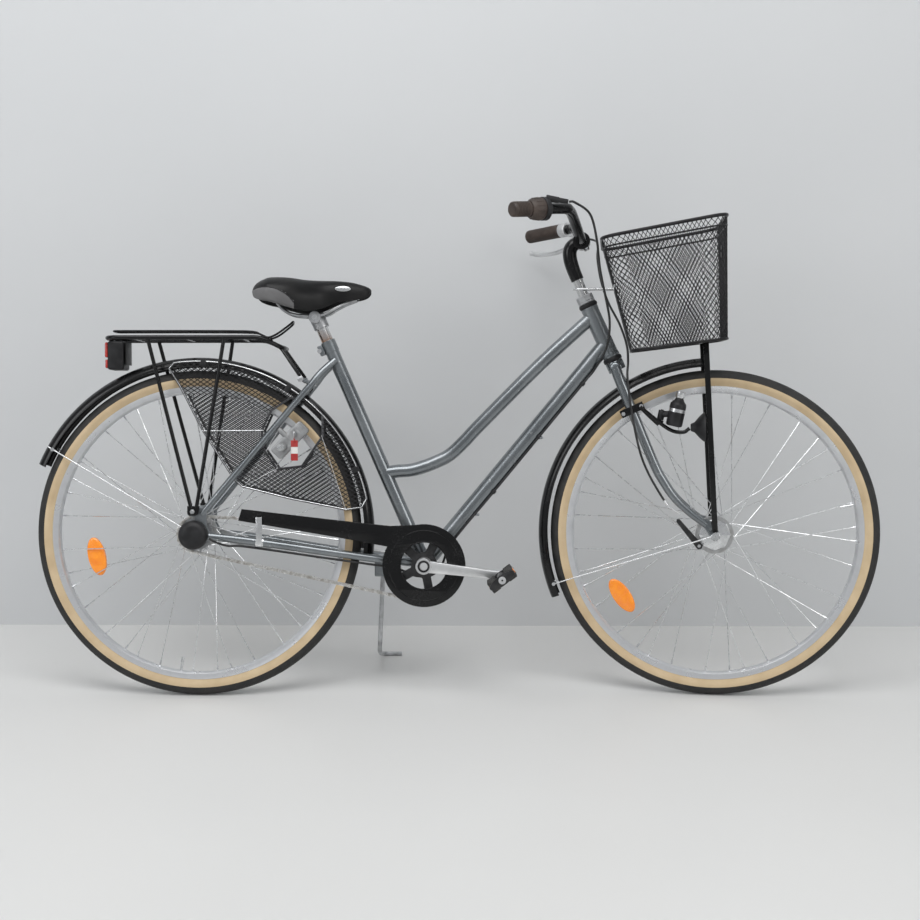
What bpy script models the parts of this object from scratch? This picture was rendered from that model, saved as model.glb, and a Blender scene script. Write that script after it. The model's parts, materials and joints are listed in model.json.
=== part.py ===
"""A city bicycle with a low curved main tube, built as the real one comes apart on a bench.

Metres, +Z up, +X forward, +Y to the rider's left. Every piece is drawn on an upright bicycle whose
rear axle stands over x = 0. At the end the handlebar is turned a little and the whole bicycle leans
on its kickstand, so that both tyres and the stand's foot meet the ground at z = 0.
"""
import math

import bmesh
import bpy
from mathutils import Matrix, Vector

for old in list(bpy.data.objects):
    bpy.data.objects.remove(old, do_unlink=True)

# Clearance between neighbouring pieces, and the pose of the parked bicycle
GAP = 0.0003
LEAN = math.radians(9.0)
PARKED_STEERING = math.radians(-5.94)

# Wheels
WHEEL_RADIUS = 0.350
WHEELBASE = 1.1074
WHEEL_STEPS = 26
TYRE_SECTION = 0.0185
RIM_OUTER = 0.3160
RIM_INNER = 0.3000
RIM_HALF_WIDTH = 0.0125
SPOKE_COUNT = 36
SPOKE_RADIUS = 0.0010

# Frame
HEAD_ANGLE = math.radians(65.5)
SEAT_ANGLE = math.radians(66.4)
FORK_OFFSET = 0.0426
BRACKET_Z = 0.284
SEAT_TUBE_LENGTH = 0.5226
SEAT_TUBE_RADIUS = 0.0148
MAIN_TUBE_RADIUS = 0.0142
DOWN_TUBE_RADIUS = 0.0172
HEAD_TUBE_RADIUS = 0.0180
HEAD_TUBE_BOTTOM = 0.416
HEAD_TUBE_TOP = 0.532
CHAIN_STAY_RADIUS = 0.0085
SEAT_STAY_RADIUS = 0.0075
REAR_DROPOUT_Y = 0.0625
DROPOUT_THICKNESS = 0.005

# Drive
CHAIN_PITCH = 0.0127
CHAIN_LINKS = 106
RING_TEETH = 38
SPROCKET_TEETH = 19
CHAIN_LINE = -0.044
CRANK_LENGTH = 0.165
CRANK_ANGLE = math.radians(-7.0)


def pitch_radius(teeth):
    return CHAIN_PITCH / (2 * math.sin(math.pi / teeth))


def chain_centres():
    """The distance between the axles at which the chain is just taut with its number of links."""
    large, small = pitch_radius(RING_TEETH), pitch_radius(SPROCKET_TEETH)
    centres = CHAIN_LINKS * CHAIN_PITCH / 2
    for _ in range(40):
        tilt = math.asin((large - small) / centres)
        wrapped = (RING_TEETH * (0.5 + tilt / math.pi) + SPROCKET_TEETH * (0.5 - tilt / math.pi))
        run = (CHAIN_LINKS - wrapped) * CHAIN_PITCH / 2
        centres = math.hypot(run, large - small)
    return centres


REAR_AXLE = Vector((0.0, 0.0, WHEEL_RADIUS))
FRONT_AXLE = Vector((WHEELBASE, 0.0, WHEEL_RADIUS))
BRACKET = Vector((math.sqrt(chain_centres() ** 2 - (WHEEL_RADIUS - BRACKET_Z) ** 2), 0.0, BRACKET_Z))
STEER_AXIS = Vector((-math.cos(HEAD_ANGLE), 0.0, math.sin(HEAD_ANGLE)))
STEER_FOOT = FRONT_AXLE - Vector((FORK_OFFSET / math.sin(HEAD_ANGLE), 0.0, 0.0))
SEAT_AXIS = Vector((-math.cos(SEAT_ANGLE), 0.0, math.sin(SEAT_ANGLE)))
SIDEWAYS = Vector((0.0, 1.0, 0.0))


def point(x, z, y=0.0):
    """A place given as it reads in a side view, with the distance to the left last."""
    return Vector((x, y, z))


def on_steering(height, forward=0.0, y=0.0):
    """A place measured up the steering axis from axle height, and square forward from it."""
    ahead = Vector((math.sin(HEAD_ANGLE), 0.0, math.cos(HEAD_ANGLE)))
    return STEER_FOOT + STEER_AXIS * height + ahead * forward + SIDEWAYS * y


def on_seat(height, forward=0.0, y=0.0):
    """A place measured up the seat tube from the bottom bracket, and square forward from it."""
    ahead = Vector((math.sin(SEAT_ANGLE), 0.0, math.cos(SEAT_ANGLE)))
    return BRACKET + SEAT_AXIS * height + ahead * forward + SIDEWAYS * y


def clear_bore(radius, flats):
    """The radius of a bore with so many flats that stays a gap clear of a round of this radius."""
    return radius / math.cos(math.pi / flats) + GAP


def around(centre, radius, degrees, y=0.0):
    """A place on a circle in the side view, counted from straight ahead towards up."""
    angle = math.radians(degrees)
    return centre + Vector((radius * math.cos(angle), y, radius * math.sin(angle)))


def smooth_path(knots, steps=4):
    """Points on one smooth curve through the knots (Catmull-Rom)."""
    knots = [Vector(k) for k in knots]
    ends = [knots[0] * 2 - knots[1]] + knots + [knots[-1] * 2 - knots[-2]]
    path = []
    for a, b, c, d in zip(ends, ends[1:], ends[2:], ends[3:]):
        for i in range(steps):
            t = i / steps
            path.append(0.5 * (2 * b + (c - a) * t + (2 * a - 5 * b + 4 * c - d) * t ** 2
                               + (3 * b - a - 3 * c + d) * t ** 3))
    return path + [knots[-1]]


def axis_frame(origin, axis, across=(0.0, 0.0, 1.0)):
    """A matrix whose Z runs along the axis and whose X lies as near as it can to across."""
    z = Vector(axis).normalized()
    x = Vector(across) - z * z.dot(Vector(across))
    if x.length < 1e-6:
        x = z.orthogonal()
    x.normalize()
    y = z.cross(x)
    return Matrix.Translation(origin) @ Matrix((x, y, z)).transposed().to_4x4()


def side_frame(y, centre=(0.0, 0.0, 0.0)):
    """The side view as a drawing plane: its X is forward, its Y is up and its Z points right."""
    columns = Matrix(((1, 0, 0), (0, 0, -1), (0, 1, 0))).to_4x4()
    return Matrix.Translation(Vector(centre) + SIDEWAYS * y) @ columns


def mesh_from(bm, frame=None):
    bmesh.ops.remove_doubles(bm, verts=bm.verts, dist=1e-6)
    bmesh.ops.recalc_face_normals(bm, faces=bm.faces)
    mesh = bpy.data.meshes.new("piece")
    bm.to_mesh(mesh)
    bm.free()
    if frame is not None:
        mesh.transform(frame)
    return mesh


def evaluated(thing):
    """The mesh of an object with its modifiers, after which the object is no longer needed."""
    bpy.context.scene.collection.objects.link(thing)
    bpy.context.view_layer.update()
    graph = bpy.context.evaluated_depsgraph_get()
    mesh = bpy.data.meshes.new_from_object(thing.evaluated_get(graph))
    bpy.data.objects.remove(thing, do_unlink=True)
    return mesh


def rod(points, radius, sides=8, closed=False):
    """A round bar or tube swept along points; the radius may be one number or one for each point."""
    radii = radius if isinstance(radius, (list, tuple)) else [radius] * len(points)
    curve = bpy.data.curves.new("rod", "CURVE")
    curve.dimensions = "3D"
    curve.bevel_depth = max(radii)
    curve.bevel_resolution = (sides - 4) // 2
    curve.use_fill_caps = True
    spline = curve.splines.new("POLY")
    spline.points.add(len(points) - 1)
    for knot, place, thick in zip(spline.points, points, radii):
        knot.co = (*place, 1.0)
        knot.radius = thick / max(radii)
    spline.use_cyclic_u = closed
    bm = bmesh.new()
    bm.from_mesh(evaluated(bpy.data.objects.new("rod", curve)))
    return mesh_from(bm)


def bar(start, end, radius, sides=12, end_radius=None):
    """A straight round bar, or a cone when its end has another radius."""
    start, end = Vector(start), Vector(end)
    bm = bmesh.new()
    bmesh.ops.create_cone(bm, cap_ends=True, segments=sides, radius1=radius,
                          radius2=radius if end_radius is None else end_radius,
                          depth=(end - start).length)
    return mesh_from(bm, axis_frame((start + end) / 2, end - start))


def block(size, frame, bevel=0.0, segments=1):
    """A box of the given size, centred in its frame, with its edges taken off."""
    bm = bmesh.new()
    bmesh.ops.create_cube(bm, size=1.0)
    bmesh.ops.scale(bm, vec=size, verts=bm.verts)
    if bevel:
        bmesh.ops.bevel(bm, geom=bm.edges, offset=bevel, segments=segments, profile=0.5, affect="EDGES")
    return mesh_from(bm, frame)


def turned(profile, frame, steps=24, closed=False):
    """A turned piece: its profile is pairs of (distance along the axis, radius)."""
    bm = bmesh.new()
    verts = [bm.verts.new((radius, 0.0, along)) for along, radius in profile]
    pairs = list(zip(verts, verts[1:]))
    if closed:
        pairs.append((verts[-1], verts[0]))
    edges = [bm.edges.new(pair) for pair in pairs]
    bmesh.ops.spin(bm, geom=verts + edges, cent=(0, 0, 0), axis=(0, 0, 1), angle=2 * math.pi,
                   steps=steps, use_duplicate=False)
    return mesh_from(bm, frame)


def plate(outline, thickness, frame, holes=()):
    """A flat piece: a drawn outline with its holes, given its thickness along the frame's Z."""
    bm = bmesh.new()
    for loop in (outline, *holes):
        verts = [bm.verts.new((u, v, -thickness / 2)) for u, v in loop]
        for a, b in zip(verts, verts[1:] + verts[:1]):
            bm.edges.new((a, b))
    bmesh.ops.triangle_fill(bm, use_beauty=True, edges=bm.edges)
    grown = bmesh.ops.extrude_face_region(bm, geom=bm.faces)
    raised = [item for item in grown["geom"] if isinstance(item, bmesh.types.BMVert)]
    bmesh.ops.translate(bm, vec=(0, 0, thickness), verts=raised)
    return mesh_from(bm, frame)


def disc(radius, centre=(0.0, 0.0), steps=16, turn=0.0):
    """A circle as an outline or a hole for a plate."""
    return [(centre[0] + radius * math.cos(turn + 2 * math.pi * i / steps),
             centre[1] + radius * math.sin(turn + 2 * math.pi * i / steps)) for i in range(steps)]


def boolean(operation, base, tools):
    target = bpy.data.objects.new("base", base)
    group = bpy.data.collections.new("tools")
    bpy.context.scene.collection.children.link(group)
    members = [bpy.data.objects.new("tool", tool) for tool in tools]
    for member in members:
        group.objects.link(member)
    change = target.modifiers.new("change", "BOOLEAN")
    change.operation = operation
    change.operand_type = "COLLECTION"
    change.collection = group
    change.solver = "EXACT"
    mesh = evaluated(target)
    for member in members:
        bpy.data.objects.remove(member, do_unlink=True)
    bpy.data.collections.remove(group)
    return mesh


def fused(first, *others):
    """Several shapes as one solid."""
    return boolean("UNION", first, others)


def bored(first, *cutters):
    """A shape with other shapes cut away."""
    return boolean("DIFFERENCE", first, cutters)


def mirrored(mesh):
    other = mesh.copy()
    other.transform(Matrix.Scale(-1, 4, SIDEWAYS))
    other.flip_normals()
    return other


def finish(name, colour, roughness, metallic=0.0):
    material = bpy.data.materials.new(name)
    material.use_nodes = True
    shader = material.node_tree.nodes["Principled BSDF"]
    shader.inputs["Base Color"].default_value = (*colour, 1.0)
    shader.inputs["Roughness"].default_value = roughness
    shader.inputs["Metallic"].default_value = metallic
    material.diffuse_color = (*colour, 1.0)
    return material


SILVER_PAINT = finish("silver_grey_paint", (0.24, 0.26, 0.28), 0.32, 0.75)
BLACK_PAINT = finish("black_enamel", (0.012, 0.012, 0.013), 0.22)
BLACK_PLASTIC = finish("black_plastic", (0.02, 0.02, 0.022), 0.5)
BRIGHT_STEEL = finish("bright_steel", (0.62, 0.62, 0.63), 0.22, 1.0)
ALUMINIUM = finish("aluminium", (0.68, 0.69, 0.70), 0.34, 1.0)
ZINC_STEEL = finish("zinc_steel", (0.45, 0.46, 0.47), 0.45, 0.9)
TREAD_RUBBER = finish("tyre_rubber", (0.02, 0.02, 0.02), 0.8)
GRIP_RUBBER = finish("grip_rubber", (0.045, 0.03, 0.024), 0.75)
SADDLE_VINYL = finish("saddle_vinyl", (0.016, 0.016, 0.018), 0.5)
AMBER = finish("amber_reflector", (0.9, 0.33, 0.02), 0.25)

BODIES = {}


def body(name, pivot, parent=None):
    """An empty on the axis about which a moving body turns, or along which it slides."""
    empty = bpy.data.objects.new(name + "_pivot", None)
    empty.empty_display_size = 0.03
    bpy.context.scene.collection.objects.link(empty)
    empty.location = pivot
    bpy.context.view_layer.update()
    if parent:
        hang(empty, parent)
    BODIES[name] = empty
    return empty


def hang(thing, carrier):
    """Parent a thing to a body without moving it."""
    thing.parent = BODIES[carrier]
    thing.matrix_parent_inverse = BODIES[carrier].matrix_world.inverted()


def piece(name, mesh, material, carrier, sharp=35):
    """Name a solid, give it its finish and hang it on the body that carries it."""
    mesh.name = name
    mesh.materials.clear()
    mesh.materials.append(material)
    mesh.shade_smooth()
    mesh.set_sharp_from_angle(angle=math.radians(sharp))
    thing = bpy.data.objects.new(name, mesh)
    bpy.context.scene.collection.objects.link(thing)
    hang(thing, carrier)
    return thing


def parked_pose():
    """Where the upright bicycle goes when it leans on its stand: both tyres meet z = 0, and the
    rear tyre's flat lies at the origin."""
    lean = Matrix.Rotation(-LEAN, 3, "X")
    bar_turn = Matrix.Rotation(PARKED_STEERING, 3, STEER_AXIS)
    pivot = on_steering(HEAD_TUBE_BOTTOM)
    axle = pivot + bar_turn @ (FRONT_AXLE - pivot) - REAR_AXLE
    tilt = math.asin((lean @ bar_turn @ SIDEWAYS).z)
    middle = WHEEL_RADIUS - TYRE_SECTION
    rise = WHEEL_RADIUS * (math.cos(tilt) - math.cos(LEAN))
    needed = (rise + axle.y * math.sin(LEAN)) / math.cos(LEAN)
    pitch = math.atan2(axle.z, axle.x) - math.asin(needed / math.hypot(axle.x, axle.z))
    contact = Vector((0.0, TYRE_SECTION * math.sin(LEAN) * math.cos(LEAN),
                      -middle - TYRE_SECTION * math.cos(LEAN) ** 2))
    turn = (lean @ Matrix.Rotation(pitch, 3, "Y")).to_4x4()
    return Matrix.Translation(-(lean @ contact)) @ turn @ Matrix.Translation(-REAR_AXLE)


def ground_under(x, y):
    """The height on the upright bicycle at which the ground lies when it is parked."""
    row = parked_pose()[2]
    return -(row[0] * x + row[1] * y + row[3]) / row[2]


body("frame", REAR_AXLE)
body("steering", on_steering(HEAD_TUBE_BOTTOM), "frame")
body("front_wheel", FRONT_AXLE, "steering")
body("rear_wheel", REAR_AXLE, "frame")

# The wheels: a tyre bedded on a rolled rim, and a hub laced to the rim with thirty-six spokes.
# A tyre is turned with flats, and one pair of them lies at the angle at which the tyre leans.
TO_FLATS = 1.0 / math.cos(math.pi / WHEEL_STEPS)
AXLE_RADIUS = 0.005
RIM_BED = 0.0070
RIM_VEE = 0.0050
NIPPLE_Y = 0.0030
REFLECTOR_SIZE = (0.038, 0.084, 0.0126)
SPOKE_CROSSING = math.radians(60.0)
SPOKE_SHIFT = 0.0019


def wheel_frame(axle):
    """Turning frame of a wheel: Z along the axle to the left, X down to the middle of a flat."""
    half_step = math.pi / WHEEL_STEPS
    return axis_frame(axle, SIDEWAYS, (math.sin(half_step), 0.0, -math.cos(half_step)))


def tyre_mesh(axle, flat_angle):
    middle = WHEEL_RADIUS - TYRE_SECTION
    half = [(TYRE_SECTION * math.sin(a), middle + TYRE_SECTION * math.cos(a))
            for a in (2 * flat_angle, math.radians(80))]
    half.append((RIM_HALF_WIDTH, RIM_OUTER + GAP * 1.3))
    bed = [(0.0, RIM_OUTER - RIM_BED + GAP * 1.3)]
    right = [(-y, r) for y, r in reversed(half)]
    profile = right + [(0.0, WHEEL_RADIUS)] + half + bed
    return turned([(y, r * TO_FLATS) for y, r in profile], wheel_frame(axle), WHEEL_STEPS, True)


def rim_mesh(axle):
    half = [(RIM_HALF_WIDTH, RIM_INNER + RIM_VEE), (RIM_HALF_WIDTH, RIM_OUTER)]
    bed = [(0.0, RIM_OUTER - RIM_BED)]
    profile = [(-y, r) for y, r in reversed(half)] + [(0.0, RIM_INNER)] + half + bed
    return turned([(y, r * TO_FLATS) for y, r in profile], wheel_frame(axle), WHEEL_STEPS, True)


def rim_inside(degrees, y):
    """The radius of the rim's inner face, whose flats lie round the wheel like the tyre's."""
    step = 360.0 / WHEEL_STEPS
    from_flat = (degrees + 90.0 + step / 2) % step - step / 2
    return (RIM_INNER + RIM_VEE * abs(y) / RIM_HALF_WIDTH) / math.cos(math.radians(from_flat))


def opened_face(bm, edges, ring):
    """Fill the flat face inside these edges, leaving a hole at the ring."""
    rim = [bm.edges.get(pair) or bm.edges.new(pair) for pair in zip(ring, ring[1:] + ring[:1])]
    bmesh.ops.triangle_fill(bm, use_beauty=True, edges=[*edges, *rim])


def laced_hub(axle, profile, flanges):
    """A turned hub whose flanges have one flat for each spoke; a spoke grows from each flat.
    The spokes lean ahead and back in turn, so that they cross on their way to the rim."""
    first_flat = math.radians(-30.0)
    step = 4 * math.pi / SPOKE_COUNT
    edge_angle = first_flat + step / 2
    turning = axis_frame(axle, SIDEWAYS, (math.cos(edge_angle), 0.0, math.sin(edge_angle)))
    bm = bmesh.new()
    bm.from_mesh(turned(profile, turning, SPOKE_COUNT // 2, True))
    flats = [face for face in bm.faces
             if any(all(abs((turning.inverted() @ v.co).xy.length - radius) < 1e-5
                        and v.co.y * side > 0 for v in face.verts)
                    for side, radius in flanges)]
    for flat in flats:
        centre, normal = flat.calc_center_median(), flat.normal.copy()
        out = centre - axle
        angle = math.atan2(out.z, out.x)
        leading = 1 if round((angle - first_flat) / step) % 2 else -1
        right = centre.y < 0
        toward = math.degrees(angle + leading * SPOKE_CROSSING + (0.0 if right else step / 2))
        nipple = around(axle, rim_inside(toward, NIPPLE_Y) - 2.2 * GAP, toward,
                        math.copysign(NIPPLE_Y, centre.y))
        start = centre + SIDEWAYS * leading * SPOKE_SHIFT
        run = nipple - start
        place = axis_frame(nipple, run, SIDEWAYS)
        tip = [place @ Vector((*corner, 0.0)) for corner in disc(SPOKE_RADIUS, steps=3)]
        foot = [p - run * ((p - centre).dot(normal) / run.dot(normal)) for p in tip]
        tip = [bm.verts.new(p) for p in tip]
        foot = [bm.verts.new(p) for p in foot]
        edges = list(flat.edges)
        bm.faces.remove(flat)
        opened_face(bm, edges, foot)
        bm.faces.new(tip)
        for j in range(3):
            bm.faces.new((foot[j], foot[j - 1], tip[j - 1], tip[j]))
    return mesh_from(bm)


def reflector_mesh(axle, radius, degrees):
    """An oval reflector that lies between the two planes of spokes, along the wheel's turn."""
    place = around(axle, radius, degrees)
    wide, long, thick = REFLECTOR_SIZE
    bm = bmesh.new()
    bmesh.ops.create_cone(bm, cap_ends=True, segments=16, radius1=0.5, radius2=0.5, depth=1.0)
    bmesh.ops.scale(bm, vec=(wide, long, thick), verts=bm.verts)
    return mesh_from(bm, axis_frame(place, SIDEWAYS, place - axle))


FRONT_HUB = [(-0.036, 0.0058), (-0.036, 0.0400), (-0.029, 0.0400), (-0.026, 0.036), (-0.008, 0.034),
             (0.020, 0.015), (0.026, 0.015), (0.0265, 0.0290), (0.0330, 0.0290), (0.037, 0.0125),
             (0.037, 0.0058)]
REAR_HUB = [(-0.034, 0.0078), (-0.034, 0.0220), (-0.0305, 0.0330), (-0.0240, 0.0330), (-0.021, 0.025),
            (0.021, 0.027), (0.0235, 0.0340), (0.0300, 0.0340), (0.036, 0.025), (0.036, 0.0078)]


def front_wheel_tilt():
    """How far the front axle tilts when the bicycle leans and the handlebar is turned."""
    axle = Matrix.Rotation(-LEAN, 3, "X") @ Matrix.Rotation(PARKED_STEERING, 3, STEER_AXIS) @ SIDEWAYS
    return abs(math.asin(axle.z))


piece("rear_tyre", tyre_mesh(REAR_AXLE, LEAN), TREAD_RUBBER, "rear_wheel")
piece("rear_rim", rim_mesh(REAR_AXLE), ALUMINIUM, "rear_wheel")
piece("rear_hub_spokes", laced_hub(REAR_AXLE, REAR_HUB, ((-1, 0.0330), (1, 0.0340))),
      BRIGHT_STEEL, "rear_wheel")
piece("rear_wheel_reflector", reflector_mesh(REAR_AXLE, 0.229, 193.0), AMBER, "rear_wheel")
piece("front_tyre", tyre_mesh(FRONT_AXLE, front_wheel_tilt()), TREAD_RUBBER, "front_wheel")
piece("front_rim", rim_mesh(FRONT_AXLE), ALUMINIUM, "front_wheel")
piece("front_hub_spokes", laced_hub(FRONT_AXLE, FRONT_HUB, ((-1, 0.0400), (1, 0.0290))),
      BRIGHT_STEEL, "front_wheel")
piece("front_wheel_reflector", reflector_mesh(FRONT_AXLE, 0.239, 216.0), AMBER, "front_wheel")

# The frame: tubes brazed into one another, with the bottom bracket shell bored for its cups,
# the head tube bored for the steerer and the seat tube bored for the seat post.
POST_RADIUS = 0.0127
STEERER_RADIUS = 0.0127
HEAD_BORE = 0.0153
SHELL_HALF_WIDTH = 0.034
SHELL_RADIUS = 0.0200
SHELL_BORE = 0.0172
SEAT_BORE_DEPTH = 0.300
STAY_TOP = on_seat(SEAT_TUBE_LENGTH - 0.045)

DOWN_TUBE_TOP = on_steering(0.446)
UPPER_BRIDGE = point(0.2464, 0.6705)
UPPER_BRIDGE_RADIUS = 0.0055
LOWER_BRIDGE = point(0.3960, 0.2950)
LOWER_BRIDGE_RADIUS = 0.0050
STRUT_FOOT = point(0.2235, 0.6800)
STRUT_EYE_Y = 0.0437
STAND_HINGE = point(BRACKET.x - 0.094, 0.262, 0.0520)
STAND_PIN = 0.0040
STAND_PLATE = 0.012
STAND_BARREL = 0.0080

MAIN_TUBE = [on_seat(0.213), point(0.428, 0.483), point(0.452, 0.4845), point(0.476, 0.4900),
             point(0.511, 0.5030), point(0.541, 0.5190), point(0.573, 0.5490), point(0.605, 0.583),
             point(0.734, 0.7120), on_steering(0.512)]
CHAIN_STAY = [point(0.020, 0.3470, 0.0600), point(0.100, 0.3385, 0.0575), point(0.190, 0.3255, 0.0500),
              point(0.270, 0.3130, 0.0415), point(0.335, 0.3035, 0.0355), point(0.376, 0.2975, 0.0325),
              point(0.412, 0.2930, 0.0265), point(0.470, 0.2860, 0.0210)]
SEAT_STAY = [point(0.015, 0.3930, 0.0600), point(0.082, 0.4735, 0.0535), point(0.150, 0.5550, 0.0455),
             point(0.214, 0.6320, 0.0385), point(0.246, 0.6700, 0.0345), point(0.266, 0.6950, 0.0270),
             STAY_TOP + SIDEWAYS * 0.0160]


def rear_dropout():
    """A plate with the axle slot open to the rear, and an eye above for the carrier's bolt."""
    outline = [(-0.026, 0.3590), (-0.026, 0.3553), (0.0030, 0.3553), (0.0056, 0.3525), (0.0056, 0.3475),
               (0.0030, 0.3447), (-0.026, 0.3447), (-0.024, 0.3370), (0.010, 0.3340), (0.034, 0.3385),
               (0.034, 0.3540), (0.026, 0.3700), (0.026, 0.4050), (0.010, 0.4080), (0.000, 0.4060),
               (-0.012, 0.4060),
               (-0.016, 0.3990), (-0.012, 0.3900), (0.002, 0.3860), (-0.004, 0.3640)]
    return plate(outline, DROPOUT_THICKNESS, side_frame(REAR_DROPOUT_Y))


def make_frame():
    chain_stay = smooth_path(CHAIN_STAY, 1)
    seat_stay = smooth_path(SEAT_STAY, 1)
    solids = [
        bar(BRACKET, on_seat(SEAT_TUBE_LENGTH), SEAT_TUBE_RADIUS, 12),
        rod(smooth_path(MAIN_TUBE, 1), MAIN_TUBE_RADIUS, 10),
        bar(BRACKET, DOWN_TUBE_TOP, DOWN_TUBE_RADIUS, 12),
        bar(on_steering(HEAD_TUBE_BOTTOM), on_steering(HEAD_TUBE_TOP), HEAD_TUBE_RADIUS, 12),
        bar(BRACKET - SIDEWAYS * SHELL_HALF_WIDTH, BRACKET + SIDEWAYS * SHELL_HALF_WIDTH,
            SHELL_RADIUS, 12),
        block((0.020, 0.016, 0.022), axis_frame(on_seat(SEAT_TUBE_LENGTH - 0.014, -0.019), SEAT_AXIS,
                                                SIDEWAYS)),
    ]
    for side in (1, -1):
        mirror = Matrix.Scale(side, 3, SIDEWAYS)
        solids.append(rod([mirror @ p for p in chain_stay], CHAIN_STAY_RADIUS, 6))
        solids.append(rod([mirror @ p for p in seat_stay], SEAT_STAY_RADIUS, 6))
        eye = STRUT_FOOT + SIDEWAYS * side * STRUT_EYE_Y
        solids.append(bar(eye, eye - SIDEWAYS * side * 0.0055, 0.0060, 8))
        solids.append(bar(eye - SIDEWAYS * side * 0.0046, mirror @ Vector(SEAT_STAY[4]), 0.0042, 6))
    solids.append(block((0.034, STAND_PLATE, 0.046), Matrix.Translation(STAND_HINGE - SIDEWAYS * 0.0135
                                                                       + Vector((0, 0, 0.013)))))
    solids.append(bar(STAND_HINGE - SIDEWAYS * 0.014, STAND_HINGE + SIDEWAYS * STAND_BARREL, STAND_PIN, 10))
    solids.append(rear_dropout())
    solids.append(mirrored(rear_dropout()))
    solids.append(bar(UPPER_BRIDGE - SIDEWAYS * 0.034, UPPER_BRIDGE + SIDEWAYS * 0.034,
                      UPPER_BRIDGE_RADIUS, 8))
    solids.append(bar(LOWER_BRIDGE - SIDEWAYS * 0.030, LOWER_BRIDGE + SIDEWAYS * 0.030,
                      LOWER_BRIDGE_RADIUS, 8))
    hollows = [
        bar(BRACKET - SIDEWAYS * 0.05, BRACKET + SIDEWAYS * 0.05, SHELL_BORE, 12),
        bar(on_steering(HEAD_TUBE_BOTTOM - 0.01), on_steering(HEAD_TUBE_TOP + 0.01),
            HEAD_BORE, 12),
        bar(on_seat(SEAT_TUBE_LENGTH - SEAT_BORE_DEPTH), on_seat(SEAT_TUBE_LENGTH + 0.02),
            POST_RADIUS + GAP * 1.4, 12),
        block((0.0024, 0.030, 0.030), axis_frame(on_seat(SEAT_TUBE_LENGTH - 0.010, -0.024), SEAT_AXIS,
                                                 SIDEWAYS)),
    ]
    return bored(fused(*solids), *hollows)


piece("frame", make_frame(), SILVER_PAINT, "frame")

# Bearings: the headset pressed into the head tube, and the sealed unit in the bracket shell
SPINDLE_RADIUS = 0.0080
CUP_HEIGHT = 0.0095
CUP_FLANGE = 0.0045


def make_headset():
    """Two cups whose skirts run on inside the head tube until they meet."""
    bore = STEERER_RADIUS + 0.0006
    skirt = HEAD_BORE - GAP * 1.4
    low = HEAD_TUBE_BOTTOM - GAP
    high = HEAD_TUBE_TOP + GAP
    profile = [(low - CUP_HEIGHT, bore), (low - CUP_HEIGHT, 0.0205), (low - 0.003, 0.0205), (low, 0.0185),
               (low, skirt), (high, skirt), (high, 0.0185), (high + 0.003, 0.0205),
               (high + CUP_HEIGHT, 0.0190), (high + CUP_HEIGHT, bore)]
    return turned(profile, axis_frame(STEER_FOOT, STEER_AXIS, SIDEWAYS), 12, True)


def make_bottom_bracket():
    """A sealed unit: its cups hold the bearings, and its body fills the shell between them."""
    bore = SPINDLE_RADIUS + 0.0006
    body_radius = SHELL_BORE - GAP * 1.4
    face = SHELL_HALF_WIDTH + GAP
    half = [(face, body_radius), (face, SHELL_RADIUS), (face + CUP_FLANGE, SHELL_RADIUS),
            (face + CUP_FLANGE, bore)]
    profile = half + [(-y, r) for y, r in reversed(half)]
    return turned(profile, axis_frame(BRACKET, SIDEWAYS), 12, True)


piece("headset", make_headset(), BLACK_PLASTIC, "frame")
piece("bottom_bracket", make_bottom_bracket(), ZINC_STEEL, "frame")

# The rear axle with its cones, nuts and brake arm, and the black cap over its right end
HUB_COVER_RADIUS = 0.031
HUB_COVER_DEPTH = 0.024
INNER_FACE = REAR_DROPOUT_Y - DROPOUT_THICKNESS / 2 - GAP
OUTER_FACE = REAR_DROPOUT_Y + DROPOUT_THICKNESS / 2 + GAP
BRAKE_ARM_Y = 0.0415


def make_rear_axle():
    arm = 0.0015 + GAP
    profile = [(-OUTER_FACE - 0.022, 0.0), (-OUTER_FACE - 0.022, AXLE_RADIUS),
               (-OUTER_FACE - 0.002, AXLE_RADIUS), (-OUTER_FACE - 0.002, 0.0090), (-OUTER_FACE, 0.0090),
               (-OUTER_FACE, AXLE_RADIUS), (-INNER_FACE, AXLE_RADIUS), (-INNER_FACE, 0.0100),
               (-0.0344, 0.0100), (-0.0344, 0.0070), (0.0364, 0.0070), (0.0364, 0.0100),
               (BRAKE_ARM_Y - arm, 0.0100), (BRAKE_ARM_Y - arm, 0.0056), (BRAKE_ARM_Y + arm, 0.0056),
               (BRAKE_ARM_Y + arm, 0.0100), (INNER_FACE, 0.0100), (INNER_FACE, AXLE_RADIUS),
               (OUTER_FACE, AXLE_RADIUS), (OUTER_FACE, 0.0105), (OUTER_FACE + 0.0015, 0.0105),
               (OUTER_FACE + 0.0015, 0.0085), (OUTER_FACE + 0.010, 0.0085), (OUTER_FACE + 0.012, 0.0060),
               (OUTER_FACE + 0.012, AXLE_RADIUS), (OUTER_FACE + 0.016, AXLE_RADIUS),
               (OUTER_FACE + 0.016, 0.0)]
    return turned(profile, axis_frame(REAR_AXLE, SIDEWAYS), 6)


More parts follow.
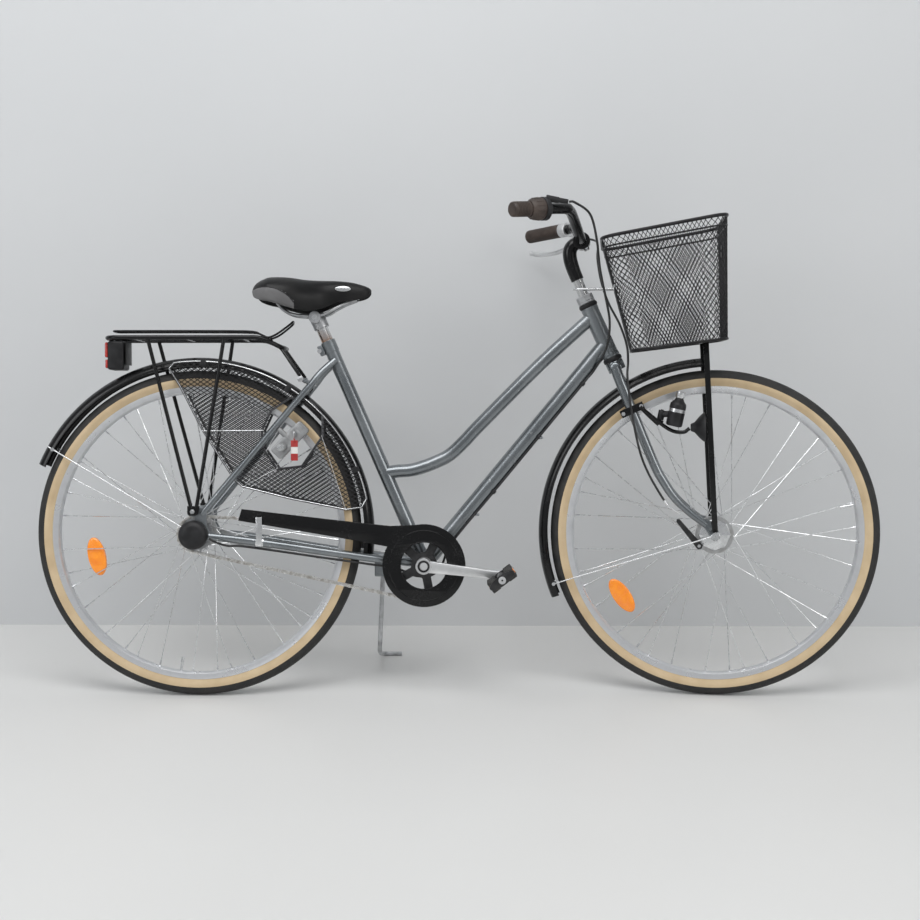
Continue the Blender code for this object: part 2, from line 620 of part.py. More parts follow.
def make_brake_arm():
    """The lever that holds the hub's brake plate still, with its strap on the left chain stay."""
    direction = (Vector(CHAIN_STAY[2]) - REAR_AXLE).normalized()
    drop = Vector((0.0, 0.0, -0.016))
    tip = REAR_AXLE + Vector((direction.x, 0.0, direction.z)) * 0.150 + drop
    u, v = tip.x, tip.z
    slope = math.atan2(v - WHEEL_RADIUS, u)
    nx, nz = -math.sin(slope), math.cos(slope)
    outline = [(0.016 * math.cos(a) + 0.0, WHEEL_RADIUS + 0.016 * math.sin(a))
               for a in [slope + math.radians(d) for d in (70, 110, 150, 190, 230, 270, 290)]]
    outline += [(u - 0.006 * nx, v - 0.006 * nz), (u + 0.006 * math.cos(slope), v + 0.006 * math.sin(slope)),
                (u + 0.006 * nx, v + 0.006 * nz)]
    hole = disc(0.0056 + GAP, (0.0, WHEEL_RADIUS), 12)
    return plate(outline, 0.003, side_frame(BRAKE_ARM_Y), [hole])


def make_hub_cover():
    start = -OUTER_FACE - 0.0035
    end = start - HUB_COVER_DEPTH
    profile = [(end + 0.004, 0.0), (end + 0.004, AXLE_RADIUS + GAP), (start, AXLE_RADIUS + GAP),
               (start, HUB_COVER_RADIUS), (end + 0.010, HUB_COVER_RADIUS),
               (end + 0.003, HUB_COVER_RADIUS - 0.004), (end, HUB_COVER_RADIUS - 0.012), (end, 0.0)]
    return turned(profile, axis_frame(REAR_AXLE, SIDEWAYS), 12)


piece("rear_axle", make_rear_axle(), BRIGHT_STEEL, "frame")
piece("rear_brake_arm", make_brake_arm(), ZINC_STEEL, "frame")
piece("rear_hub_cover", make_hub_cover(), BLACK_PLASTIC, "frame")

# Mudguards: rolled strips with a round section, each with its tabs or stay
MUDGUARD_HALF_WIDTH = 0.0225
MUDGUARD_SHEET = 0.0012
ARCH_SHOULDER = 38
REAR_GUARD_RADIUS = 0.378
REAR_GUARD_DEPTH = 0.020
FRONT_GUARD_DEPTH = 0.018
FRONT_GUARD_RADIUS = 0.376


def crown_radius(radius, depth):
    """The radius at which a spacer ends inside the sheet of a mudguard's flat crown."""
    return radius - depth * (1 - math.cos(math.radians(ARCH_SHOULDER))) - MUDGUARD_SHEET


def rolled_guard(centre, radius, depth, start, end, steps):
    """A curved strip whose section is a shallow arch, open towards the tyre."""
    rings = []
    for i in range(steps + 1):
        angle = math.radians(start + (end - start) * i / steps)
        out = Vector((math.cos(angle), 0.0, math.sin(angle)))
        ring = []
        for shell in (0.0, MUDGUARD_SHEET):
            row = []
            for degrees in (-90, -ARCH_SHOULDER, ARCH_SHOULDER, 90):
                turn = math.radians(degrees)
                rise = (depth - shell) * math.cos(turn)
                across = (MUDGUARD_HALF_WIDTH - shell) * math.sin(turn)
                row.append(centre + out * (radius - depth + rise) + SIDEWAYS * across)
            ring += row if shell == 0.0 else row[::-1]
        rings.append(ring)
    bm = bmesh.new()
    loops = [[bm.verts.new(p) for p in ring] for ring in rings]
    count = len(loops[0])
    for a, b in zip(loops, loops[1:]):
        for j in range(count):
            bm.faces.new((a[j], a[(j + 1) % count], b[(j + 1) % count], b[j]))
    for cap in (loops[0], loops[-1]):
        half = count // 2
        for j in range(half - 1):
            bm.faces.new((cap[j], cap[j + 1], cap[count - 2 - j], cap[count - 1 - j]))
    return mesh_from(bm)


def make_rear_mudguard():
    """The strip with the two spacers through which it is screwed to the bridges of the stays."""
    solids = [rolled_guard(REAR_AXLE, REAR_GUARD_RADIUS, REAR_GUARD_DEPTH, 156.6, -7.0, 21)]
    for bridge, radius in ((UPPER_BRIDGE, UPPER_BRIDGE_RADIUS), (LOWER_BRIDGE, LOWER_BRIDGE_RADIUS)):
        inward = (REAR_AXLE - bridge).normalized()
        reach = (REAR_AXLE - bridge).length - crown_radius(REAR_GUARD_RADIUS, REAR_GUARD_DEPTH)
        solids.append(bar(bridge + inward * (radius + GAP), bridge + inward * reach, 0.0065, 8))
    return fused(*solids)


piece("rear_mudguard", make_rear_mudguard(), BLACK_PAINT, "frame")

# The chain guard: a pressed shell with a long arm and a ring around the chainring
GUARD_Y = -0.0600
GUARD_DEPTH = 0.010
GUARD_SHEET = 0.0012
GUARD_RADIUS = 0.087
GUARD_HOLE = 0.049
GUARD_STRAP_X = 0.137


def guard_outline(inset):
    """The outline of the arm and ring, drawn in by an inset."""
    ring = GUARD_RADIUS - inset
    loop = [(0.093 + inset, 0.3800 + inset), (0.100 + inset, 0.4030 - inset),
            (0.300, 0.3795 - inset), (0.415, 0.3670 - inset)]
    for i in range(13):
        angle = math.radians(100.0 - i * (308.0 / 12))
        loop.append((BRACKET.x + ring * math.cos(angle), BRACKET.z + ring * math.sin(angle)))
    loop.append((0.300, 0.3455 + inset))
    return loop


def make_chain_guard():
    outer = plate(guard_outline(0.0), GUARD_DEPTH, side_frame(GUARD_Y + GUARD_DEPTH / 2),
                  [disc(GUARD_HOLE, (BRACKET.x, BRACKET.z), 16)])
    rim = GUARD_HOLE + GUARD_SHEET
    inner = plate(guard_outline(GUARD_SHEET), GUARD_DEPTH,
                  side_frame(GUARD_Y + GUARD_DEPTH / 2 + GUARD_SHEET),
                  [disc(rim, (BRACKET.x, BRACKET.z), 16)])
    stay_y = 0.0545 + CHAIN_STAY_RADIUS + GAP + 0.0016
    strap = block((0.014, 0.0016, 0.066), Matrix.Translation((GUARD_STRAP_X, -stay_y, 0.3540)))
    boss = bar(point(GUARD_STRAP_X, 0.3800, -stay_y - 0.004), point(GUARD_STRAP_X, 0.3800, GUARD_Y + 0.0006),
               0.0055, 8)
    return bored(fused(outer, strap, boss), inner)


piece("chain_guard", make_chain_guard(), BLACK_PAINT, "frame")

# Skirt guards: open nets moulded with a border and a window for the lock, clipped to the mudguard
SKIRT_SHEET = 0.0012
SKIRT_Y = MUDGUARD_HALF_WIDTH + GAP + SKIRT_SHEET / 2
SKIRT_RADIUS = 0.372
SKIRT_BORDER = 0.006
SKIRT_CELL = (0.072, 0.0500)
SKIRT_STRAND = 0.0045


def skirt_outline():
    loop = []
    for i in range(15):
        angle = math.radians(98.0 - i * (86.5 / 14))
        loop.append((SKIRT_RADIUS * math.cos(angle), WHEEL_RADIUS + SKIRT_RADIUS * math.sin(angle)))
    return loop + [(0.353, 0.4040), (0.318, 0.3990), (0.201, 0.4220), (0.094, 0.4490), (0.077, 0.4640),
                   (0.009, 0.5700), (-0.040, 0.6660), (-0.064, 0.7040)]


def skirt_window():
    return [(0.141, 0.5350), (0.141, 0.5710), (0.160, 0.6120), (0.200, 0.6380), (0.240, 0.6320),
            (0.265, 0.6040), (0.266, 0.5600), (0.222, 0.4960), (0.172, 0.4900)]


def inside(u, v, loop):
    """Whether a point lies in a closed outline."""
    within = False
    for (u1, v1), (u2, v2) in zip(loop, loop[1:] + loop[:1]):
        if (v1 > v) != (v2 > v) and u < u1 + (u2 - u1) * (v - v1) / (v2 - v1):
            within = not within
    return within


def nearest_edge(u, v, loop):
    """How far a point lies from an outline."""
    place = Vector((u, v))
    least = 1.0
    for start, end in zip(loop, loop[1:] + loop[:1]):
        start, end = Vector(start), Vector(end)
        along = (place - start).dot(end - start) / (end - start).length_squared
        foot = start + (end - start) * min(1.0, max(0.0, along))
        least = min(least, (place - foot).length)
    return least


def net_holes(outline, windows, cell, strand, border):
    """Diamond gaps of a net, wherever a whole one fits inside the border."""
    wide, high = cell
    reach_u, reach_v = wide / 2 - strand / 2, high / 2 - strand / 2
    us, vs = [p[0] for p in outline], [p[1] for p in outline]
    rows = range(int((max(vs) - min(vs)) / (high / 2)) + 2)
    columns = range(int((max(us) - min(us)) / wide) + 2)
    holes = []
    for row in rows:
        for column in columns:
            u = min(us) + (column + 0.5 * (row % 2)) * wide
            v = min(vs) + row * high / 2
            corners = [(u + reach_u, v), (u, v + reach_v), (u - reach_u, v), (u, v - reach_v)]
            fits = all(inside(a, b, outline) and nearest_edge(a, b, outline) > border
                       for a, b in corners)
            clear = all(not inside(a, b, w) and nearest_edge(a, b, w) > border
                        for a, b in corners + [(u, v)] for w in windows)
            if fits and clear:
                holes.append(corners)
    return holes


def make_skirt_guard():
    """The net and three tabs with which it grips the mudguard's edge from outside."""
    outline, window = skirt_outline(), skirt_window()
    holes = net_holes(outline, [window], SKIRT_CELL, SKIRT_STRAND, SKIRT_BORDER)
    return plate(outline, SKIRT_SHEET, side_frame(-SKIRT_Y), holes + [window])


piece("skirt_guard_right", make_skirt_guard(), BLACK_PLASTIC, "frame")
piece("skirt_guard_left", mirrored(make_skirt_guard()), BLACK_PLASTIC, "frame")

# The carrier: a platform of bent bars with two pairs of legs and struts to the seat stays
CARRIER_Z = 0.7680
CARRIER_HALF_WIDTH = 0.0560
CARRIER_BAR = 0.0050
CARRIER_REAR = -0.195
LEG_FOOT_Y = REAR_DROPOUT_Y + DROPOUT_THICKNESS / 2 + 0.0072
CROSS_BARS = (-0.130, -0.020, 0.100)
CLIP_PIVOT = point(0.150, CARRIER_Z - 0.0040)
CLIP_PIN = 0.0030
LEG_BAR = 0.0042


def make_carrier():
    z, half = CARRIER_Z, CARRIER_HALF_WIDTH
    rear = CARRIER_REAR + CARRIER_BAR
    rail = [point(0.186, z - 0.021, 0.020), point(0.182, z - 0.020, 0.036),
            point(0.160, z - 0.010, half - 0.004), point(0.135, z - 0.001, half), point(0.100, z, half),
            point(-0.080, z, half),
            point(-0.168, z, half), point(rear + 0.006, z, half - 0.010), point(rear, z, 0.030)]
    left = smooth_path(rail, 1)
    hoop = left + [Vector((p.x, -p.y, p.z)) for p in reversed(left)]
    solids = [rod(hoop, CARRIER_BAR, 6, closed=True)]
    for x in CROSS_BARS:
        solids.append(bar(point(x, z, -half), point(x, z, half), 0.0038, 6))
    for y in (-0.020, 0.020):
        solids.append(bar(point(rear, z, y), point(CROSS_BARS[-1], z, y), 0.0036, 6))
    for side in (1, -1):
        for top, foot in ((-0.100, -0.005), (0.063, 0.006)):
            solids.append(bar(point(top, z, side * half), point(foot, 0.4060, side * LEG_FOOT_Y),
                              LEG_BAR, 6))
        lug = plate([(-0.013, 0.4110), (-0.013, 0.3950), (-0.009, 0.3905), (0.004, 0.3905),
                     (0.010, 0.3960), (0.013, 0.4110)], 0.0040, side_frame(side * LEG_FOOT_Y))
        solids.append(lug)
        solids.append(bar(point(-0.002, 0.3990, side * (LEG_FOOT_Y + 0.006)),
                          point(-0.002, 0.3990, side * (OUTER_FACE)), 0.0052, 6))
        bolt = STRUT_FOOT + SIDEWAYS * side * (STRUT_EYE_Y + GAP)
        solids.append(bar(point(0.178, z - 0.020, side * 0.030), bolt + SIDEWAYS * side * 0.0062, 0.0040, 6))
        solids.append(bar(bolt, bolt + SIDEWAYS * side * 0.0090, 0.0070, 6))
        solids.append(bar(CLIP_PIVOT, CLIP_PIVOT + SIDEWAYS * side * (half - 0.003), CLIP_PIN, 8))
    return fused(*solids)


piece("rack", make_carrier(), BLACK_PAINT, "frame")

# The carrier's spring clip, hinged on a cross pin, and the tail lamp under the platform's end
CLIP_WIRE = 0.0024
CLIP_HALF = 0.0220
LAMP_SIZE = (0.042, 0.058, 0.0620)

body("rack_clip", CLIP_PIVOT, "frame")


def make_rack_clip():
    x, z = CLIP_PIVOT.x, CLIP_PIVOT.z
    wire_z = z + 0.020
    side = [point(-0.182, wire_z, 0.0), point(-0.182, wire_z, 0.012), point(-0.172, wire_z, CLIP_HALF),
            point(-0.020, wire_z, CLIP_HALF), point(x - 0.030, wire_z - 0.002, CLIP_HALF),
            point(x, z + 0.0060, CLIP_HALF), point(x + 0.026, z + 0.0170, CLIP_HALF),
            point(x + 0.048, z + 0.034, CLIP_HALF * 0.8), point(x + 0.053, z + 0.040, 0.008),
            point(x + 0.053, z + 0.040, 0.0)]
    loop = side[:-1] + [Vector((p.x, -p.y, p.z)) for p in reversed(side[1:])]
    solids = [rod(loop, CLIP_WIRE, 6, closed=True)]
    for y in (-CLIP_HALF, CLIP_HALF):
        sleeve = [(-0.006, CLIP_PIN + GAP), (-0.006, 0.0062), (0.006, 0.0062), (0.006, CLIP_PIN + GAP)]
        solids.append(turned(sleeve, axis_frame(CLIP_PIVOT + SIDEWAYS * y, SIDEWAYS), 8, True))
    return fused(*solids)


def make_rear_lamp():
    long, wide, high = LAMP_SIZE
    top = CARRIER_Z - CARRIER_BAR - GAP
    centre = Vector((CARRIER_REAR + 0.017, 0.0, top - high / 2))
    shell = block((long, wide, high), Matrix.Translation(centre), 0.005)
    hanger = block((0.0016, 0.050, 0.050), Matrix.Translation((centre.x + long / 2 + 0.004, 0.0,
                                                              top - 0.026)), 0.0005)
    spacer = bar(centre + Vector((long / 2 - 0.004, 0, 0)), centre + Vector((long / 2 + 0.0045, 0, 0)),
                 0.008, 10)
    return fused(shell, hanger, spacer)


piece("rack_clip", make_rack_clip(), BLACK_PAINT, "rack_clip")
piece("rear_lamp", make_rear_lamp(), BLACK_PLASTIC, "frame")

# The frame lock on the right seat stay: a flat housing, the bolt that slides between the spokes,
# and the key with its ring and tag
LOCK_ANGLE = 45.0
LOCK_BOLT_RADIUS = 0.0045
LOCK_BOLT_AT = 0.262
LOCK_MIDDLE = 0.283
LOCK_KEY_AT = 0.300
LOCK_FACE = -0.0300
LOCK_THICK = 0.0125
LOCK_BOSS = 0.0120
LOCK_TRAVEL = 0.0200
LOCK_REACH = 0.0347

LOCK_OUT = (around(REAR_AXLE, 1.0, LOCK_ANGLE) - REAR_AXLE).normalized()
LOCK_AHEAD = LOCK_OUT.cross(SIDEWAYS)


def on_lock(out, y, ahead=0.0):
    """A place on the lock, by distance from the axle, from the middle and ahead of its line."""
    return REAR_AXLE + LOCK_OUT * out + SIDEWAYS * y + LOCK_AHEAD * ahead


body("lock_bolt", on_lock(LOCK_BOLT_AT, LOCK_FACE), "frame")
body("lock_key", on_lock(LOCK_KEY_AT, LOCK_FACE - LOCK_THICK), "frame")


def make_wheel_lock():
    frame = axis_frame(on_lock(LOCK_MIDDLE, LOCK_FACE - LOCK_THICK / 2), LOCK_OUT, SIDEWAYS)
    slab = block((LOCK_THICK, 0.032, 0.090), frame, 0.0035, 1)
    boss_end = LOCK_FACE - LOCK_THICK - LOCK_BOSS
    boss = bar(on_lock(LOCK_BOLT_AT, LOCK_FACE - 0.004), on_lock(LOCK_BOLT_AT, boss_end), 0.0090, 12)
    arm = bar(on_lock(LOCK_MIDDLE, LOCK_FACE - LOCK_THICK / 2),
              on_lock(LOCK_MIDDLE, LOCK_FACE - 0.0100, LOCK_REACH), 0.0060, 8)
    hollow = bar(on_lock(LOCK_BOLT_AT, LOCK_FACE + 0.01), on_lock(LOCK_BOLT_AT, boss_end - 0.01),
                 LOCK_BOLT_RADIUS + GAP, 12)
    keyhole = bar(on_lock(LOCK_KEY_AT, LOCK_FACE - LOCK_THICK + 0.006),
                  on_lock(LOCK_KEY_AT, LOCK_FACE - LOCK_THICK - 0.01), 0.0042, 8)
    return bored(fused(slab, boss, arm), hollow, keyhole)


def make_lock_bolt():
    """The bolt stands back from the spokes, and its knob stands off the boss by as far as it slides."""
    tail = LOCK_FACE - LOCK_THICK - LOCK_BOSS - LOCK_TRAVEL
    profile = [(-0.0005, 0.0), (-0.0005, LOCK_BOLT_RADIUS - 0.001), (-0.0015, LOCK_BOLT_RADIUS),
               (tail - LOCK_FACE - GAP, LOCK_BOLT_RADIUS), (tail - LOCK_FACE - GAP, 0.0075),
               (tail - LOCK_FACE - 0.0055, 0.0080), (tail - LOCK_FACE - 0.0065, 0.0)]
    return turned(profile, axis_frame(on_lock(LOCK_BOLT_AT, LOCK_FACE), SIDEWAYS), 12)


def make_lock_key():
    """The key's barrel and bow, with the ring and the soft tag that hang from it."""
    mouth = LOCK_FACE - LOCK_THICK
    barrel = bar(on_lock(LOCK_KEY_AT, mouth + 0.0055), on_lock(LOCK_KEY_AT, mouth - 0.010), 0.0038, 8)
    bow_at = on_lock(LOCK_KEY_AT, mouth - 0.018)
    bow = block((0.0024, 0.020, 0.020), axis_frame(bow_at, SIDEWAYS, (1, 0, 0)), 0.0006)
    tag = block((0.0026, 0.016, 0.050), Matrix.Translation(bow_at + Vector((0.0, 0.0, -0.032))), 0.0008)
    return fused(barrel, bow, tag)


piece("wheel_lock", make_wheel_lock(), ZINC_STEEL, "frame")
piece("lock_bolt", make_lock_bolt(), BRIGHT_STEEL, "lock_bolt")
piece("lock_key", make_lock_key(), BRIGHT_STEEL, "lock_key")

# The kickstand: one bent bar on a barrel that turns on its pin behind the bottom bracket
STAND_BAR = 0.0050
STAND_REACH = 0.2746
STAND_SOLE = 0.80

body("kickstand", STAND_HINGE, "frame")


def make_kickstand():
    x, z, y = STAND_HINGE.x, STAND_HINGE.z, STAND_HINGE.y
    foot_z = ground_under(x, STAND_REACH) + STAND_BAR * STAND_SOLE
    knots = [point(x, z - 0.004, y), point(x - 0.003, 0.190, y + 0.003), point(x - 0.006, 0.128, y + 0.006),
             point(x - 0.008, 0.098, y + 0.019), point(x - 0.010, 0.081, y + 0.044),
             point(x - 0.012, foot_z + 0.0170, 0.170), point(x - 0.013, foot_z + 0.0040, STAND_REACH - 0.022),
             point(x - 0.007, foot_z + 0.0008, STAND_REACH - 0.003), point(x + 0.006, foot_z, STAND_REACH),
             point(x + 0.030, foot_z, STAND_REACH)]
    leg = rod(knots, STAND_BAR, 6)
    barrel = [(-0.0065, STAND_PIN + GAP), (-0.0065, 0.0095), (0.0075, 0.0095), (0.0075, STAND_PIN + GAP)]
    sleeve = turned(barrel, axis_frame(STAND_HINGE, SIDEWAYS), 12, True)
    hollow = bar(STAND_HINGE - SIDEWAYS * 0.02, STAND_HINGE + SIDEWAYS * 0.02, STAND_PIN + GAP, 12)
    below = parked_pose() @ point(x, foot_z, STAND_REACH)
    ground = block((0.30, 0.30, 0.05), parked_pose().inverted()
                   @ Matrix.Translation((below.x, below.y, -0.025)))
    return bored(fused(leg, sleeve), hollow, ground)


piece("kickstand_leg", make_kickstand(), ZINC_STEEL, "kickstand")

# The seat post and saddle: the post slides in the seat tube, the rails are clamped at its head
POST_TOP = SEAT_TUBE_LENGTH + 0.060
POST_FOOT = SEAT_TUBE_LENGTH - 0.120
RAIL_HALF = 0.0220
RAIL_WIRE = 0.0035

# Each station: how far ahead of the post's head, half width, and the heights of top and skirt over it
SADDLE_STATIONS = ((-0.1329, 0.036, 0.0541, 0.0441), (-0.1199, 0.066, 0.0701, 0.0311),
                   (-0.0909, 0.084, 0.0801, 0.0241), (-0.0549, 0.081, 0.0796, 0.0131),
                   (-0.0179, 0.062, 0.0751, 0.0061), (0.0151, 0.042, 0.0741, 0.0121),
                   (0.0471, 0.031, 0.0736, 0.0261), (0.0771, 0.026, 0.0706, 0.0301),
                   (0.1021, 0.021, 0.0641, 0.0351), (0.1181, 0.010, 0.0551, 0.0461))
SADDLE_HOLLOW = 0.5

body("seat", on_seat(SEAT_TUBE_LENGTH), "frame")


def make_saddle_cover():
    """The padded top lofted through its stations: a crowned dome with skirts and a hollow belly."""
    bm = bmesh.new()
    rings = []
    head = on_seat(POST_TOP)
    for ahead, half, rise, hem in SADDLE_STATIONS:
        x, top, skirt = head.x + ahead, head.z + rise, head.z + hem
        crown = top - skirt
        belly = skirt + crown * SADDLE_HOLLOW * min(1.0, half / 0.06)
        section = [(0.0, top), (0.45 * half, top - 0.02 * crown), (0.80 * half, top - 0.16 * crown),
                   (half, top - 0.52 * crown), (0.92 * half, skirt), (0.80 * half, skirt),
                   (0.55 * half, belly), (0.0, belly)]
        left = [bm.verts.new((x, y, z)) for y, z in section]
        right = [bm.verts.new((x, -y, z)) for y, z in section[1:-1]]
        rings.append(left + right[::-1])
    for a, b in zip(rings, rings[1:]):
        for i in range(len(a)):
            j = (i + 1) % len(a)
            bm.faces.new((a[i], a[j], b[j], b[i]))
    bm.faces.new(rings[0])
    bm.faces.new(rings[-1])
    return mesh_from(bm)


def make_saddle_frame():
    """Two bent rails, the clamp on the post's head, and the pan's bridges that carry the cover."""
    head = on_seat(POST_TOP - 0.012)
    top = on_seat(POST_TOP)
    wires = []
    for side in (1, -1):
        rail = [point(top.x + 0.0871, top.z + 0.0326, 0.010 * side),
                point(top.x + 0.0651, top.z + 0.0251, 0.016 * side),
                point(top.x + 0.0321, top.z + 0.0091, RAIL_HALF * side),
                point(head.x + 0.02, head.z + 0.010, RAIL_HALF * side),
                point(head.x - 0.03, head.z + 0.010, RAIL_HALF * side),
                point(top.x - 0.0749, top.z + 0.0191, RAIL_HALF * side),
                point(top.x - 0.0929, top.z + 0.0476, RAIL_HALF * side)]
        wires.append(rod(smooth_path(rail, 1), RAIL_WIRE, 6))
    pan = block((0.016, 0.054, 0.004), Matrix.Translation(top + Vector((-0.0929, 0.0, 0.0481))))
    nose = block((0.014, 0.024, 0.004), Matrix.Translation(top + Vector((0.0851, 0.0, 0.0364))))
    clamp = bar(point(head.x - 0.006, head.z + 0.006, -RAIL_HALF - 0.007),
                point(head.x - 0.006, head.z + 0.006, RAIL_HALF + 0.007), 0.0130, 10)
    socket = bar(on_seat(POST_TOP - 0.030), on_seat(POST_TOP + 0.001), 0.0168, 10)
    hollow = bar(on_seat(POST_TOP - 0.060), on_seat(POST_TOP - 0.010), POST_RADIUS + GAP, 12)
    return bored(fused(*wires, pan, nose, clamp, socket), hollow)


def make_seat_post():
    return bar(on_seat(POST_FOOT), on_seat(POST_TOP - 0.010 - GAP), POST_RADIUS, 12)


piece("seat_post", make_seat_post(), BRIGHT_STEEL, "seat")
piece("saddle_frame", make_saddle_frame(), ZINC_STEEL, "seat")
piece("saddle_cover", make_saddle_cover(), SADDLE_VINYL, "seat")

# The chain drive: a 38-tooth ring drives a 19-tooth sprocket at twice its speed. The roller chain
# lies in both sets of teeth, and its straight runs touch the two pitch circles.
ROLLER_RADIUS = 0.0039
TOOTH_HEIGHT = 0.0028
SEAT_DEPTH = 0.0042
SEAT_HALF = 0.0031
RING_THICKNESS = 0.0026
SPROCKET_THICKNESS = 0.0022
LINK_HALF_HEIGHT = 0.0038
LINK_SHEET = 0.0013
INNER_LINK_Y = 0.00245
OUTER_LINK_Y = 0.00335

body("crank", BRACKET, "frame")
body("sprocket", REAR_AXLE, "frame")


def run_angles():
    """The side-view angles at which the upper and lower run leave the pitch circles."""
    span = BRACKET - REAR_AXLE
    line = math.atan2(span.z, span.x)
    tilt = math.asin((pitch_radius(RING_TEETH) - pitch_radius(SPROCKET_TEETH)) / span.length)
    return line + math.pi / 2 + tilt, line - math.pi / 2 - tilt


def chain_place(pitches):
    """Where the chain's middle line is, so many pitches on from the top of the sprocket."""
    up, down = run_angles()
    large, small = pitch_radius(RING_TEETH), pitch_radius(SPROCKET_TEETH)
    wrap = RING_TEETH * (up - down) / (2 * math.pi)
    run = math.sqrt((BRACKET - REAR_AXLE).length_squared - (large - small) ** 2) / CHAIN_PITCH
    high = [REAR_AXLE + Vector((math.cos(up), 0, math.sin(up))) * small,
            BRACKET + Vector((math.cos(up), 0, math.sin(up))) * large]
    low = [BRACKET + Vector((math.cos(down), 0, math.sin(down))) * large,
           REAR_AXLE + Vector((math.cos(down), 0, math.sin(down))) * small]
    if pitches < run:
        return high[0].lerp(high[1], pitches / run)
    if pitches < run + wrap:
        angle = up - (pitches - run) * 2 * math.pi / RING_TEETH
        return BRACKET + Vector((math.cos(angle), 0, math.sin(angle))) * large
    if pitches < 2 * run + wrap:
        return low[0].lerp(low[1], (pitches - run - wrap) / run)
    angle = down - (pitches - 2 * run - wrap) * 2 * math.pi / SPROCKET_TEETH
    return REAR_AXLE + Vector((math.cos(angle), 0, math.sin(angle))) * small


def toothed_outline(teeth, first_gap):
    """A sprocket's outline, each gap a seat for a roller, with the first gap at a given angle."""
    radius = pitch_radius(teeth)
    loop = []
    for k in range(teeth):
        angle = first_gap + 2 * math.pi * k / teeth
        for r, t in ((radius - SEAT_DEPTH, -SEAT_HALF), (radius - SEAT_DEPTH, SEAT_HALF),
                     (radius + TOOTH_HEIGHT, CHAIN_PITCH / 2)):
            loop.append((r * math.cos(angle + t / radius), r * math.sin(angle + t / radius)))
    return loop


def ring_gap_angle():
    """The angle of the first chain pin that lies on the chainring."""
    large, small = pitch_radius(RING_TEETH), pitch_radius(SPROCKET_TEETH)
    run = math.sqrt((BRACKET - REAR_AXLE).length_squared - (large - small) ** 2) / CHAIN_PITCH
    return run_angles()[0] - (math.ceil(run) - run) * 2 * math.pi / RING_TEETH


def make_chainring():
    windows = []
    for arm in range(5):
        middle = CRANK_ANGLE + math.radians(36 + 72 * arm)
        inner, outer = 0.028, 0.062
        corners = [(outer, d) for d in (-26, -9, 9, 26)] + [(inner, d) for d in (16, -16)]
        windows.append([(r * math.cos(middle + math.radians(d)), r * math.sin(middle + math.radians(d)))
                        for r, d in corners])
    windows.append(disc(SPINDLE_RADIUS + 0.002, steps=12))
    return plate(toothed_outline(RING_TEETH, ring_gap_angle()), RING_THICKNESS,
                 side_frame(CHAIN_LINE, BRACKET), windows)


def make_sprocket():
    bore = clear_bore(0.0100, 12)
    return plate(toothed_outline(SPROCKET_TEETH, run_angles()[0]), SPROCKET_THICKNESS,
                 side_frame(CHAIN_LINE, REAR_AXLE), [disc(bore, steps=12)])


def make_chain():
    """Inner and outer links in turn on both sides, joined by a roller at each pin of the real path."""
    pins = [chain_place(i) + SIDEWAYS * CHAIN_LINE for i in range(CHAIN_LINKS)]
    bm = bmesh.new()
    rails = {1: [], -1: []}
    for i in range(CHAIN_LINKS):
        start, end = pins[i], pins[(i + 1) % CHAIN_LINKS]
        out = (end - start).normalized().cross(SIDEWAYS) * LINK_HALF_HEIGHT
        shift = OUTER_LINK_Y if i % 2 else INNER_LINK_Y
        for side, rings in rails.items():
            near = (start + end) / 2 + SIDEWAYS * side * (shift - LINK_SHEET / 2)
            far = (start + end) / 2 + SIDEWAYS * side * (shift + LINK_SHEET / 2)
            rings.append([bm.verts.new(p) for p in (near + out, far + out, far - out, near - out)])
    for i in range(CHAIN_LINKS):
        pin = pins[(i + 1) % CHAIN_LINKS]
        ahead = (pins[(i + 2) % CHAIN_LINKS] - pins[i]).normalized()
        up = ahead.cross(SIDEWAYS)
        roller = []
        for side, rings in rails.items():
            a, b = rings[i], rings[(i + 1) % CHAIN_LINKS]
            for j in range(3):
                bm.faces.new((a[j], a[j + 1], b[j + 1], b[j]))
            face = pin + SIDEWAYS * side * ((INNER_LINK_Y + OUTER_LINK_Y - LINK_SHEET) / 2)
            tops = [bm.verts.new(face + (ahead * math.cos(t) + up * math.sin(t)) * ROLLER_RADIUS)
                    for t in (math.radians(90), math.radians(210), math.radians(330))]
            top, back, front = tops
            for corners in ((a[0], top, b[0]), (a[0], back, top), (a[0], a[3], back), (a[3], b[3], back),
                            (back, b[3], front), (b[3], b[0], front), (b[0], top, front)):
                bm.faces.new(corners)
            roller.append(tops)
        for j in range(3):
            k = (j + 1) % 3
            bm.faces.new((roller[0][j], roller[0][k], roller[1][k], roller[1][j]))
    chain = mesh_from(bm)
    chain.flip_normals()
    return chain


piece("chain", make_chain(), ZINC_STEEL, "frame")
piece("sprocket", make_sprocket(), ZINC_STEEL, "sprocket")
piece("chainring", make_chainring(), BLACK_PLASTIC, "crank")

# The crank set: the spindle, two tapered arms with their pedal axles, and block pedals
CRANK_Y = 0.0735
CRANK_THICKNESS = 0.0130
CRANK_BOSS = 0.0170
LEFT_BOSS = 0.0080
SPINDLE_END = 0.0765
PEDAL_INNER = 0.0860
PEDAL_WIDTH = 0.0880
PEDAL_AXLE = 0.0060
PEDAL_TILT = math.radians(37.0)


def crank_tip(side):
    """The middle of the pedal's axis on one side: -1 is the right, where the crank points ahead."""
    angle = CRANK_ANGLE if side < 0 else CRANK_ANGLE + math.pi
    return BRACKET + Vector((math.cos(angle), 0.0, math.sin(angle))) * CRANK_LENGTH


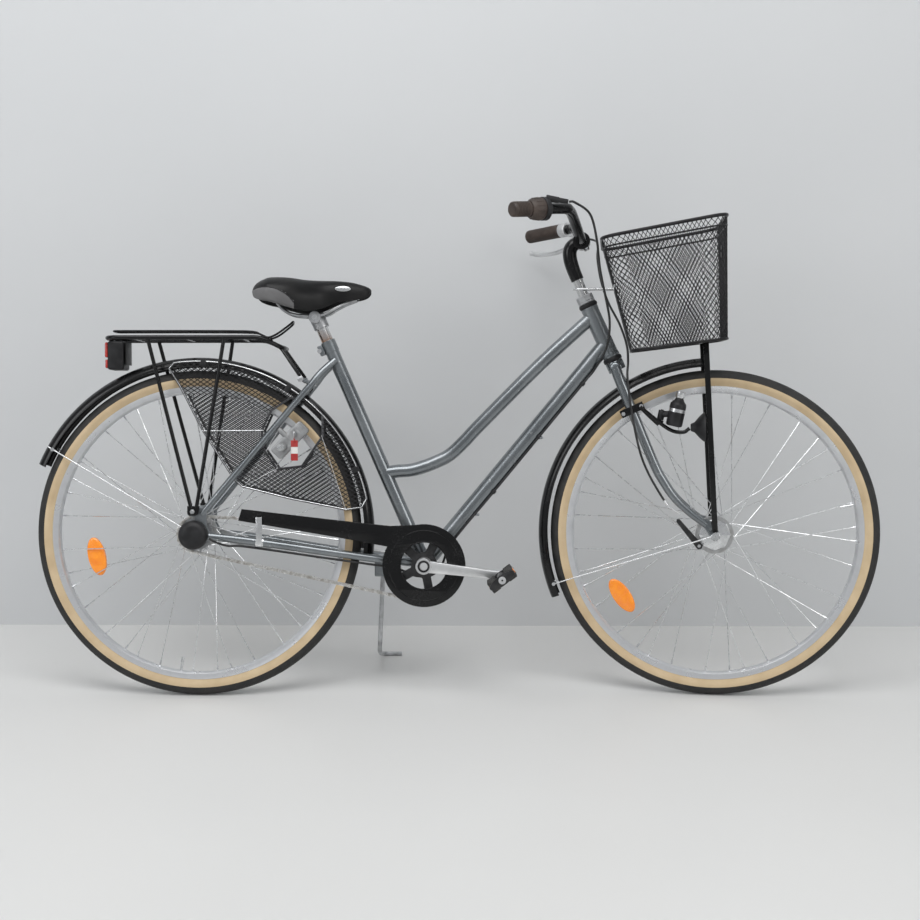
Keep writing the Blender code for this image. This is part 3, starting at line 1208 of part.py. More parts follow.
def make_crank(side):
    tip = crank_tip(side)
    along = (tip - BRACKET).normalized()
    frame = axis_frame(BRACKET + SIDEWAYS * side * CRANK_Y, SIDEWAYS, along)
    outline = [(0.017 * math.cos(math.radians(d)), 0.017 * math.sin(math.radians(d)))
               for d in (60, 100, 140, 180, 220, 260, 300)]
    outline += [(0.030, -0.0125), (CRANK_LENGTH - 0.02, -0.0095)]
    outline += [(CRANK_LENGTH + 0.0115 * math.cos(math.radians(d)), 0.0115 * math.sin(math.radians(d)))
                for d in (-80, -45, 0, 45, 80)]
    outline += [(CRANK_LENGTH - 0.02, 0.0095), (0.030, 0.0125)]
    arm = plate(outline, CRANK_THICKNESS, frame)
    inner = 0.0456 if side < 0 else CRANK_Y - CRANK_THICKNESS / 2 - LEFT_BOSS
    boss = bar(BRACKET + SIDEWAYS * side * inner, BRACKET + SIDEWAYS * side * (CRANK_Y + 0.0075),
               CRANK_BOSS + 0.0004, 16)
    axle = bar(tip + SIDEWAYS * side * (CRANK_Y + 0.001),
               tip + SIDEWAYS * side * (PEDAL_INNER + PEDAL_WIDTH - 0.006), PEDAL_AXLE, 10)
    hollow = bar(BRACKET + SIDEWAYS * side * 0.030, BRACKET + SIDEWAYS * side * (SPINDLE_END + GAP),
                 SPINDLE_RADIUS + GAP, 16)
    return bored(fused(arm, boss, axle), hollow)


def make_pedal(side):
    """A barrel between two end plates, with a ribbed rubber block on each side of it."""
    tip = crank_tip(side)
    turn = Matrix.Rotation(-PEDAL_TILT, 4, "Y")
    middle = Matrix.Translation(tip + SIDEWAYS * side * (PEDAL_INNER + PEDAL_WIDTH / 2)) @ turn
    solids = [bar(tip + SIDEWAYS * side * PEDAL_INNER, tip + SIDEWAYS * side * (PEDAL_INNER + PEDAL_WIDTH),
                  0.0100, 10)]
    for offset in (-0.5, 0.5):
        place = Matrix.Translation((0.0, offset * (PEDAL_WIDTH - 0.004), 0.0))
        solids.append(block((0.0620, 0.0036, 0.0220), middle @ place))
    for offset in (-1, 1):
        place = Matrix.Translation((offset * 0.0205, 0.0, 0.0))
        solids.append(block((0.0190, PEDAL_WIDTH - 0.006, 0.0250), middle @ place))
    hollow = bar(tip + SIDEWAYS * side * (PEDAL_INNER - 0.01),
                 tip + SIDEWAYS * side * (PEDAL_INNER + PEDAL_WIDTH - 0.0055),
                 clear_bore(PEDAL_AXLE, 10), 10)
    return bored(fused(*solids), hollow)


piece("crank_spindle", bar(BRACKET - SIDEWAYS * SPINDLE_END, BRACKET + SIDEWAYS * SPINDLE_END,
                           SPINDLE_RADIUS, 16), ZINC_STEEL, "crank")
piece("crank_right", make_crank(-1), ALUMINIUM, "crank")
piece("crank_left", make_crank(1), ALUMINIUM, "crank")
body("pedal_right", crank_tip(-1), "crank")
body("pedal_left", crank_tip(1), "crank")
piece("pedal_right", make_pedal(-1), BLACK_PLASTIC, "pedal_right")
piece("pedal_left", make_pedal(1), BLACK_PLASTIC, "pedal_left")

# The fork: steerer, crown and two raked blades that end in plates for the front axle
FORK_TIP_Y = 0.0500
FORK_PLATE = 0.0040
BLADE_TOP = 0.0118
BLADE_TIP = 0.0070
STEERER_TOP = 0.5560
RACE_HEIGHT = HEAD_TUBE_BOTTOM - CUP_HEIGHT - 2 * GAP
CROWN_HEIGHT = 0.3915
CROWN_RADIUS = 0.0120
EYE_THICKNESS = 0.0030
STAY_EYE_Y = FORK_TIP_Y + FORK_PLATE / 2 + GAP + EYE_THICKNESS / 2
SUPPORT_EYE_Y = STAY_EYE_Y + EYE_THICKNESS + GAP

BLADE = ((CROWN_HEIGHT, -0.002, 0.0370), (0.350, -0.005, 0.0385), (0.178, -0.0115, 0.0440),
         (0.125, -0.0085, 0.0460), (0.085, -0.0010, 0.0475), (0.045, 0.0150, 0.0490),
         (0.008, 0.0350, 0.0500))


def make_fork():
    thick = [BLADE_TOP, BLADE_TOP, 0.0105, 0.0098, 0.0092, 0.0082, BLADE_TIP]
    axle_height = (FRONT_AXLE - STEER_FOOT).dot(STEER_AXIS)
    steerer = bar(on_steering(0.390), on_steering(STEERER_TOP), STEERER_RADIUS, 12)
    race = bar(on_steering(0.384), on_steering(RACE_HEIGHT), 0.0192, 12)
    crown = rod([on_steering(CROWN_HEIGHT, -0.002, -0.0400), on_steering(CROWN_HEIGHT, -0.001, -0.030),
                 on_steering(CROWN_HEIGHT, -0.001, 0.030), on_steering(CROWN_HEIGHT, -0.002, 0.0400)],
                [0.0105, CROWN_RADIUS, CROWN_RADIUS, 0.0105], 8)
    solids = [steerer, race, crown]
    for side in (1, -1):
        solids.append(rod([on_steering(h, f, side * y) for h, f, y in BLADE], thick, 8))
        frame = axis_frame(on_steering(axle_height, FORK_OFFSET, side * FORK_TIP_Y), SIDEWAYS, STEER_AXIS)
        tip = plate([(0.0456, -0.0118), (0.0300, 0.0060), (0.0060, 0.0105), (-0.0080, 0.0085),
                     (-0.0115, 0.0), (-0.0080, -0.0085), (0.0060, -0.0110), (0.0220, -0.0135),
                     (0.0408, -0.0206)], FORK_PLATE, frame,
                    [disc(clear_bore(AXLE_RADIUS, 8), steps=8)])
        solids.append(tip)
    return fused(*solids)


def make_front_axle():
    """The axle with its nuts, and the brake plate that closes the drum on the right."""
    inner = FORK_TIP_Y - FORK_PLATE / 2 - GAP
    nut = SUPPORT_EYE_Y + EYE_THICKNESS / 2 + GAP
    profile = [(-nut - 0.014, 0.0), (-nut - 0.014, AXLE_RADIUS), (-nut - 0.010, AXLE_RADIUS),
               (-nut - 0.010, 0.0085), (-nut, 0.0100), (-nut, AXLE_RADIUS), (-inner, AXLE_RADIUS),
               (-inner, 0.0095), (-0.0440, 0.0110), (-0.0400, 0.0330), (-0.0364, 0.0350), (-0.0364, 0.0050),
               (0.0374, 0.0050), (0.0374, 0.0095), (inner, 0.0095), (inner, AXLE_RADIUS),
               (nut, AXLE_RADIUS), (nut, 0.0100), (nut + 0.010, 0.0085),
               (nut + 0.010, AXLE_RADIUS), (nut + 0.014, AXLE_RADIUS), (nut + 0.014, 0.0)]
    axle = turned(profile, axis_frame(FRONT_AXLE, SIDEWAYS), 8)
    cam = bar(CAM_PIVOT + SIDEWAYS * 0.008, CAM_PIVOT + SIDEWAYS * 0.0006, 0.0085, 8)
    pin = bar(CAM_PIVOT + SIDEWAYS * 0.002, CAM_PIVOT - SIDEWAYS * 0.0034, CAM_PIN, 8)
    return fused(axle, cam, pin)


CAM_PIVOT = FRONT_AXLE + Vector((-0.0330, -0.0447, -0.0230))
CAM_PIN = 0.0035
CAM_ARM = 0.0740


def make_front_brake_arm():
    frame = axis_frame(CAM_PIVOT - SIDEWAYS * 0.0016, SIDEWAYS, on_steering(0.095, -0.030) - CAM_PIVOT)
    outline = [(0.008 * math.cos(math.radians(d)), 0.008 * math.sin(math.radians(d)))
               for d in (60, 120, 180, 240, 300)]
    outline += [(CAM_ARM - 0.004, -0.0045), (CAM_ARM, 0.0), (CAM_ARM - 0.004, 0.0045)]
    return plate(outline, 0.0024, frame, [disc(CAM_PIN + GAP, steps=8)])


piece("fork", make_fork(), SILVER_PAINT, "steering")
piece("front_axle", make_front_axle(), BRIGHT_STEEL, "steering")
body("front_brake_arm", CAM_PIVOT, "steering")
piece("front_brake_arm", make_front_brake_arm(), BLACK_PAINT, "front_brake_arm")

# The stem and handlebar: a bright quill, a black angled stem and a bar swept back to the grips
BAR_RADIUS = 0.0111
GRIP_RADIUS = 0.0155
GRIP_BORE = clear_bore(BAR_RADIUS, 12)
QUILL_RADIUS = 0.0110
CLAMP_HEIGHT = 0.6680
CLAMP_FORWARD = 0.0440
SWEEP = ((0.000, 0.972, 0.000), (-0.001, 0.974, 0.045), (-0.006, 0.986, 0.090), (-0.013, 1.005, 0.130),
         (-0.018, 1.016, 0.163), (-0.0235, 1.0195, 0.185), (-0.0335, 1.0190, 0.2095),
         (-0.128, 1.0100, 0.290))


def bar_points(side):
    """The handlebar's middle line from the clamp to one end."""
    clamp = on_steering(CLAMP_HEIGHT, CLAMP_FORWARD)
    rise = clamp.z - SWEEP[0][1]
    return [Vector((clamp.x + x, side * y, z + rise)) for x, z, y in SWEEP]


def grip_line(side, start, end):
    """Two places on the handlebar's last straight stretch, by distance in from its end."""
    tip, before = bar_points(side)[-1], bar_points(side)[-2]
    along = (before - tip).normalized()
    return tip + along * start, tip + along * end


def sleeve(side, start, end, profile, sides=12):
    """A turned sleeve round the handlebar between two distances from its end."""
    first, last = grip_line(side, start, end)
    length = (last - first).length
    outside = [(share * length, radius) for share, radius in profile]
    shape = [(0.0, GRIP_BORE), *outside, (length, GRIP_BORE)]
    return turned(shape, axis_frame(first, last - first), sides, True)


def make_stem():
    """Quill, lock nut and clamp; the quill's lower end stops on top of the steerer."""
    nut = bar(on_steering(HEAD_TUBE_TOP + CUP_HEIGHT + 2 * GAP), on_steering(STEERER_TOP + 0.004), 0.0185, 8)
    quill = bar(on_steering(STEERER_TOP - 0.012), on_steering(0.610, 0.003), QUILL_RADIUS, 12)
    arm = rod([on_steering(0.596, 0.002), on_steering(0.645, 0.006), on_steering(0.667, 0.018),
               on_steering(CLAMP_HEIGHT + 0.001, CLAMP_FORWARD - 0.008)],
              [0.0145, 0.0152, 0.0150, 0.0140], 8)
    clamp_at = on_steering(CLAMP_HEIGHT, CLAMP_FORWARD)
    clamp = bar(clamp_at - SIDEWAYS * 0.020, clamp_at + SIDEWAYS * 0.020, 0.0185, 12)
    bore = bar(clamp_at - SIDEWAYS * 0.03, clamp_at + SIDEWAYS * 0.03, clear_bore(BAR_RADIUS, 8), 8)
    socket = bar(on_steering(STEERER_TOP - 0.060), on_steering(STEERER_TOP + GAP), STEERER_RADIUS + GAP, 12)
    return bored(fused(nut, quill, arm, clamp), bore, socket)


def make_handlebar():
    right, left = bar_points(-1), bar_points(1)
    flat = [right[0] - SIDEWAYS * 0.022, right[0] + SIDEWAYS * 0.022]
    return rod(right[:0:-1] + flat + left[1:], BAR_RADIUS, 8)


piece("stem", make_stem(), BLACK_PAINT, "steering")
piece("handlebar", make_handlebar(), BLACK_PAINT, "steering")

# Grips, twist shifter and brake lever
GRIP_END = ((0.0, 0.0120), (0.04, GRIP_RADIUS), (0.96, GRIP_RADIUS))
SHIFT_START, SHIFT_END = 0.0400, 0.0700
HOUSING_END = 0.0860
LEVER_SHEET = 0.0080

twist_a, twist_b = grip_line(-1, SHIFT_START, SHIFT_END)
body("twist_grip", twist_a, "steering")
piece("grip_right", sleeve(-1, -0.0030 + GAP, SHIFT_START - GAP, GRIP_END), GRIP_RUBBER, "steering")
piece("twist_grip", sleeve(-1, SHIFT_START, SHIFT_END,
                           ((0.0, 0.0170), (0.25, 0.0215), (0.80, 0.0235), (1.0, 0.0220))),
      GRIP_RUBBER, "twist_grip")


def shifter_spout():
    """The two ends of the housing's spout, out of which the gear cable comes."""
    middle = grip_line(-1, SHIFT_END + 0.008, HOUSING_END)[0]
    return middle + Vector((0.004, -0.004, 0.0200)), middle + Vector((0.047, 0.004, 0.0140))


def make_shifter_housing():
    ring = sleeve(-1, SHIFT_END + GAP, HOUSING_END, ((0.0, 0.0235), (0.7, 0.0235), (1.0, 0.0170)))
    return fused(ring, bar(*shifter_spout(), 0.0075, 8, 0.0045))


def make_brake_bracket():
    ring = sleeve(1, LEVER_AT - 0.010, LEVER_AT + 0.010, ((0.0, 0.0165), (1.0, 0.0165)), 10)
    horn = bar(HORN_START, HORN_END, 0.0085, 8)
    return fused(ring, horn)


def make_brake_lever():
    start = LEVER_PIVOT
    knots = [start, start + Vector((-0.010, 0.014, -0.016)), start + Vector((-0.042, 0.046, -0.026)),
             start + Vector((-0.080, 0.077, -0.027)), start + Vector((-0.100, 0.0930, -0.022))]
    return rod(knots, [0.0065, 0.0060, 0.0055, 0.0055, 0.0060], 8)


LEVER_AT = 0.1110
LEVER_ROOT, INWARD = grip_line(1, LEVER_AT, LEVER_AT + 1.0)
LEVER_OUT = Vector((INWARD - LEVER_ROOT).cross((0.0, 0.0, -1.0))).normalized()
LIFT = Vector((0.0, 0.0, 1.0))
HORN_START = LEVER_ROOT + LEVER_OUT * 0.0150 - LIFT * 0.0040
HORN_END = LEVER_ROOT + LEVER_OUT * 0.0320 - LIFT * 0.0100
HORN_WAY = (HORN_END - HORN_START).normalized()
LEVER_PIVOT = HORN_END - LEVER_OUT * 0.0060 - LIFT * 0.0112
LEVER_AXIS = Vector((0.10, 0.12, 1.0)).normalized()
body("brake_lever", LEVER_PIVOT, "steering")
piece("shifter_housing", make_shifter_housing(), BLACK_PLASTIC, "steering")
piece("grip_left", sleeve(1, -0.0030 + GAP, 0.1000, GRIP_END), GRIP_RUBBER, "steering")
piece("brake_lever_bracket", make_brake_bracket(), ALUMINIUM, "steering")
piece("brake_lever", make_brake_lever(), ALUMINIUM, "brake_lever")

# The front mudguard, the wire basket and the flat bars that carry it on the front axle
STAY_WIRE = 0.0014
STAY_HOLD = 198.0


def axle_eye(place):
    """A flat ring that is held on the front axle under its nut."""
    bore = clear_bore(AXLE_RADIUS, 8)
    half = EYE_THICKNESS / 2
    ring = [(-half, bore), (-half, 0.0095), (half, 0.0095), (half, bore)]
    return turned(ring, axis_frame(place, SIDEWAYS), 8, True)


def make_front_mudguard():
    """The strip, the spacer under the fork crown, and the wire stay that runs down to the axle."""
    crown = on_steering(CROWN_HEIGHT, -0.001)
    inward = (FRONT_AXLE - crown).normalized()
    reach = (FRONT_AXLE - crown).length - crown_radius(FRONT_GUARD_RADIUS, FRONT_GUARD_DEPTH)
    solids = [rolled_guard(FRONT_AXLE, FRONT_GUARD_RADIUS, FRONT_GUARD_DEPTH, 202.4, 92.2, 15),
              bar(crown + inward * (CROWN_RADIUS + GAP), crown + inward * reach, 0.0070, 8)]
    edge = FRONT_GUARD_RADIUS - FRONT_GUARD_DEPTH + 0.0030
    for side in (1, -1):
        eye = FRONT_AXLE + SIDEWAYS * side * STAY_EYE_Y
        wire = [around(eye, 0.0072, STAY_HOLD), around(eye, 0.0600, STAY_HOLD),
                around(FRONT_AXLE, edge, STAY_HOLD, side * (MUDGUARD_HALF_WIDTH - 0.0016)),
                around(FRONT_AXLE, edge + 0.006, STAY_HOLD, side * (MUDGUARD_HALF_WIDTH - 0.0046))]
        solids.append(rod(wire, STAY_WIRE, 6))
        solids.append(axle_eye(eye))
    return fused(*solids)


piece("front_mudguard", make_front_mudguard(), BLACK_PAINT, "steering")

BASKET_SHEET = 0.0020
BASKET_BORDER = 0.0055
BASKET_CELL = (0.086, 0.066)
BASKET_STRAND = 0.0048
BASKET_REAR_TOP = Vector((0.8675, 0.0, 0.9720))
BASKET_REAR_FOOT = Vector((0.9300, 0.0, 0.7390))
BASKET_FRONT_TOP = Vector((1.1215, 0.0, 1.0170))
BASKET_FRONT_FOOT = Vector((1.1270, 0.0, 0.7630))
BASKET_TOP_HALF = 0.165
BASKET_FOOT_HALF = 0.125
REAR_CLEARANCE = BASKET_SHEET / 2 + 2 * GAP
FRONT_CLEARANCE = BASKET_SHEET / 2 + 8 * GAP
FLOOR_INSET = 0.0026
FLOOR_RISE = 0.0035
FLOOR_SLOPE = -math.atan2(BASKET_FRONT_FOOT.z - BASKET_REAR_FOOT.z, BASKET_FRONT_FOOT.x - BASKET_REAR_FOOT.x)
HOOK_HEIGHT = 0.5750
HOOK_WIRE = 0.0022


def net_panel(corners):
    """A flat net between four corners, laid so that its sheet is centred on them."""
    a, b, c, d = corners
    u = (b - a).normalized()
    normal = u.cross(d - a).normalized()
    frame = axis_frame(a, normal, u)
    flat = [tuple((frame.inverted() @ p)[:2]) for p in corners]
    holes = net_holes(flat, [], BASKET_CELL, BASKET_STRAND, BASKET_BORDER)
    return plate(flat, BASKET_SHEET, frame, holes)


def basket_corners(side):
    """The four corners of one side of the basket: rear top, front top, front foot, rear foot."""
    return [BASKET_REAR_TOP + SIDEWAYS * side * BASKET_TOP_HALF,
            BASKET_FRONT_TOP + SIDEWAYS * side * BASKET_TOP_HALF,
            BASKET_FRONT_FOOT + SIDEWAYS * side * BASKET_FOOT_HALF,
            BASKET_REAR_FOOT + SIDEWAYS * side * BASKET_FOOT_HALF]


def shrunk(corners, along, up):
    """A panel's corners drawn in sideways and up from their neighbours by a clearance."""
    a, b, c, d = corners
    side_top, side_foot = (b - a).normalized(), (c - d).normalized()
    rise_left, rise_right = (a - d).normalized(), (b - c).normalized()
    return [a + side_top * along, b - side_top * along, c - side_foot * along + rise_right * up,
            d + side_foot * along + rise_left * up]


def basket_wall(end, clearance):
    """The rear (0) or front (1) wall's corners, drawn in from the two long walls."""
    right, left = basket_corners(-1), basket_corners(1)
    return shrunk([right[end], left[end], left[3 - end], right[3 - end]], clearance, 0.0)


def basket_floor():
    """The floor's corners, drawn in from the four walls and raised on them."""
    right, left = basket_corners(-1), basket_corners(1)
    return [right[3] + Vector((FLOOR_INSET, FLOOR_INSET, FLOOR_RISE)),
            right[2] + Vector((-FLOOR_INSET, FLOOR_INSET, FLOOR_RISE)),
            left[2] + Vector((-FLOOR_INSET, -FLOOR_INSET, FLOOR_RISE)),
            left[3] + Vector((FLOOR_INSET, -FLOOR_INSET, FLOOR_RISE))]


def make_basket_rear():
    """The rear wall with the wire hook that holds it to the stem's quill."""
    half = QUILL_RADIUS + HOOK_WIRE + GAP
    quill = on_steering(HOOK_HEIGHT, 0.001)
    share = (BASKET_REAR_TOP.z - quill.z) / (BASKET_REAR_TOP.z - BASKET_REAR_FOOT.z)
    wall = BASKET_REAR_TOP.lerp(BASKET_REAR_FOOT, share)
    side = [wall + SIDEWAYS * 0.0240, point(quill.x + 0.020, quill.z, half + 0.001),
            point(quill.x, quill.z, half + 0.0006), point(quill.x - 0.012, quill.z, half - 0.003),
            point(quill.x - half - 0.003, quill.z, 0.004)]
    loop = side + [Vector((p.x, -p.y, p.z)) for p in reversed(side)]
    cross = bar(wall - SIDEWAYS * 0.145, wall + SIDEWAYS * 0.145, HOOK_WIRE, 6)
    return fused(net_panel(basket_wall(0, REAR_CLEARANCE)), rod(loop, HOOK_WIRE, 6), cross)


piece("basket_right", net_panel(basket_corners(-1)), BLACK_PAINT, "steering")
piece("basket_left", net_panel(basket_corners(1)), BLACK_PAINT, "steering")
piece("basket_rear", make_basket_rear(), BLACK_PAINT, "steering")
piece("basket_front", net_panel(basket_wall(1, FRONT_CLEARANCE)), BLACK_PAINT, "steering")
piece("basket_floor", net_panel(basket_floor()), BLACK_PAINT, "steering")

# What carries the basket: two flat bars down to the front axle, and a wire bracket to the stem
SUPPORT_X = 1.0850
SUPPORT_Y = 0.0600
SUPPORT_FLAT = (0.0120, 0.0030)


def make_basket_support():
    """Flat bars with eyes on the axle, joined under the basket by a cross plate."""
    solids = []
    floor_z = BASKET_REAR_FOOT.z + FLOOR_RISE - math.tan(FLOOR_SLOPE) * (SUPPORT_X - BASKET_REAR_FOOT.x)
    plate_z = floor_z - BASKET_SHEET / 2 - SUPPORT_FLAT[1] / 2 - 1.5 * GAP
    for side in (1, -1):
        foot = FRONT_AXLE + SIDEWAYS * side * SUPPORT_EYE_Y
        top = point(SUPPORT_X, plate_z - 0.0005, side * SUPPORT_Y)
        rise = (top - foot).normalized()
        solids.append(block((*SUPPORT_FLAT, (top - foot).length - 0.0072),
                            axis_frame((top + foot + rise * 0.0072) / 2, rise, (1, 0, 0))))
        solids.append(axle_eye(foot))
    bar_place = Matrix.Translation((SUPPORT_X, 0.0, plate_z)) @ Matrix.Rotation(FLOOR_SLOPE, 4, "Y")
    solids.append(block((0.0160, 2 * SUPPORT_Y + 0.016, 0.0030), bar_place))
    return fused(*solids)


piece("basket_support", make_basket_support(), BLACK_PAINT, "steering")

# The lamps: a bracket clamped round the right fork blade carries the bottle dynamo and the headlamp
DYNAMO_AXIS = Vector((0.21, 0.0, 0.98)).normalized()
DYNAMO_PIVOT = point(0.9930, 0.6050, -0.0480)
DYNAMO_PIN = 0.0030
BOTTLE_RADIUS = 0.0175


def make_dynamo_bracket():
    """A strap on both sides of the blade, with arms ahead to the dynamo's hinge and the lamp."""
    height, forward = 0.2950, -0.0065
    blade_y = -0.0402
    solids = []
    for y in (blade_y - 0.0133, blade_y + 0.0133):
        solids.append(block((0.052, 0.0024, 0.016), axis_frame(on_steering(height, forward, y), STEER_AXIS,
                                                               (1, 0, 0.3))))
    for f in (-0.0205, 0.0205):
        solids.append(bar(on_steering(height, forward + f, blade_y - 0.0190),
                          on_steering(height, forward + f, blade_y + 0.0190), 0.0045, 6))
    outer = on_steering(height, forward + 0.018, blade_y - 0.0165)
    solids.append(bar(outer, DYNAMO_PIVOT + Vector((-0.0050, -0.0020, -0.0195)), 0.0048, 6))
    solids.append(bar(DYNAMO_PIVOT - DYNAMO_AXIS * 0.020, DYNAMO_PIVOT - DYNAMO_AXIS * 0.011, 0.0080, 8))
    solids.append(bar(DYNAMO_PIVOT - DYNAMO_AXIS * 0.012, DYNAMO_PIVOT + DYNAMO_AXIS * 0.012, DYNAMO_PIN, 8))
    lamp_arm = [outer + Vector((0.006, 0.0, -0.006)), point(1.0080, 0.5760, -0.0590),
                point(1.0380, 0.5690, -0.0590), point(1.0520, 0.5770, -0.0570)]
    solids.append(rod(lamp_arm, 0.0042, 6))
    return fused(*solids)


def make_headlamp():
    """A cone with an open mouth, turned in one piece with its back."""
    start = point(1.0545, 0.5790, -0.0570)
    profile = [(0.0, 0.0), (0.0, 0.0080), (0.008, 0.0110), (0.026, 0.0300), (0.030, 0.0310),
               (0.030, 0.0290), (0.026, 0.0280), (0.012, 0.0100), (0.010, 0.0)]
    return turned(profile, axis_frame(start, (1.0, 0.0, 0.02)), 14)


def make_dynamo():
    """The bottle with its neck and roller, on a lug that turns about the hinge pin."""
    centre = DYNAMO_PIVOT + Vector((0.0330, -0.0120, 0.0100))
    profile = [(-0.034, 0.0), (-0.034, BOTTLE_RADIUS - 0.003), (-0.030, BOTTLE_RADIUS),
               (0.014, BOTTLE_RADIUS), (0.020, 0.011), (0.026, 0.0075), (0.0270, 0.0100), (0.0400, 0.0100),
               (0.0400, 0.0)]
    bottle = turned(profile, axis_frame(centre, DYNAMO_AXIS), 12)
    lug = bar(DYNAMO_PIVOT, centre - DYNAMO_AXIS * 0.006, 0.0070, 8)
    knuckle = bar(DYNAMO_PIVOT - DYNAMO_AXIS * 0.0105, DYNAMO_PIVOT + DYNAMO_AXIS * 0.0105, 0.0072, 8)
    hollow = bar(DYNAMO_PIVOT - DYNAMO_AXIS * 0.0300, DYNAMO_PIVOT + DYNAMO_AXIS * 0.0150,
                 DYNAMO_PIN + GAP, 8)
    return bored(fused(bottle, lug, knuckle), hollow)


body("dynamo", DYNAMO_PIVOT, "steering")
piece("dynamo_bracket", make_dynamo_bracket(), BLACK_PAINT, "steering")
piece("headlamp", make_headlamp(), BLACK_PLASTIC, "steering")
piece("dynamo", make_dynamo(), BLACK_PLASTIC, "dynamo")

# Cables: the brake cable follows the fork, the gear cable crosses from the handlebar to the frame
CABLE_RADIUS = 0.0025
CABLE_RUN_Y = -0.0120


def under_tube(share, y=CABLE_RUN_Y):
    """A place on a cable clipped along the underside of the down tube, by its share of the way up."""
    along = DOWN_TUBE_TOP - BRACKET
    below = Vector((along.z, 0.0, -along.x)).normalized()
    clear = DOWN_TUBE_RADIUS + CABLE_RADIUS + GAP
    return BRACKET + along * share + below * math.sqrt(clear ** 2 - y ** 2) + SIDEWAYS * y


def held(place):
    """Where on the straight handlebar's side a place lies that the frame holds when it is parked."""
    pivot = on_steering(HEAD_TUBE_BOTTOM)
    return pivot + Matrix.Rotation(-PARKED_STEERING, 3, STEER_AXIS) @ (place - pivot)


SPOUT_START, SPOUT_END = shifter_spout()
SPOUT_WAY = (SPOUT_END - SPOUT_START).normalized()
GEAR_LOOP = [SPOUT_END + SPOUT_WAY * 0.0018, SPOUT_END + SPOUT_WAY * 0.0140,
             point(0.8440, 1.0150, -0.1800), point(0.8570, 0.9700, -0.1500), point(0.8640, 0.9100, -0.1150),
             point(0.8750, 0.8550, -0.0850), point(0.8840, 0.8050, -0.0600), point(0.8810, 0.7620, -0.0440),
             held(point(0.8670, 0.7300, -0.0320)), held(under_tube(0.900)), held(under_tube(0.870))]
GEAR_RUN = [under_tube(0.8685), under_tube(0.840), under_tube(0.600), under_tube(0.350), under_tube(0.120),
            point(0.5240, 0.2840, -0.0120), point(0.5020, 0.2600, -0.0150), point(0.4700, 0.2580, -0.0190),
            point(0.4400, 0.2700, -0.0230), point(0.4120, 0.2785, -0.0265), point(0.3760, 0.2838, -0.0325),
            point(0.3350, 0.2900, -0.0355), point(0.2700, 0.2995, -0.0415), point(0.1900, 0.3120, -0.0500),
            point(0.1000, 0.3250, -0.0575), point(0.0700, 0.3265, -0.0640), point(0.0480, 0.3350, -0.0790),
            point(0.0340, 0.3430, -0.0810)]
BRAKE_RUN = [HORN_END + HORN_WAY * 0.0018, HORN_END + HORN_WAY * 0.0120, point(0.8460, 1.0000, 0.2350),
             point(0.8560, 0.9850, 0.1900), point(0.8560, 0.9500, 0.1400), point(0.8640, 0.9000, 0.1050),
             point(0.8800, 0.8500, 0.0700), point(0.9050, 0.8000, 0.0300), point(0.9200, 0.7550, -0.0200),
             point(0.9230, 0.7200, -0.0560), point(0.9220, 0.6800, -0.0660), point(0.9330, 0.6000, -0.0660),
             point(0.9480, 0.5300, -0.0620), point(0.9650, 0.4850, -0.0570), point(0.9870, 0.4450, -0.0520),
             point(1.0080, 0.4120, -0.0475)]


piece("gear_cable_loop", rod(smooth_path(GEAR_LOOP, 2), CABLE_RADIUS, 6), BLACK_PLASTIC, "steering")
piece("gear_cable", rod(smooth_path(GEAR_RUN, 2), CABLE_RADIUS, 6), BLACK_PLASTIC, "frame")
piece("brake_cable", rod(smooth_path(BRAKE_RUN, 2), CABLE_RADIUS, 6), BLACK_PLASTIC, "steering")

# The parked bicycle: the handlebar turns, the frame leans, and both tyres come down on their flats


def settle(name):
    """Turn a wheel on its axle until one pair of flats faces straight down."""
    wheel = BODIES[name]
    turn = wheel.matrix_world.to_3x3()
    axle = turn @ SIDEWAYS
    down = Vector((0.0, 0.0, -1.0))
    flat = (down - axle * down.dot(axle)).normalized()
    spoke = turn @ Vector((0.0, 0.0, -1.0))
    wheel.rotation_euler.y += math.atan2(spoke.cross(flat).dot(axle), spoke.dot(flat))


def park():
    """Turn the handlebar, lean the whole bicycle and set both wheels on their flats."""
    steering, root = BODIES["steering"], BODIES["frame"]
    steering.rotation_mode = root.rotation_mode = "QUATERNION"
    steering.rotation_quaternion = Matrix.Rotation(PARKED_STEERING, 4, STEER_AXIS).to_quaternion()
    pose = parked_pose() @ Matrix.Translation(REAR_AXLE)
    root.rotation_quaternion = pose.to_quaternion()
    root.location = pose.to_translation()
    bpy.context.view_layer.update()
    settle("rear_wheel")
    settle("front_wheel")
    bpy.context.view_layer.update()


park()
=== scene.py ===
"""The looks of a parked city bicycle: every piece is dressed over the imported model, in its frame."""
import json
import math

import bpy
from mathutils import Matrix, Vector

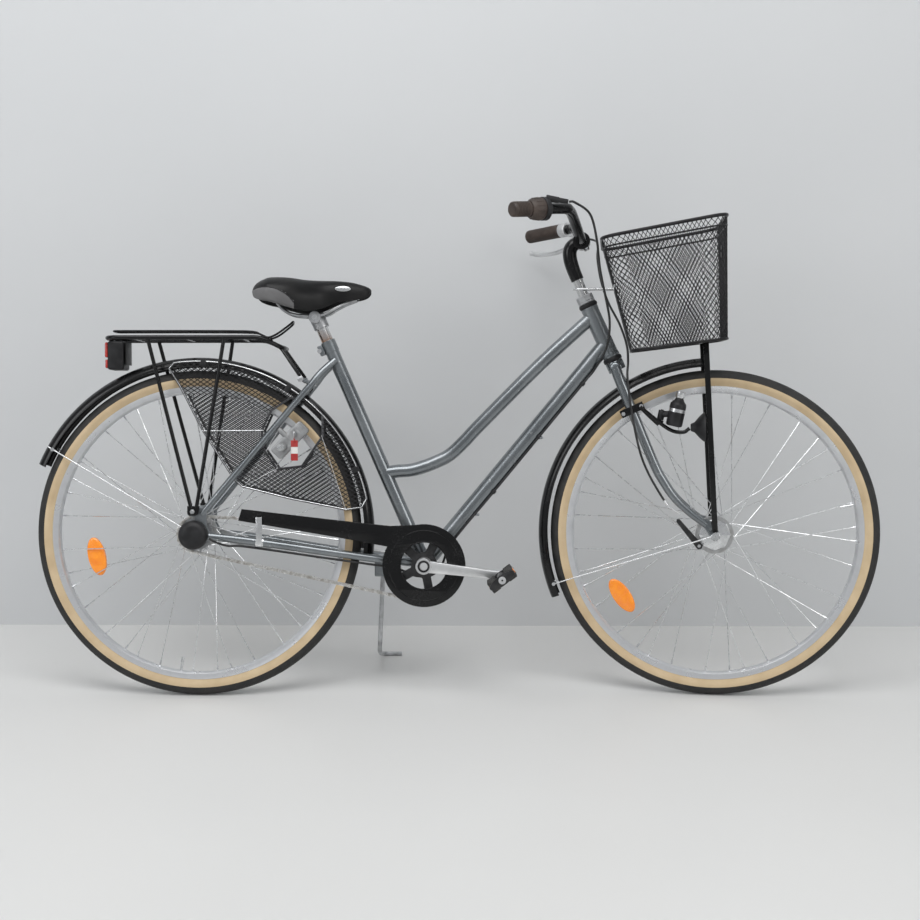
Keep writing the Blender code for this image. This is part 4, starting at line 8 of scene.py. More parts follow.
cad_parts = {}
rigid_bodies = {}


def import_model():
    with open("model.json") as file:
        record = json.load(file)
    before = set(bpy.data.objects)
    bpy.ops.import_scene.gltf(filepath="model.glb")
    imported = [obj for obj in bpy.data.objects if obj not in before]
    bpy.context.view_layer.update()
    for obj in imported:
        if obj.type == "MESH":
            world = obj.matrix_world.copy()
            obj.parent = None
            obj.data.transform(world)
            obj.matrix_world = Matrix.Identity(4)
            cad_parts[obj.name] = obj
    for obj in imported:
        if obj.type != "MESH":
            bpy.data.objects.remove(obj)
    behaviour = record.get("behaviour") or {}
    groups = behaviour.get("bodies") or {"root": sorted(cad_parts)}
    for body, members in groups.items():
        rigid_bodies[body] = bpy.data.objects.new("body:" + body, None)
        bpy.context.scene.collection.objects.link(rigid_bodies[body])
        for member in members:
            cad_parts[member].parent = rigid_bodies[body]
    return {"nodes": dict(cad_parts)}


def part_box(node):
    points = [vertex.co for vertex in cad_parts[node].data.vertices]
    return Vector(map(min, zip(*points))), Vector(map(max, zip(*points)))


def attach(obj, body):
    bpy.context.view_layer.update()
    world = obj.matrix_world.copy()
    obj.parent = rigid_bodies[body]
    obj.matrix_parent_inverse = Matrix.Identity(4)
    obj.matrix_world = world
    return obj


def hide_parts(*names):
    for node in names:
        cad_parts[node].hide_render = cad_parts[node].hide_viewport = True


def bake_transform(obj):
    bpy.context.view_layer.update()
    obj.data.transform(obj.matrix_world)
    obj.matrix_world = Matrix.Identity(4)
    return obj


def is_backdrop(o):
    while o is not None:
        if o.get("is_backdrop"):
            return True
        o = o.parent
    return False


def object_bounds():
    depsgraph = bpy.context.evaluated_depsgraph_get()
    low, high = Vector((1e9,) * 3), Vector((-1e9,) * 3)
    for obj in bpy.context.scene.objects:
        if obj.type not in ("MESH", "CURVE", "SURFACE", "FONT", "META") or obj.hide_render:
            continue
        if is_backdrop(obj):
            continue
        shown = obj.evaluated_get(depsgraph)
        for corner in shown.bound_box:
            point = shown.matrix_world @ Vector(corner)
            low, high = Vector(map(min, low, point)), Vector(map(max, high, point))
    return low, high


for thing in list(bpy.data.objects):
    bpy.data.objects.remove(thing)
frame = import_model()
cad_low, cad_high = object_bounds()

# The studio: a pale painted floor and a pale wall close behind the bicycle, with three broad soft
# lamps and an even sky. The camera stands at the right-hand side, a little above the saddle, and
# the wall is clear when it is seen from its back.
FLOOR_REACH = 6.0
WALL_AT = 0.520
camera_data = bpy.data.cameras.new("camera")
camera = bpy.data.objects.new("camera", camera_data)
bpy.context.scene.collection.objects.link(camera)
camera.location = (0.5946, -3.0029, 1.0400)
camera.rotation_euler = (math.radians(80.08), math.radians(0.05), math.radians(0.60))
camera_data.lens = 56.74
camera_data.sensor_width = 36.0
camera_data.clip_start = 0.05
bpy.context.scene.camera = camera
bpy.context.scene.view_settings.view_transform = "Standard"


class Wire:
    """One socket of a material's nodes, so that shader maths reads like plain sums."""

    def __init__(self, tree, socket=None):
        self.tree = tree
        self.socket = socket

    def node(self, kind, settings, sockets, output=0):
        made = self.tree.nodes.new("ShaderNode" + kind)
        for name, value in settings.items():
            if name == "stops":
                ramp = made.color_ramp.elements
                ramp[0].position, ramp[0].color = value[0]
                ramp[1].position, ramp[1].color = value[-1]
                for place, colour in value[1:-1]:
                    ramp.new(place).color = colour
            else:
                setattr(made, name, value)
        for name, value in sockets.items():
            if isinstance(value, Wire):
                self.tree.links.new(value.socket, made.inputs[name])
            else:
                made.inputs[name].default_value = value
        return Wire(self.tree, made.outputs[output])

    def sum_with(self, operation, first, second):
        return self.node("Math", {"operation": operation}, {0: first, 1: second})

    def __add__(self, other):
        return self.sum_with("ADD", self, other)

    def __radd__(self, other):
        return self.sum_with("ADD", other, self)

    def __sub__(self, other):
        return self.sum_with("SUBTRACT", self, other)

    def __rsub__(self, other):
        return self.sum_with("SUBTRACT", other, self)

    def __mul__(self, other):
        return self.sum_with("MULTIPLY", self, other)

    def __rmul__(self, other):
        return self.sum_with("MULTIPLY", other, self)

    def __truediv__(self, other):
        return self.sum_with("DIVIDE", self, other)

    def __gt__(self, other):
        return self.sum_with("GREATER_THAN", self, other)

    def __lt__(self, other):
        return self.sum_with("LESS_THAN", self, other)

    def noise(self, scale, detail=3.0):
        return self.node("TexNoise", {}, {"Vector": self, "Scale": scale, "Detail": detail})

    def spread(self, low, high, to_low=0.0, to_high=1.0):
        return self.node("MapRange", {"clamp": True}, {"Value": self, "From Min": low, "From Max": high,
                                                       "To Min": to_low, "To Max": to_high})

    def colours(self, low, high):
        """A colour between two, by this value. Each of them is three numbers or a wire."""
        low, high = [end if isinstance(end, Wire) else (*end, 1.0) for end in (low, high)]
        return self.node("Mix", {"data_type": "RGBA", "clamp_factor": True}, {0: self, 6: low, 7: high}, 2)

    def part(self, index):
        """One of a place's three numbers."""
        return self.node("SeparateXYZ", {}, {0: self}, index)

    def sine(self):
        return self.node("Math", {"operation": "SINE"}, {0: self})

    def bump(self, distance, strength=0.5):
        return self.node("Bump", {}, {"Height": self, "Distance": distance, "Strength": strength})


def new_finish(name):
    """An empty finish: its material, its shader and the place on the bicycle as a wire."""
    material = bpy.data.materials.new(name)
    material.use_nodes = True
    shader = material.node_tree.nodes["Principled BSDF"]
    return material, shader, Wire(material.node_tree).node("TexCoord", {}, {}, "Object")


def wire_up(shader, sockets):
    """Give the shader its values, or the wires that drive them."""
    for name, value in sockets.items():
        if isinstance(value, Wire):
            value.tree.links.new(value.socket, shader.inputs[name])
        else:
            shader.inputs[name].default_value = value


def worn_finish(name, wear, colours, rough, grain, shares=(), **sockets):
    """A finish whose colour and roughness follow one noise, over a fine grain.

    The wear is the noise's scale and the band of it that counts. The grain is a noise's scale with the
    bump's distance and strength, and shares mixes the wear into it. Sockets go by name, with _ for spaces.
    """
    material, shader, place = new_finish(name)
    cloud = place.noise(wear[0]).spread(*wear[1:])
    fine = place.noise(grain[0])
    if shares:
        fine = fine * shares[0] + cloud * shares[1]
    wire_up(shader, {"Base Color": cloud.colours(*colours), "Roughness": cloud.spread(0.0, 1.0, *rough),
                     "Normal": fine.bump(*grain[1:])})
    wire_up(shader, {socket.replace("_", " "): value for socket, value in sockets.items()})
    return material


def select_only(thing):
    bpy.ops.object.select_all(action="DESELECT")
    thing.select_set(True)
    bpy.context.view_layer.objects.active = thing


bpy.ops.mesh.primitive_plane_add(size=2 * FLOOR_REACH, location=(0.5, WALL_AT - FLOOR_REACH, 0.0))
studio = bpy.context.object
bpy.ops.object.mode_set(mode="EDIT")
bpy.ops.mesh.select_all(action="DESELECT")
bpy.ops.object.mode_set(mode="OBJECT")
for edge in studio.data.edges:
    edge.select = all(studio.data.vertices[i].co.y > 0 for i in edge.vertices)
bpy.ops.object.mode_set(mode="EDIT")
bpy.ops.mesh.select_mode(type="EDGE")
bpy.ops.mesh.extrude_region_move(TRANSFORM_OT_translate={"value": (0.0, 0.0, 5.0)})
bpy.ops.object.mode_set(mode="OBJECT")
studio.name = "studio"
studio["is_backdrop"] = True
wall_paint, shader, place = new_finish("studio_paint")
upright_part = place.part(2) > 0.001
mottle = place.noise(1.3, 2.0)
fine = place.noise(220.0)
wire_up(shader, {
    "Base Color": upright_part.colours(mottle.colours((0.69, 0.69, 0.68), (0.74, 0.74, 0.73)),
                                       mottle.colours((0.600, 0.613, 0.625), (0.645, 0.655, 0.665))),
    "Roughness": upright_part.spread(0.0, 1.0, 0.42, 0.85),
    "Normal": fine.bump(0.0004, 0.15),
})
studio.data.materials.append(wall_paint)
painted = Wire(wall_paint.node_tree, shader.outputs[0])
from_behind = painted.node("NewGeometry", {}, {}, "Backfacing")
seen_through = painted.node("MixShader", {},
                            {0: from_behind, 1: painted, 2: painted.node("BsdfTransparent", {}, {})})
paint_output = wall_paint.node_tree.nodes["Material Output"]
wall_paint.node_tree.links.new(seen_through.socket, paint_output.inputs["Surface"])
for face in studio.data.polygons:
    if face.normal.y > 0.5 or face.normal.z < -0.5:
        face.flip()


def soft_lamp(name, place, aim, size, power, colour=(1.0, 1.0, 1.0)):
    light = bpy.data.lights.new(name, "AREA")
    light.shape = "RECTANGLE"
    light.size, light.size_y = size
    light.energy = power
    light.color = colour
    lamp = bpy.data.objects.new(name, light)
    bpy.context.scene.collection.objects.link(lamp)
    lamp.location = place
    lamp.rotation_euler = (Vector(aim) - Vector(place)).to_track_quat("-Z", "Y").to_euler()


soft_lamp("ceiling_panel", (0.2, -1.5, 3.4), (0.55, 0.0, 0.3), (3.2, 2.0), 72.0)
soft_lamp("left_panel", (-2.6, -2.6, 2.2), (0.4, 0.0, 0.5), (1.6, 1.8), 28.0, (0.98, 0.99, 1.0))
soft_lamp("right_panel", (3.4, -2.2, 1.8), (0.7, 0.0, 0.5), (1.4, 1.6), 22.0, (1.0, 0.99, 0.97))
sky = bpy.data.worlds.new("even_sky")
bpy.context.scene.world = sky
sky.use_nodes = True
sky.node_tree.nodes["Background"].inputs["Color"].default_value = (0.96, 0.98, 1.0, 1.0)
sky.node_tree.nodes["Background"].inputs["Strength"].default_value = 0.40

# The tyres: black tread moulded in ribs and blocks, with tan walls of skinned cotton. Each is
# bedded on its rim. The wheels lean with the bicycle, and the front one turns with the handlebar.
WHEEL_RADIUS = 0.350
WHEELBASE = 1.1074
HEAD_ANGLE = math.radians(65.5)
SEAT_ANGLE = math.radians(66.4)
BRACKET = Vector((0.48616, 0.0, 0.284))
REAR_AXLE = Vector((0.0, 0.0, WHEEL_RADIUS))
FRONT_AXLE = Vector((WHEELBASE, 0.0, WHEEL_RADIUS))
STEER_AXIS = Vector((-math.cos(HEAD_ANGLE), 0.0, math.sin(HEAD_ANGLE)))
FORK_OFFSET = 0.0426
STEER_FOOT = FRONT_AXLE - Vector((FORK_OFFSET / math.sin(HEAD_ANGLE), 0.0, 0.0))
SEAT_AXIS = Vector((-math.cos(SEAT_ANGLE), 0.0, math.sin(SEAT_ANGLE)))
SIDEWAYS = Vector((0.0, 1.0, 0.0))
FORWARD = Vector((1.0, 0.0, 0.0))
TYRE_MIDDLE = 0.3315
TYRE_SECTION = 0.0182
TAN_REACH = 0.3330
GROOVES_AT = (12, 16, 36, 40)
GROOVE_DEPTH = 0.0011
RIDGE_RISE = 0.0004
WHEEL_STEPS = 168


def on_steering(height, forward=0.0, y=0.0):
    """A place measured up the steering axis from axle height, and square forward from it."""
    ahead = Vector((math.sin(HEAD_ANGLE), 0.0, math.cos(HEAD_ANGLE)))
    return STEER_FOOT + STEER_AXIS * height + ahead * forward + SIDEWAYS * y


def on_seat(height, forward=0.0, y=0.0):
    """A place measured up the seat tube from the bottom bracket, and square forward from it."""
    ahead = Vector((math.sin(SEAT_ANGLE), 0.0, math.cos(SEAT_ANGLE)))
    return BRACKET + SEAT_AXIS * height + ahead * forward + SIDEWAYS * y


LEAN = Matrix.Rotation(math.radians(-9.0), 4, "X")
NOSE_DOWN = Matrix.Rotation(math.radians(-0.07666), 4, "Y")
STEER_TURN = Matrix.Rotation(math.radians(-5.94), 4, STEER_AXIS)
STEER_PIVOT = on_steering(0.416)
PARKED = (Matrix.Translation((0.0, 0.051858, 0.345691)) @ LEAN @ NOSE_DOWN
          @ Matrix.Translation((0.0, 0.0, -WHEEL_RADIUS)))
STEERED = PARKED @ Matrix.Translation(STEER_PIVOT) @ STEER_TURN @ Matrix.Translation(-STEER_PIVOT)


def axis_frame(origin, axis, across=(0.0, 0.0, 1.0)):
    """A frame whose Z runs along the axis, with its X as near as it can be to across."""
    z = Vector(axis).normalized()
    x = Vector(across) - z * z.dot(Vector(across))
    if x.length < 1e-6:
        x = z.orthogonal()
    x.normalize()
    y = z.cross(x)
    return Matrix.Translation(origin) @ Matrix((x, y, z)).transposed().to_4x4()


HEAD_FRAME = axis_frame(STEER_FOOT, STEER_AXIS, SIDEWAYS)


def draw_line(runs, closed=False):
    """Lines drawn through lists of points, as one curve object."""
    bpy.ops.object.select_all(action="DESELECT")
    bpy.ops.curve.primitive_nurbs_path_add(location=(0.0, 0.0, 0.0))
    line = bpy.context.object
    line.data.splines.clear()
    for points in runs:
        spline = line.data.splines.new("POLY")
        spline.points.add(len(points) - 1)
        for knot, place in zip(spline.points, points):
            knot.co = (*place, 1.0)
        spline.use_cyclic_u = closed
    return line


def meshed(line):
    """A drawn line as a mesh."""
    select_only(line)
    bpy.ops.object.convert(target="MESH")
    return bpy.context.object


def weld(thing):
    """Merge what lies together, and face everything outwards."""
    select_only(thing)
    bpy.ops.object.mode_set(mode="EDIT")
    bpy.ops.mesh.select_all(action="SELECT")
    bpy.ops.mesh.remove_doubles(threshold=1e-6)
    bpy.ops.mesh.normals_make_consistent(inside=False)
    bpy.ops.object.mode_set(mode="OBJECT")
    return thing


def lathe(profile, place, steps=64, closed=False):
    """A turned piece: its profile is pairs of (distance along the axis, radius)."""
    turned = meshed(draw_line([[(radius, 0.0, along) for along, radius in profile]], closed))
    bpy.ops.object.mode_set(mode="EDIT")
    bpy.ops.mesh.select_all(action="SELECT")
    bpy.ops.mesh.spin(steps=steps, angle=math.tau, center=(0.0, 0.0, 0.0), axis=(0.0, 0.0, 1.0))
    bpy.ops.object.mode_set(mode="OBJECT")
    weld(turned)
    turned.data.transform(place)
    return turned


def washer(low, high, inner, outer, place, steps):
    """A flat ring, from one distance along its axis to another."""
    return lathe(((low, inner), (low, outer), (high, outer), (high, inner)), place, steps, True)


def bush(low, high, inner, outer, ease, place, steps):
    """A sleeve with its outer corners cut back: ease says how far along and how far in."""
    along, back = ease
    return lathe(((low, inner), (low, outer - back), (low + along, outer), (high - along, outer),
                  (high, outer - back), (high, inner)), place, steps, True)


def fit(thing, name, finishes, body, nodes=(), pose=PARKED, smooth=40.0, marks=()):
    """Name a finished piece, move its mesh to where the bicycle is parked, and hang it on its body.

    The marks say which of its finishes each face has, where that isn't always the first.
    """
    thing.name = name
    thing.data.transform(pose)
    if finishes:
        thing.data.materials.clear()
        for finish in finishes:
            thing.data.materials.append(finish)
    for face, mark in zip(thing.data.polygons, marks):
        face.material_index = mark
    select_only(thing)
    bpy.ops.object.shade_smooth_by_angle(angle=math.radians(smooth))
    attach(thing, body)
    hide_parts(*nodes)
    return thing


def wheel_reading(place, pose, axle):
    """Where a point lies on a wheel: its distance from the axle, its angle and its place across."""
    seat = pose @ Matrix.Translation(axle)
    local = place.node("Mapping", {"vector_type": "TEXTURE"},
                       {"Vector": place, "Location": seat.to_translation(), "Rotation": seat.to_euler()})
    x, y, z = [local.part(index) for index in range(3)]
    radius = x.node("Math", {"operation": "SQRT"}, {0: x * x + z * z})
    return radius, x.sum_with("ARCTAN2", z, x), y


WHEELS = (("rear", PARKED, REAR_AXLE), ("front", STEERED, FRONT_AXLE))
tyre_ribs = []
for degrees in range(-118, 119, 4):
    turn = math.radians(degrees)
    groove = GROOVE_DEPTH if abs(degrees) in GROOVES_AT else 0.0
    ridge = RIDGE_RISE if 62 <= abs(degrees) <= 66 else 0.0
    section = TYRE_SECTION - groove + ridge
    tyre_ribs.append((section * math.sin(turn), TYRE_MIDDLE + section * math.cos(turn)))
tyre_profile = tyre_ribs + [(0.0124, 0.3166), (0.0100, 0.3115), (-0.0100, 0.3115), (-0.0124, 0.3166)]
for end, pose, axle in WHEELS:
    tread, shader, place = new_finish(end + "_tyre_tread")
    radius, angle, across = wheel_reading(place, pose, axle)
    blocks = (angle * 96.0 + across * 420.0).sine().spread(-0.15, 0.15)
    dust = place.noise(38.0).spread(0.35, 0.75)
    wire_up(shader, {
        "Base Color": dust.colours((0.013, 0.013, 0.013), (0.036, 0.034, 0.032)),
        "Roughness": dust.spread(0.0, 1.0, 0.62, 0.86),
        "Normal": (blocks * 0.8 + place.noise(900.0) * 0.2).bump(0.0007, 0.7),
    })
    tan, shader, place = new_finish(end + "_tyre_wall")
    radius, angle, across = wheel_reading(place, pose, axle)
    weave = (angle * 2100.0 + radius * 4200.0).sine()
    stain = place.noise(22.0).spread(0.30, 0.72)
    wire_up(shader, {
        "Base Color": stain.colours((0.63, 0.49, 0.31), (0.52, 0.39, 0.235)),
        "Roughness": stain.spread(0.0, 1.0, 0.62, 0.74),
        "Normal": (weave * 0.4 + place.noise(600.0)).bump(0.00025, 0.4),
    })
    tyre = lathe(tyre_profile, axis_frame(axle, SIDEWAYS), WHEEL_STEPS, True)
    marks = [1 if math.hypot(face.center.x - axle.x, face.center.z - axle.z) < TAN_REACH else 0
             for face in tyre.data.polygons]
    fit(tyre, end + "_tyre_dressed", (tread, tan), end + "_wheel", [end + "_tyre"], pose,
        marks=marks)

# The rims: rolled and polished aluminium, with a machined braking band on each side, thirty-six
# nipple seats on the inner face, and a valve through the rim.
RIM_PROFILE = ((-0.0090, 0.3125), (-0.0112, 0.3130), (-0.0118, 0.3158), (-0.0126, 0.3158),
               (-0.0125, 0.3140), (-0.0121, 0.3132), (-0.0121, 0.3062), (-0.0118, 0.3046),
               (-0.0098, 0.3026), (-0.0060, 0.3009), (0.0, 0.3001), (0.0060, 0.3009), (0.0098, 0.3026),
               (0.0118, 0.3046), (0.0121, 0.3062), (0.0121, 0.3132), (0.0125, 0.3140), (0.0126, 0.3158),
               (0.0118, 0.3158), (0.0112, 0.3130), (0.0090, 0.3125), (0.0, 0.3093))
VALVE_AT = {"rear": 262.0, "front": 12.0}


def around(centre, radius, degrees, y=0.0):
    """A place on a circle in the side view, counted from straight ahead towards up."""
    angle = math.radians(degrees)
    return centre + Vector((radius * math.cos(angle), y, radius * math.sin(angle)))


def joined(first, *others):
    """Several shapes as one object; each keeps its finish."""
    bpy.ops.object.select_all(action="DESELECT")
    for thing in (*others, first):
        thing.select_set(True)
    bpy.context.view_layer.objects.active = first
    bpy.ops.object.join()
    return first


def rod(points, radius, sides=14, closed=False):
    """A round bar swept along points; the radius is one number, or one for each point."""
    radii = radius if isinstance(radius, (list, tuple)) else [radius] * len(points)
    bar = draw_line([points], closed)
    bar.data.bevel_depth = max(radii)
    bar.data.bevel_resolution = (sides - 4) // 2
    bar.data.use_fill_caps = True
    for knot, thick in zip(bar.data.splines[0].points, radii):
        knot.radius = thick / max(radii)
    return weld(meshed(bar))


def bolt(at, way, marks, radius, sides):
    """A rod that runs through a place, its ends or steps marked off along the way."""
    return rod([at + way * mark for mark in marks], radius, sides)


for end, pose, axle in WHEELS:
    polish, shader, place = new_finish(end + "_rim_aluminium")
    radius, angle, across = wheel_reading(place, pose, axle)
    lathe_marks = (radius * 9000.0).sine()
    smear = place.noise(26.0).spread(0.35, 0.70)
    wire_up(shader, {
        "Base Color": smear.colours((0.80, 0.81, 0.83), (0.66, 0.67, 0.69)),
        "Metallic": 0.85,
        "Roughness": smear.spread(0.0, 1.0, 0.26, 0.40),
        "Normal": (lathe_marks * 0.3 + place.noise(300.0) * 0.3).bump(0.0001, 0.25),
    })
    rim = lathe(RIM_PROFILE, axis_frame(axle, SIDEWAYS), WHEEL_STEPS, True)
    fit(rim, end + "_rim_dressed", (polish,), end + "_wheel", [end + "_rim"], pose, 30.0)

# The hubs and spokes: turned aluminium shells with drilled flanges, thirty-six stainless spokes
# crossed three times, each with its bent head in the flange and a brass nipple in the rim.
SPOKE_COUNT = 36
SPOKE_STEP = 720.0 / SPOKE_COUNT
SPOKE_LEAD = 58.0
SPOKE_RADIUS = 0.0010
NIPPLE_REACH = 0.3004
NIPPLE_OFFSET = 0.0026
FLANGES = {"rear": ((-0.0272, 0.0300), (0.0268, 0.0310)), "front": ((-0.0325, 0.0370), (0.0298, 0.0262))}
HUB_PROFILES = {
    "rear": ((-0.0340, 0.0100), (-0.0340, 0.0215), (-0.0325, 0.0235), (-0.0302, 0.0240), (-0.0298, 0.0325),
             (-0.0288, 0.0334), (-0.0258, 0.0334), (-0.0248, 0.0325), (-0.0240, 0.0262), (-0.0205, 0.0244),
             (0.0, 0.0240), (0.0205, 0.0252), (0.0238, 0.0272), (0.0246, 0.0336), (0.0254, 0.0344),
             (0.0284, 0.0344), (0.0292, 0.0336), (0.0300, 0.0290), (0.0345, 0.0268), (0.0360, 0.0245),
             (0.0360, 0.0100)),
    "front": ((-0.0360, 0.0100), (-0.0360, 0.0395), (-0.0350, 0.0404), (-0.0300, 0.0404), (-0.0290, 0.0395),
              (-0.0262, 0.0368), (-0.0200, 0.0352), (-0.0080, 0.0342), (0.0000, 0.0270), (0.0110, 0.0186),
              (0.0200, 0.0156), (0.0262, 0.0154), (0.0272, 0.0284), (0.0282, 0.0294), (0.0312, 0.0294),
              (0.0322, 0.0284), (0.0336, 0.0168), (0.0368, 0.0130), (0.0368, 0.0100)),
}
stainless = worn_finish("stainless_wire", (60.0, 0.35, 0.75), ((0.78, 0.79, 0.80), (0.60, 0.61, 0.62)),
                        (0.20, 0.36), (900.0, 0.00008, 0.3), Metallic=1.0)
hub_shell = worn_finish("hub_aluminium", (48.0, 0.35, 0.72), ((0.56, 0.565, 0.57), (0.34, 0.335, 0.33)),
                        (0.30, 0.52), (500.0, 0.0001, 0.3), Metallic=0.92)
for end, pose, axle in WHEELS:
    hub = lathe(HUB_PROFILES[end], axis_frame(axle, SIDEWAYS), 72, True)
    hub.data.materials.append(hub_shell)
    wires = []
    for i in range(SPOKE_COUNT):
        side, radius = FLANGES[end][i % 2]
        angle = (i // 2 + 0.5 * (i % 2)) * SPOKE_STEP
        leading = 1 if (i // 2) % 2 else -1
        toward = angle + leading * SPOKE_LEAD + 0.25 * SPOKE_STEP
        nipple = around(axle, NIPPLE_REACH, toward, math.copysign(NIPPLE_OFFSET, side))
        head = around(axle, radius, angle, side + leading * 0.0019)
        knee = around(axle, radius + 0.0010, angle, side + leading * 0.0030)
        run = (nipple - knee).normalized()
        elbow = knee.lerp(nipple, 0.006)
        wires.append(rod([head - SIDEWAYS * leading * 0.0028, head, elbow, nipple - run * 0.011,
                          nipple - run * 0.0108, nipple - run * 0.001],
                         [SPOKE_RADIUS * 1.5, SPOKE_RADIUS, SPOKE_RADIUS, SPOKE_RADIUS, 0.0020, 0.0022], 8))
    bundle = joined(*wires)
    bundle.data.materials.append(stainless)
    laced = joined(hub, bundle)
    valve = rod([around(axle, reach, VALVE_AT[end]) for reach in (0.3000, 0.2830, 0.2828, 0.2720)],
                [0.0030, 0.0030, 0.0040, 0.0036], 12)
    valve.data.materials.append(stainless)
    fit(joined(laced, valve), end + "_hub_laced", (), end + "_wheel",
        [end + "_hub_spokes"], pose, 35.0)

# The wheel reflectors: oval lenses of amber acrylic with a grid of prisms behind a smooth face,
# clipped between the spokes. Their faint orange emission is a painted glow; the reflectors are no lamps.
amber, shader, place = new_finish("amber_prisms_painted_glow")
prisms = place.node("TexVoronoi", {"feature": "DISTANCE_TO_EDGE"}, {"Vector": place, "Scale": 300.0})
depth = place.noise(70.0).spread(0.3, 0.7)
# The Emission Color and Strength paint a faint orange glow into the amber, though it is no lamp.
wire_up(shader, {"Base Color": depth.colours((1.0, 0.33, 0.015), (0.86, 0.215, 0.005)),
                 "Roughness": depth.spread(0.0, 1.0, 0.20, 0.32),
                 "Coat Weight": 1.0, "Coat Roughness": 0.06, "Emission Color": (1.0, 0.25, 0.0, 1.0),
                 "Emission Strength": 0.10, "Normal": prisms.bump(0.0010, 0.5)})
for end, pose, axle in WHEELS:
    low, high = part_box(end + "_wheel_reflector")
    middle = pose.inverted() @ ((low + high) / 2)
    outward = (middle - axle).normalized()
    lens = lathe(((-0.0062, 0.0), (-0.0062, 0.0165), (-0.0054, 0.0182), (-0.0030, 0.0190), (0.0030, 0.0190),
                  (0.0054, 0.0182), (0.0062, 0.0165), (0.0062, 0.0)), Matrix.Scale(2.2, 4, SIDEWAYS), 48)
    lens.data.transform(axis_frame(middle, SIDEWAYS, outward))
    fit(lens, end + "_reflector_lens", (amber,), end + "_wheel",
        [end + "_wheel_reflector"], pose, 50.0)

# The frame: brazed steel tubes under a silver-grey metallic paint with a clear coat. The low main
# tube bends forward to the head, and forged plates at the rear hold the axle.
REAR_DROPOUT_Y = 0.0625
MAIN_TUBE = (on_seat(0.213), (0.428, 0.0, 0.483), (0.452, 0.0, 0.4845), (0.476, 0.0, 0.4900),
             (0.511, 0.0, 0.5030), (0.541, 0.0, 0.5190), (0.573, 0.0, 0.5490), (0.605, 0.0, 0.583),
             (0.734, 0.0, 0.7120), on_steering(0.512))
CHAIN_STAY = ((0.020, 0.0600, 0.3470), (0.100, 0.0575, 0.3385), (0.190, 0.0500, 0.3255),
              (0.270, 0.0415, 0.3130), (0.335, 0.0355, 0.3035), (0.376, 0.0325, 0.2975),
              (0.412, 0.0265, 0.2930), (0.470, 0.0210, 0.2860))
SEAT_STAY = ((0.015, 0.0600, 0.3930), (0.082, 0.0535, 0.4735), (0.150, 0.0455, 0.5550),
             (0.214, 0.0385, 0.6320), (0.246, 0.0345, 0.6700), (0.266, 0.0270, 0.6950),
             on_seat(0.4776, 0.0, 0.0160))
DROPOUT = ((-0.026, 0.3590), (-0.026, 0.3553), (0.0030, 0.3553), (0.0056, 0.3525), (0.0056, 0.3475),
           (0.0030, 0.3447), (-0.026, 0.3447), (-0.024, 0.3370), (-0.006, 0.3342), (0.010, 0.3340),
           (0.034, 0.3385), (0.034, 0.3540), (0.026, 0.3700), (0.026, 0.4050), (0.010, 0.4080),
           (0.000, 0.4060), (-0.012, 0.4060), (-0.016, 0.3990), (-0.012, 0.3900), (0.002, 0.3860),
           (-0.004, 0.3640))


def smooth_line(knots, steps=8):
    """Points on one smooth curve through the knots."""
    knots = [Vector(k) for k in knots]
    ends = [knots[0] * 2 - knots[1]] + knots + [knots[-1] * 2 - knots[-2]]
    line = []
    for a, b, c, d in zip(ends, ends[1:], ends[2:], ends[3:]):
        for i in range(steps):
            t = i / steps
            line.append(0.5 * (2 * b + (c - a) * t + (2 * a - 5 * b + 4 * c - d) * t ** 2
                               + (3 * b - a - 3 * c + d) * t ** 3))
    return line + [knots[-1]]


def mirrored_line(points):
    return [Vector((p[0], -p[1], p[2])) for p in points]


def both_sides(half):
    """A whole loop, from a half of it that starts and ends in the bicycle's middle."""
    return half[:-1] + mirrored_line(reversed(half[1:]))


def side_frame(y, centre=(0.0, 0.0, 0.0)):
    """The side view as a drawing plane: its X is forward, its Y is up and its Z points right."""
    columns = Matrix((FORWARD, (0, 0, -1), (0, 1, 0))).to_4x4()
    return Matrix.Translation(Vector(centre) + SIDEWAYS * y) @ columns


def plate(outline, thickness, place, holes=(), edge=0.0005):
    """A flat piece cut to an outline with its holes, and its edges eased."""
    sheet = draw_line([[(u, v, 0.0) for u, v in loop] for loop in (outline, *holes)], True)
    sheet.data.dimensions = "2D"
    sheet.data.fill_mode = "BOTH"
    sheet.data.extrude = thickness / 2 - edge
    sheet.data.bevel_depth = edge
    sheet.data.offset = -edge
    sheet.data.bevel_resolution = 1
    cut = weld(meshed(sheet))
    cut.data.transform(place)
    return cut


def block(size, place, edge=0.001, rounds=3):
    """A box with its edges rounded, in a frame, or upright at a point."""
    bpy.ops.object.select_all(action="DESELECT")
    bpy.ops.mesh.primitive_cube_add(size=1.0, location=(0.0, 0.0, 0.0))
    box = bpy.context.object
    box.data.transform(Matrix.Diagonal((*size, 1.0)))
    bpy.ops.object.mode_set(mode="EDIT")
    bpy.ops.mesh.select_all(action="SELECT")
    bpy.ops.mesh.bevel(offset=edge, segments=rounds, affect="EDGES")
    bpy.ops.object.mode_set(mode="OBJECT")
    box.data.transform(place if isinstance(place, Matrix) else Matrix.Translation(place))
    return box


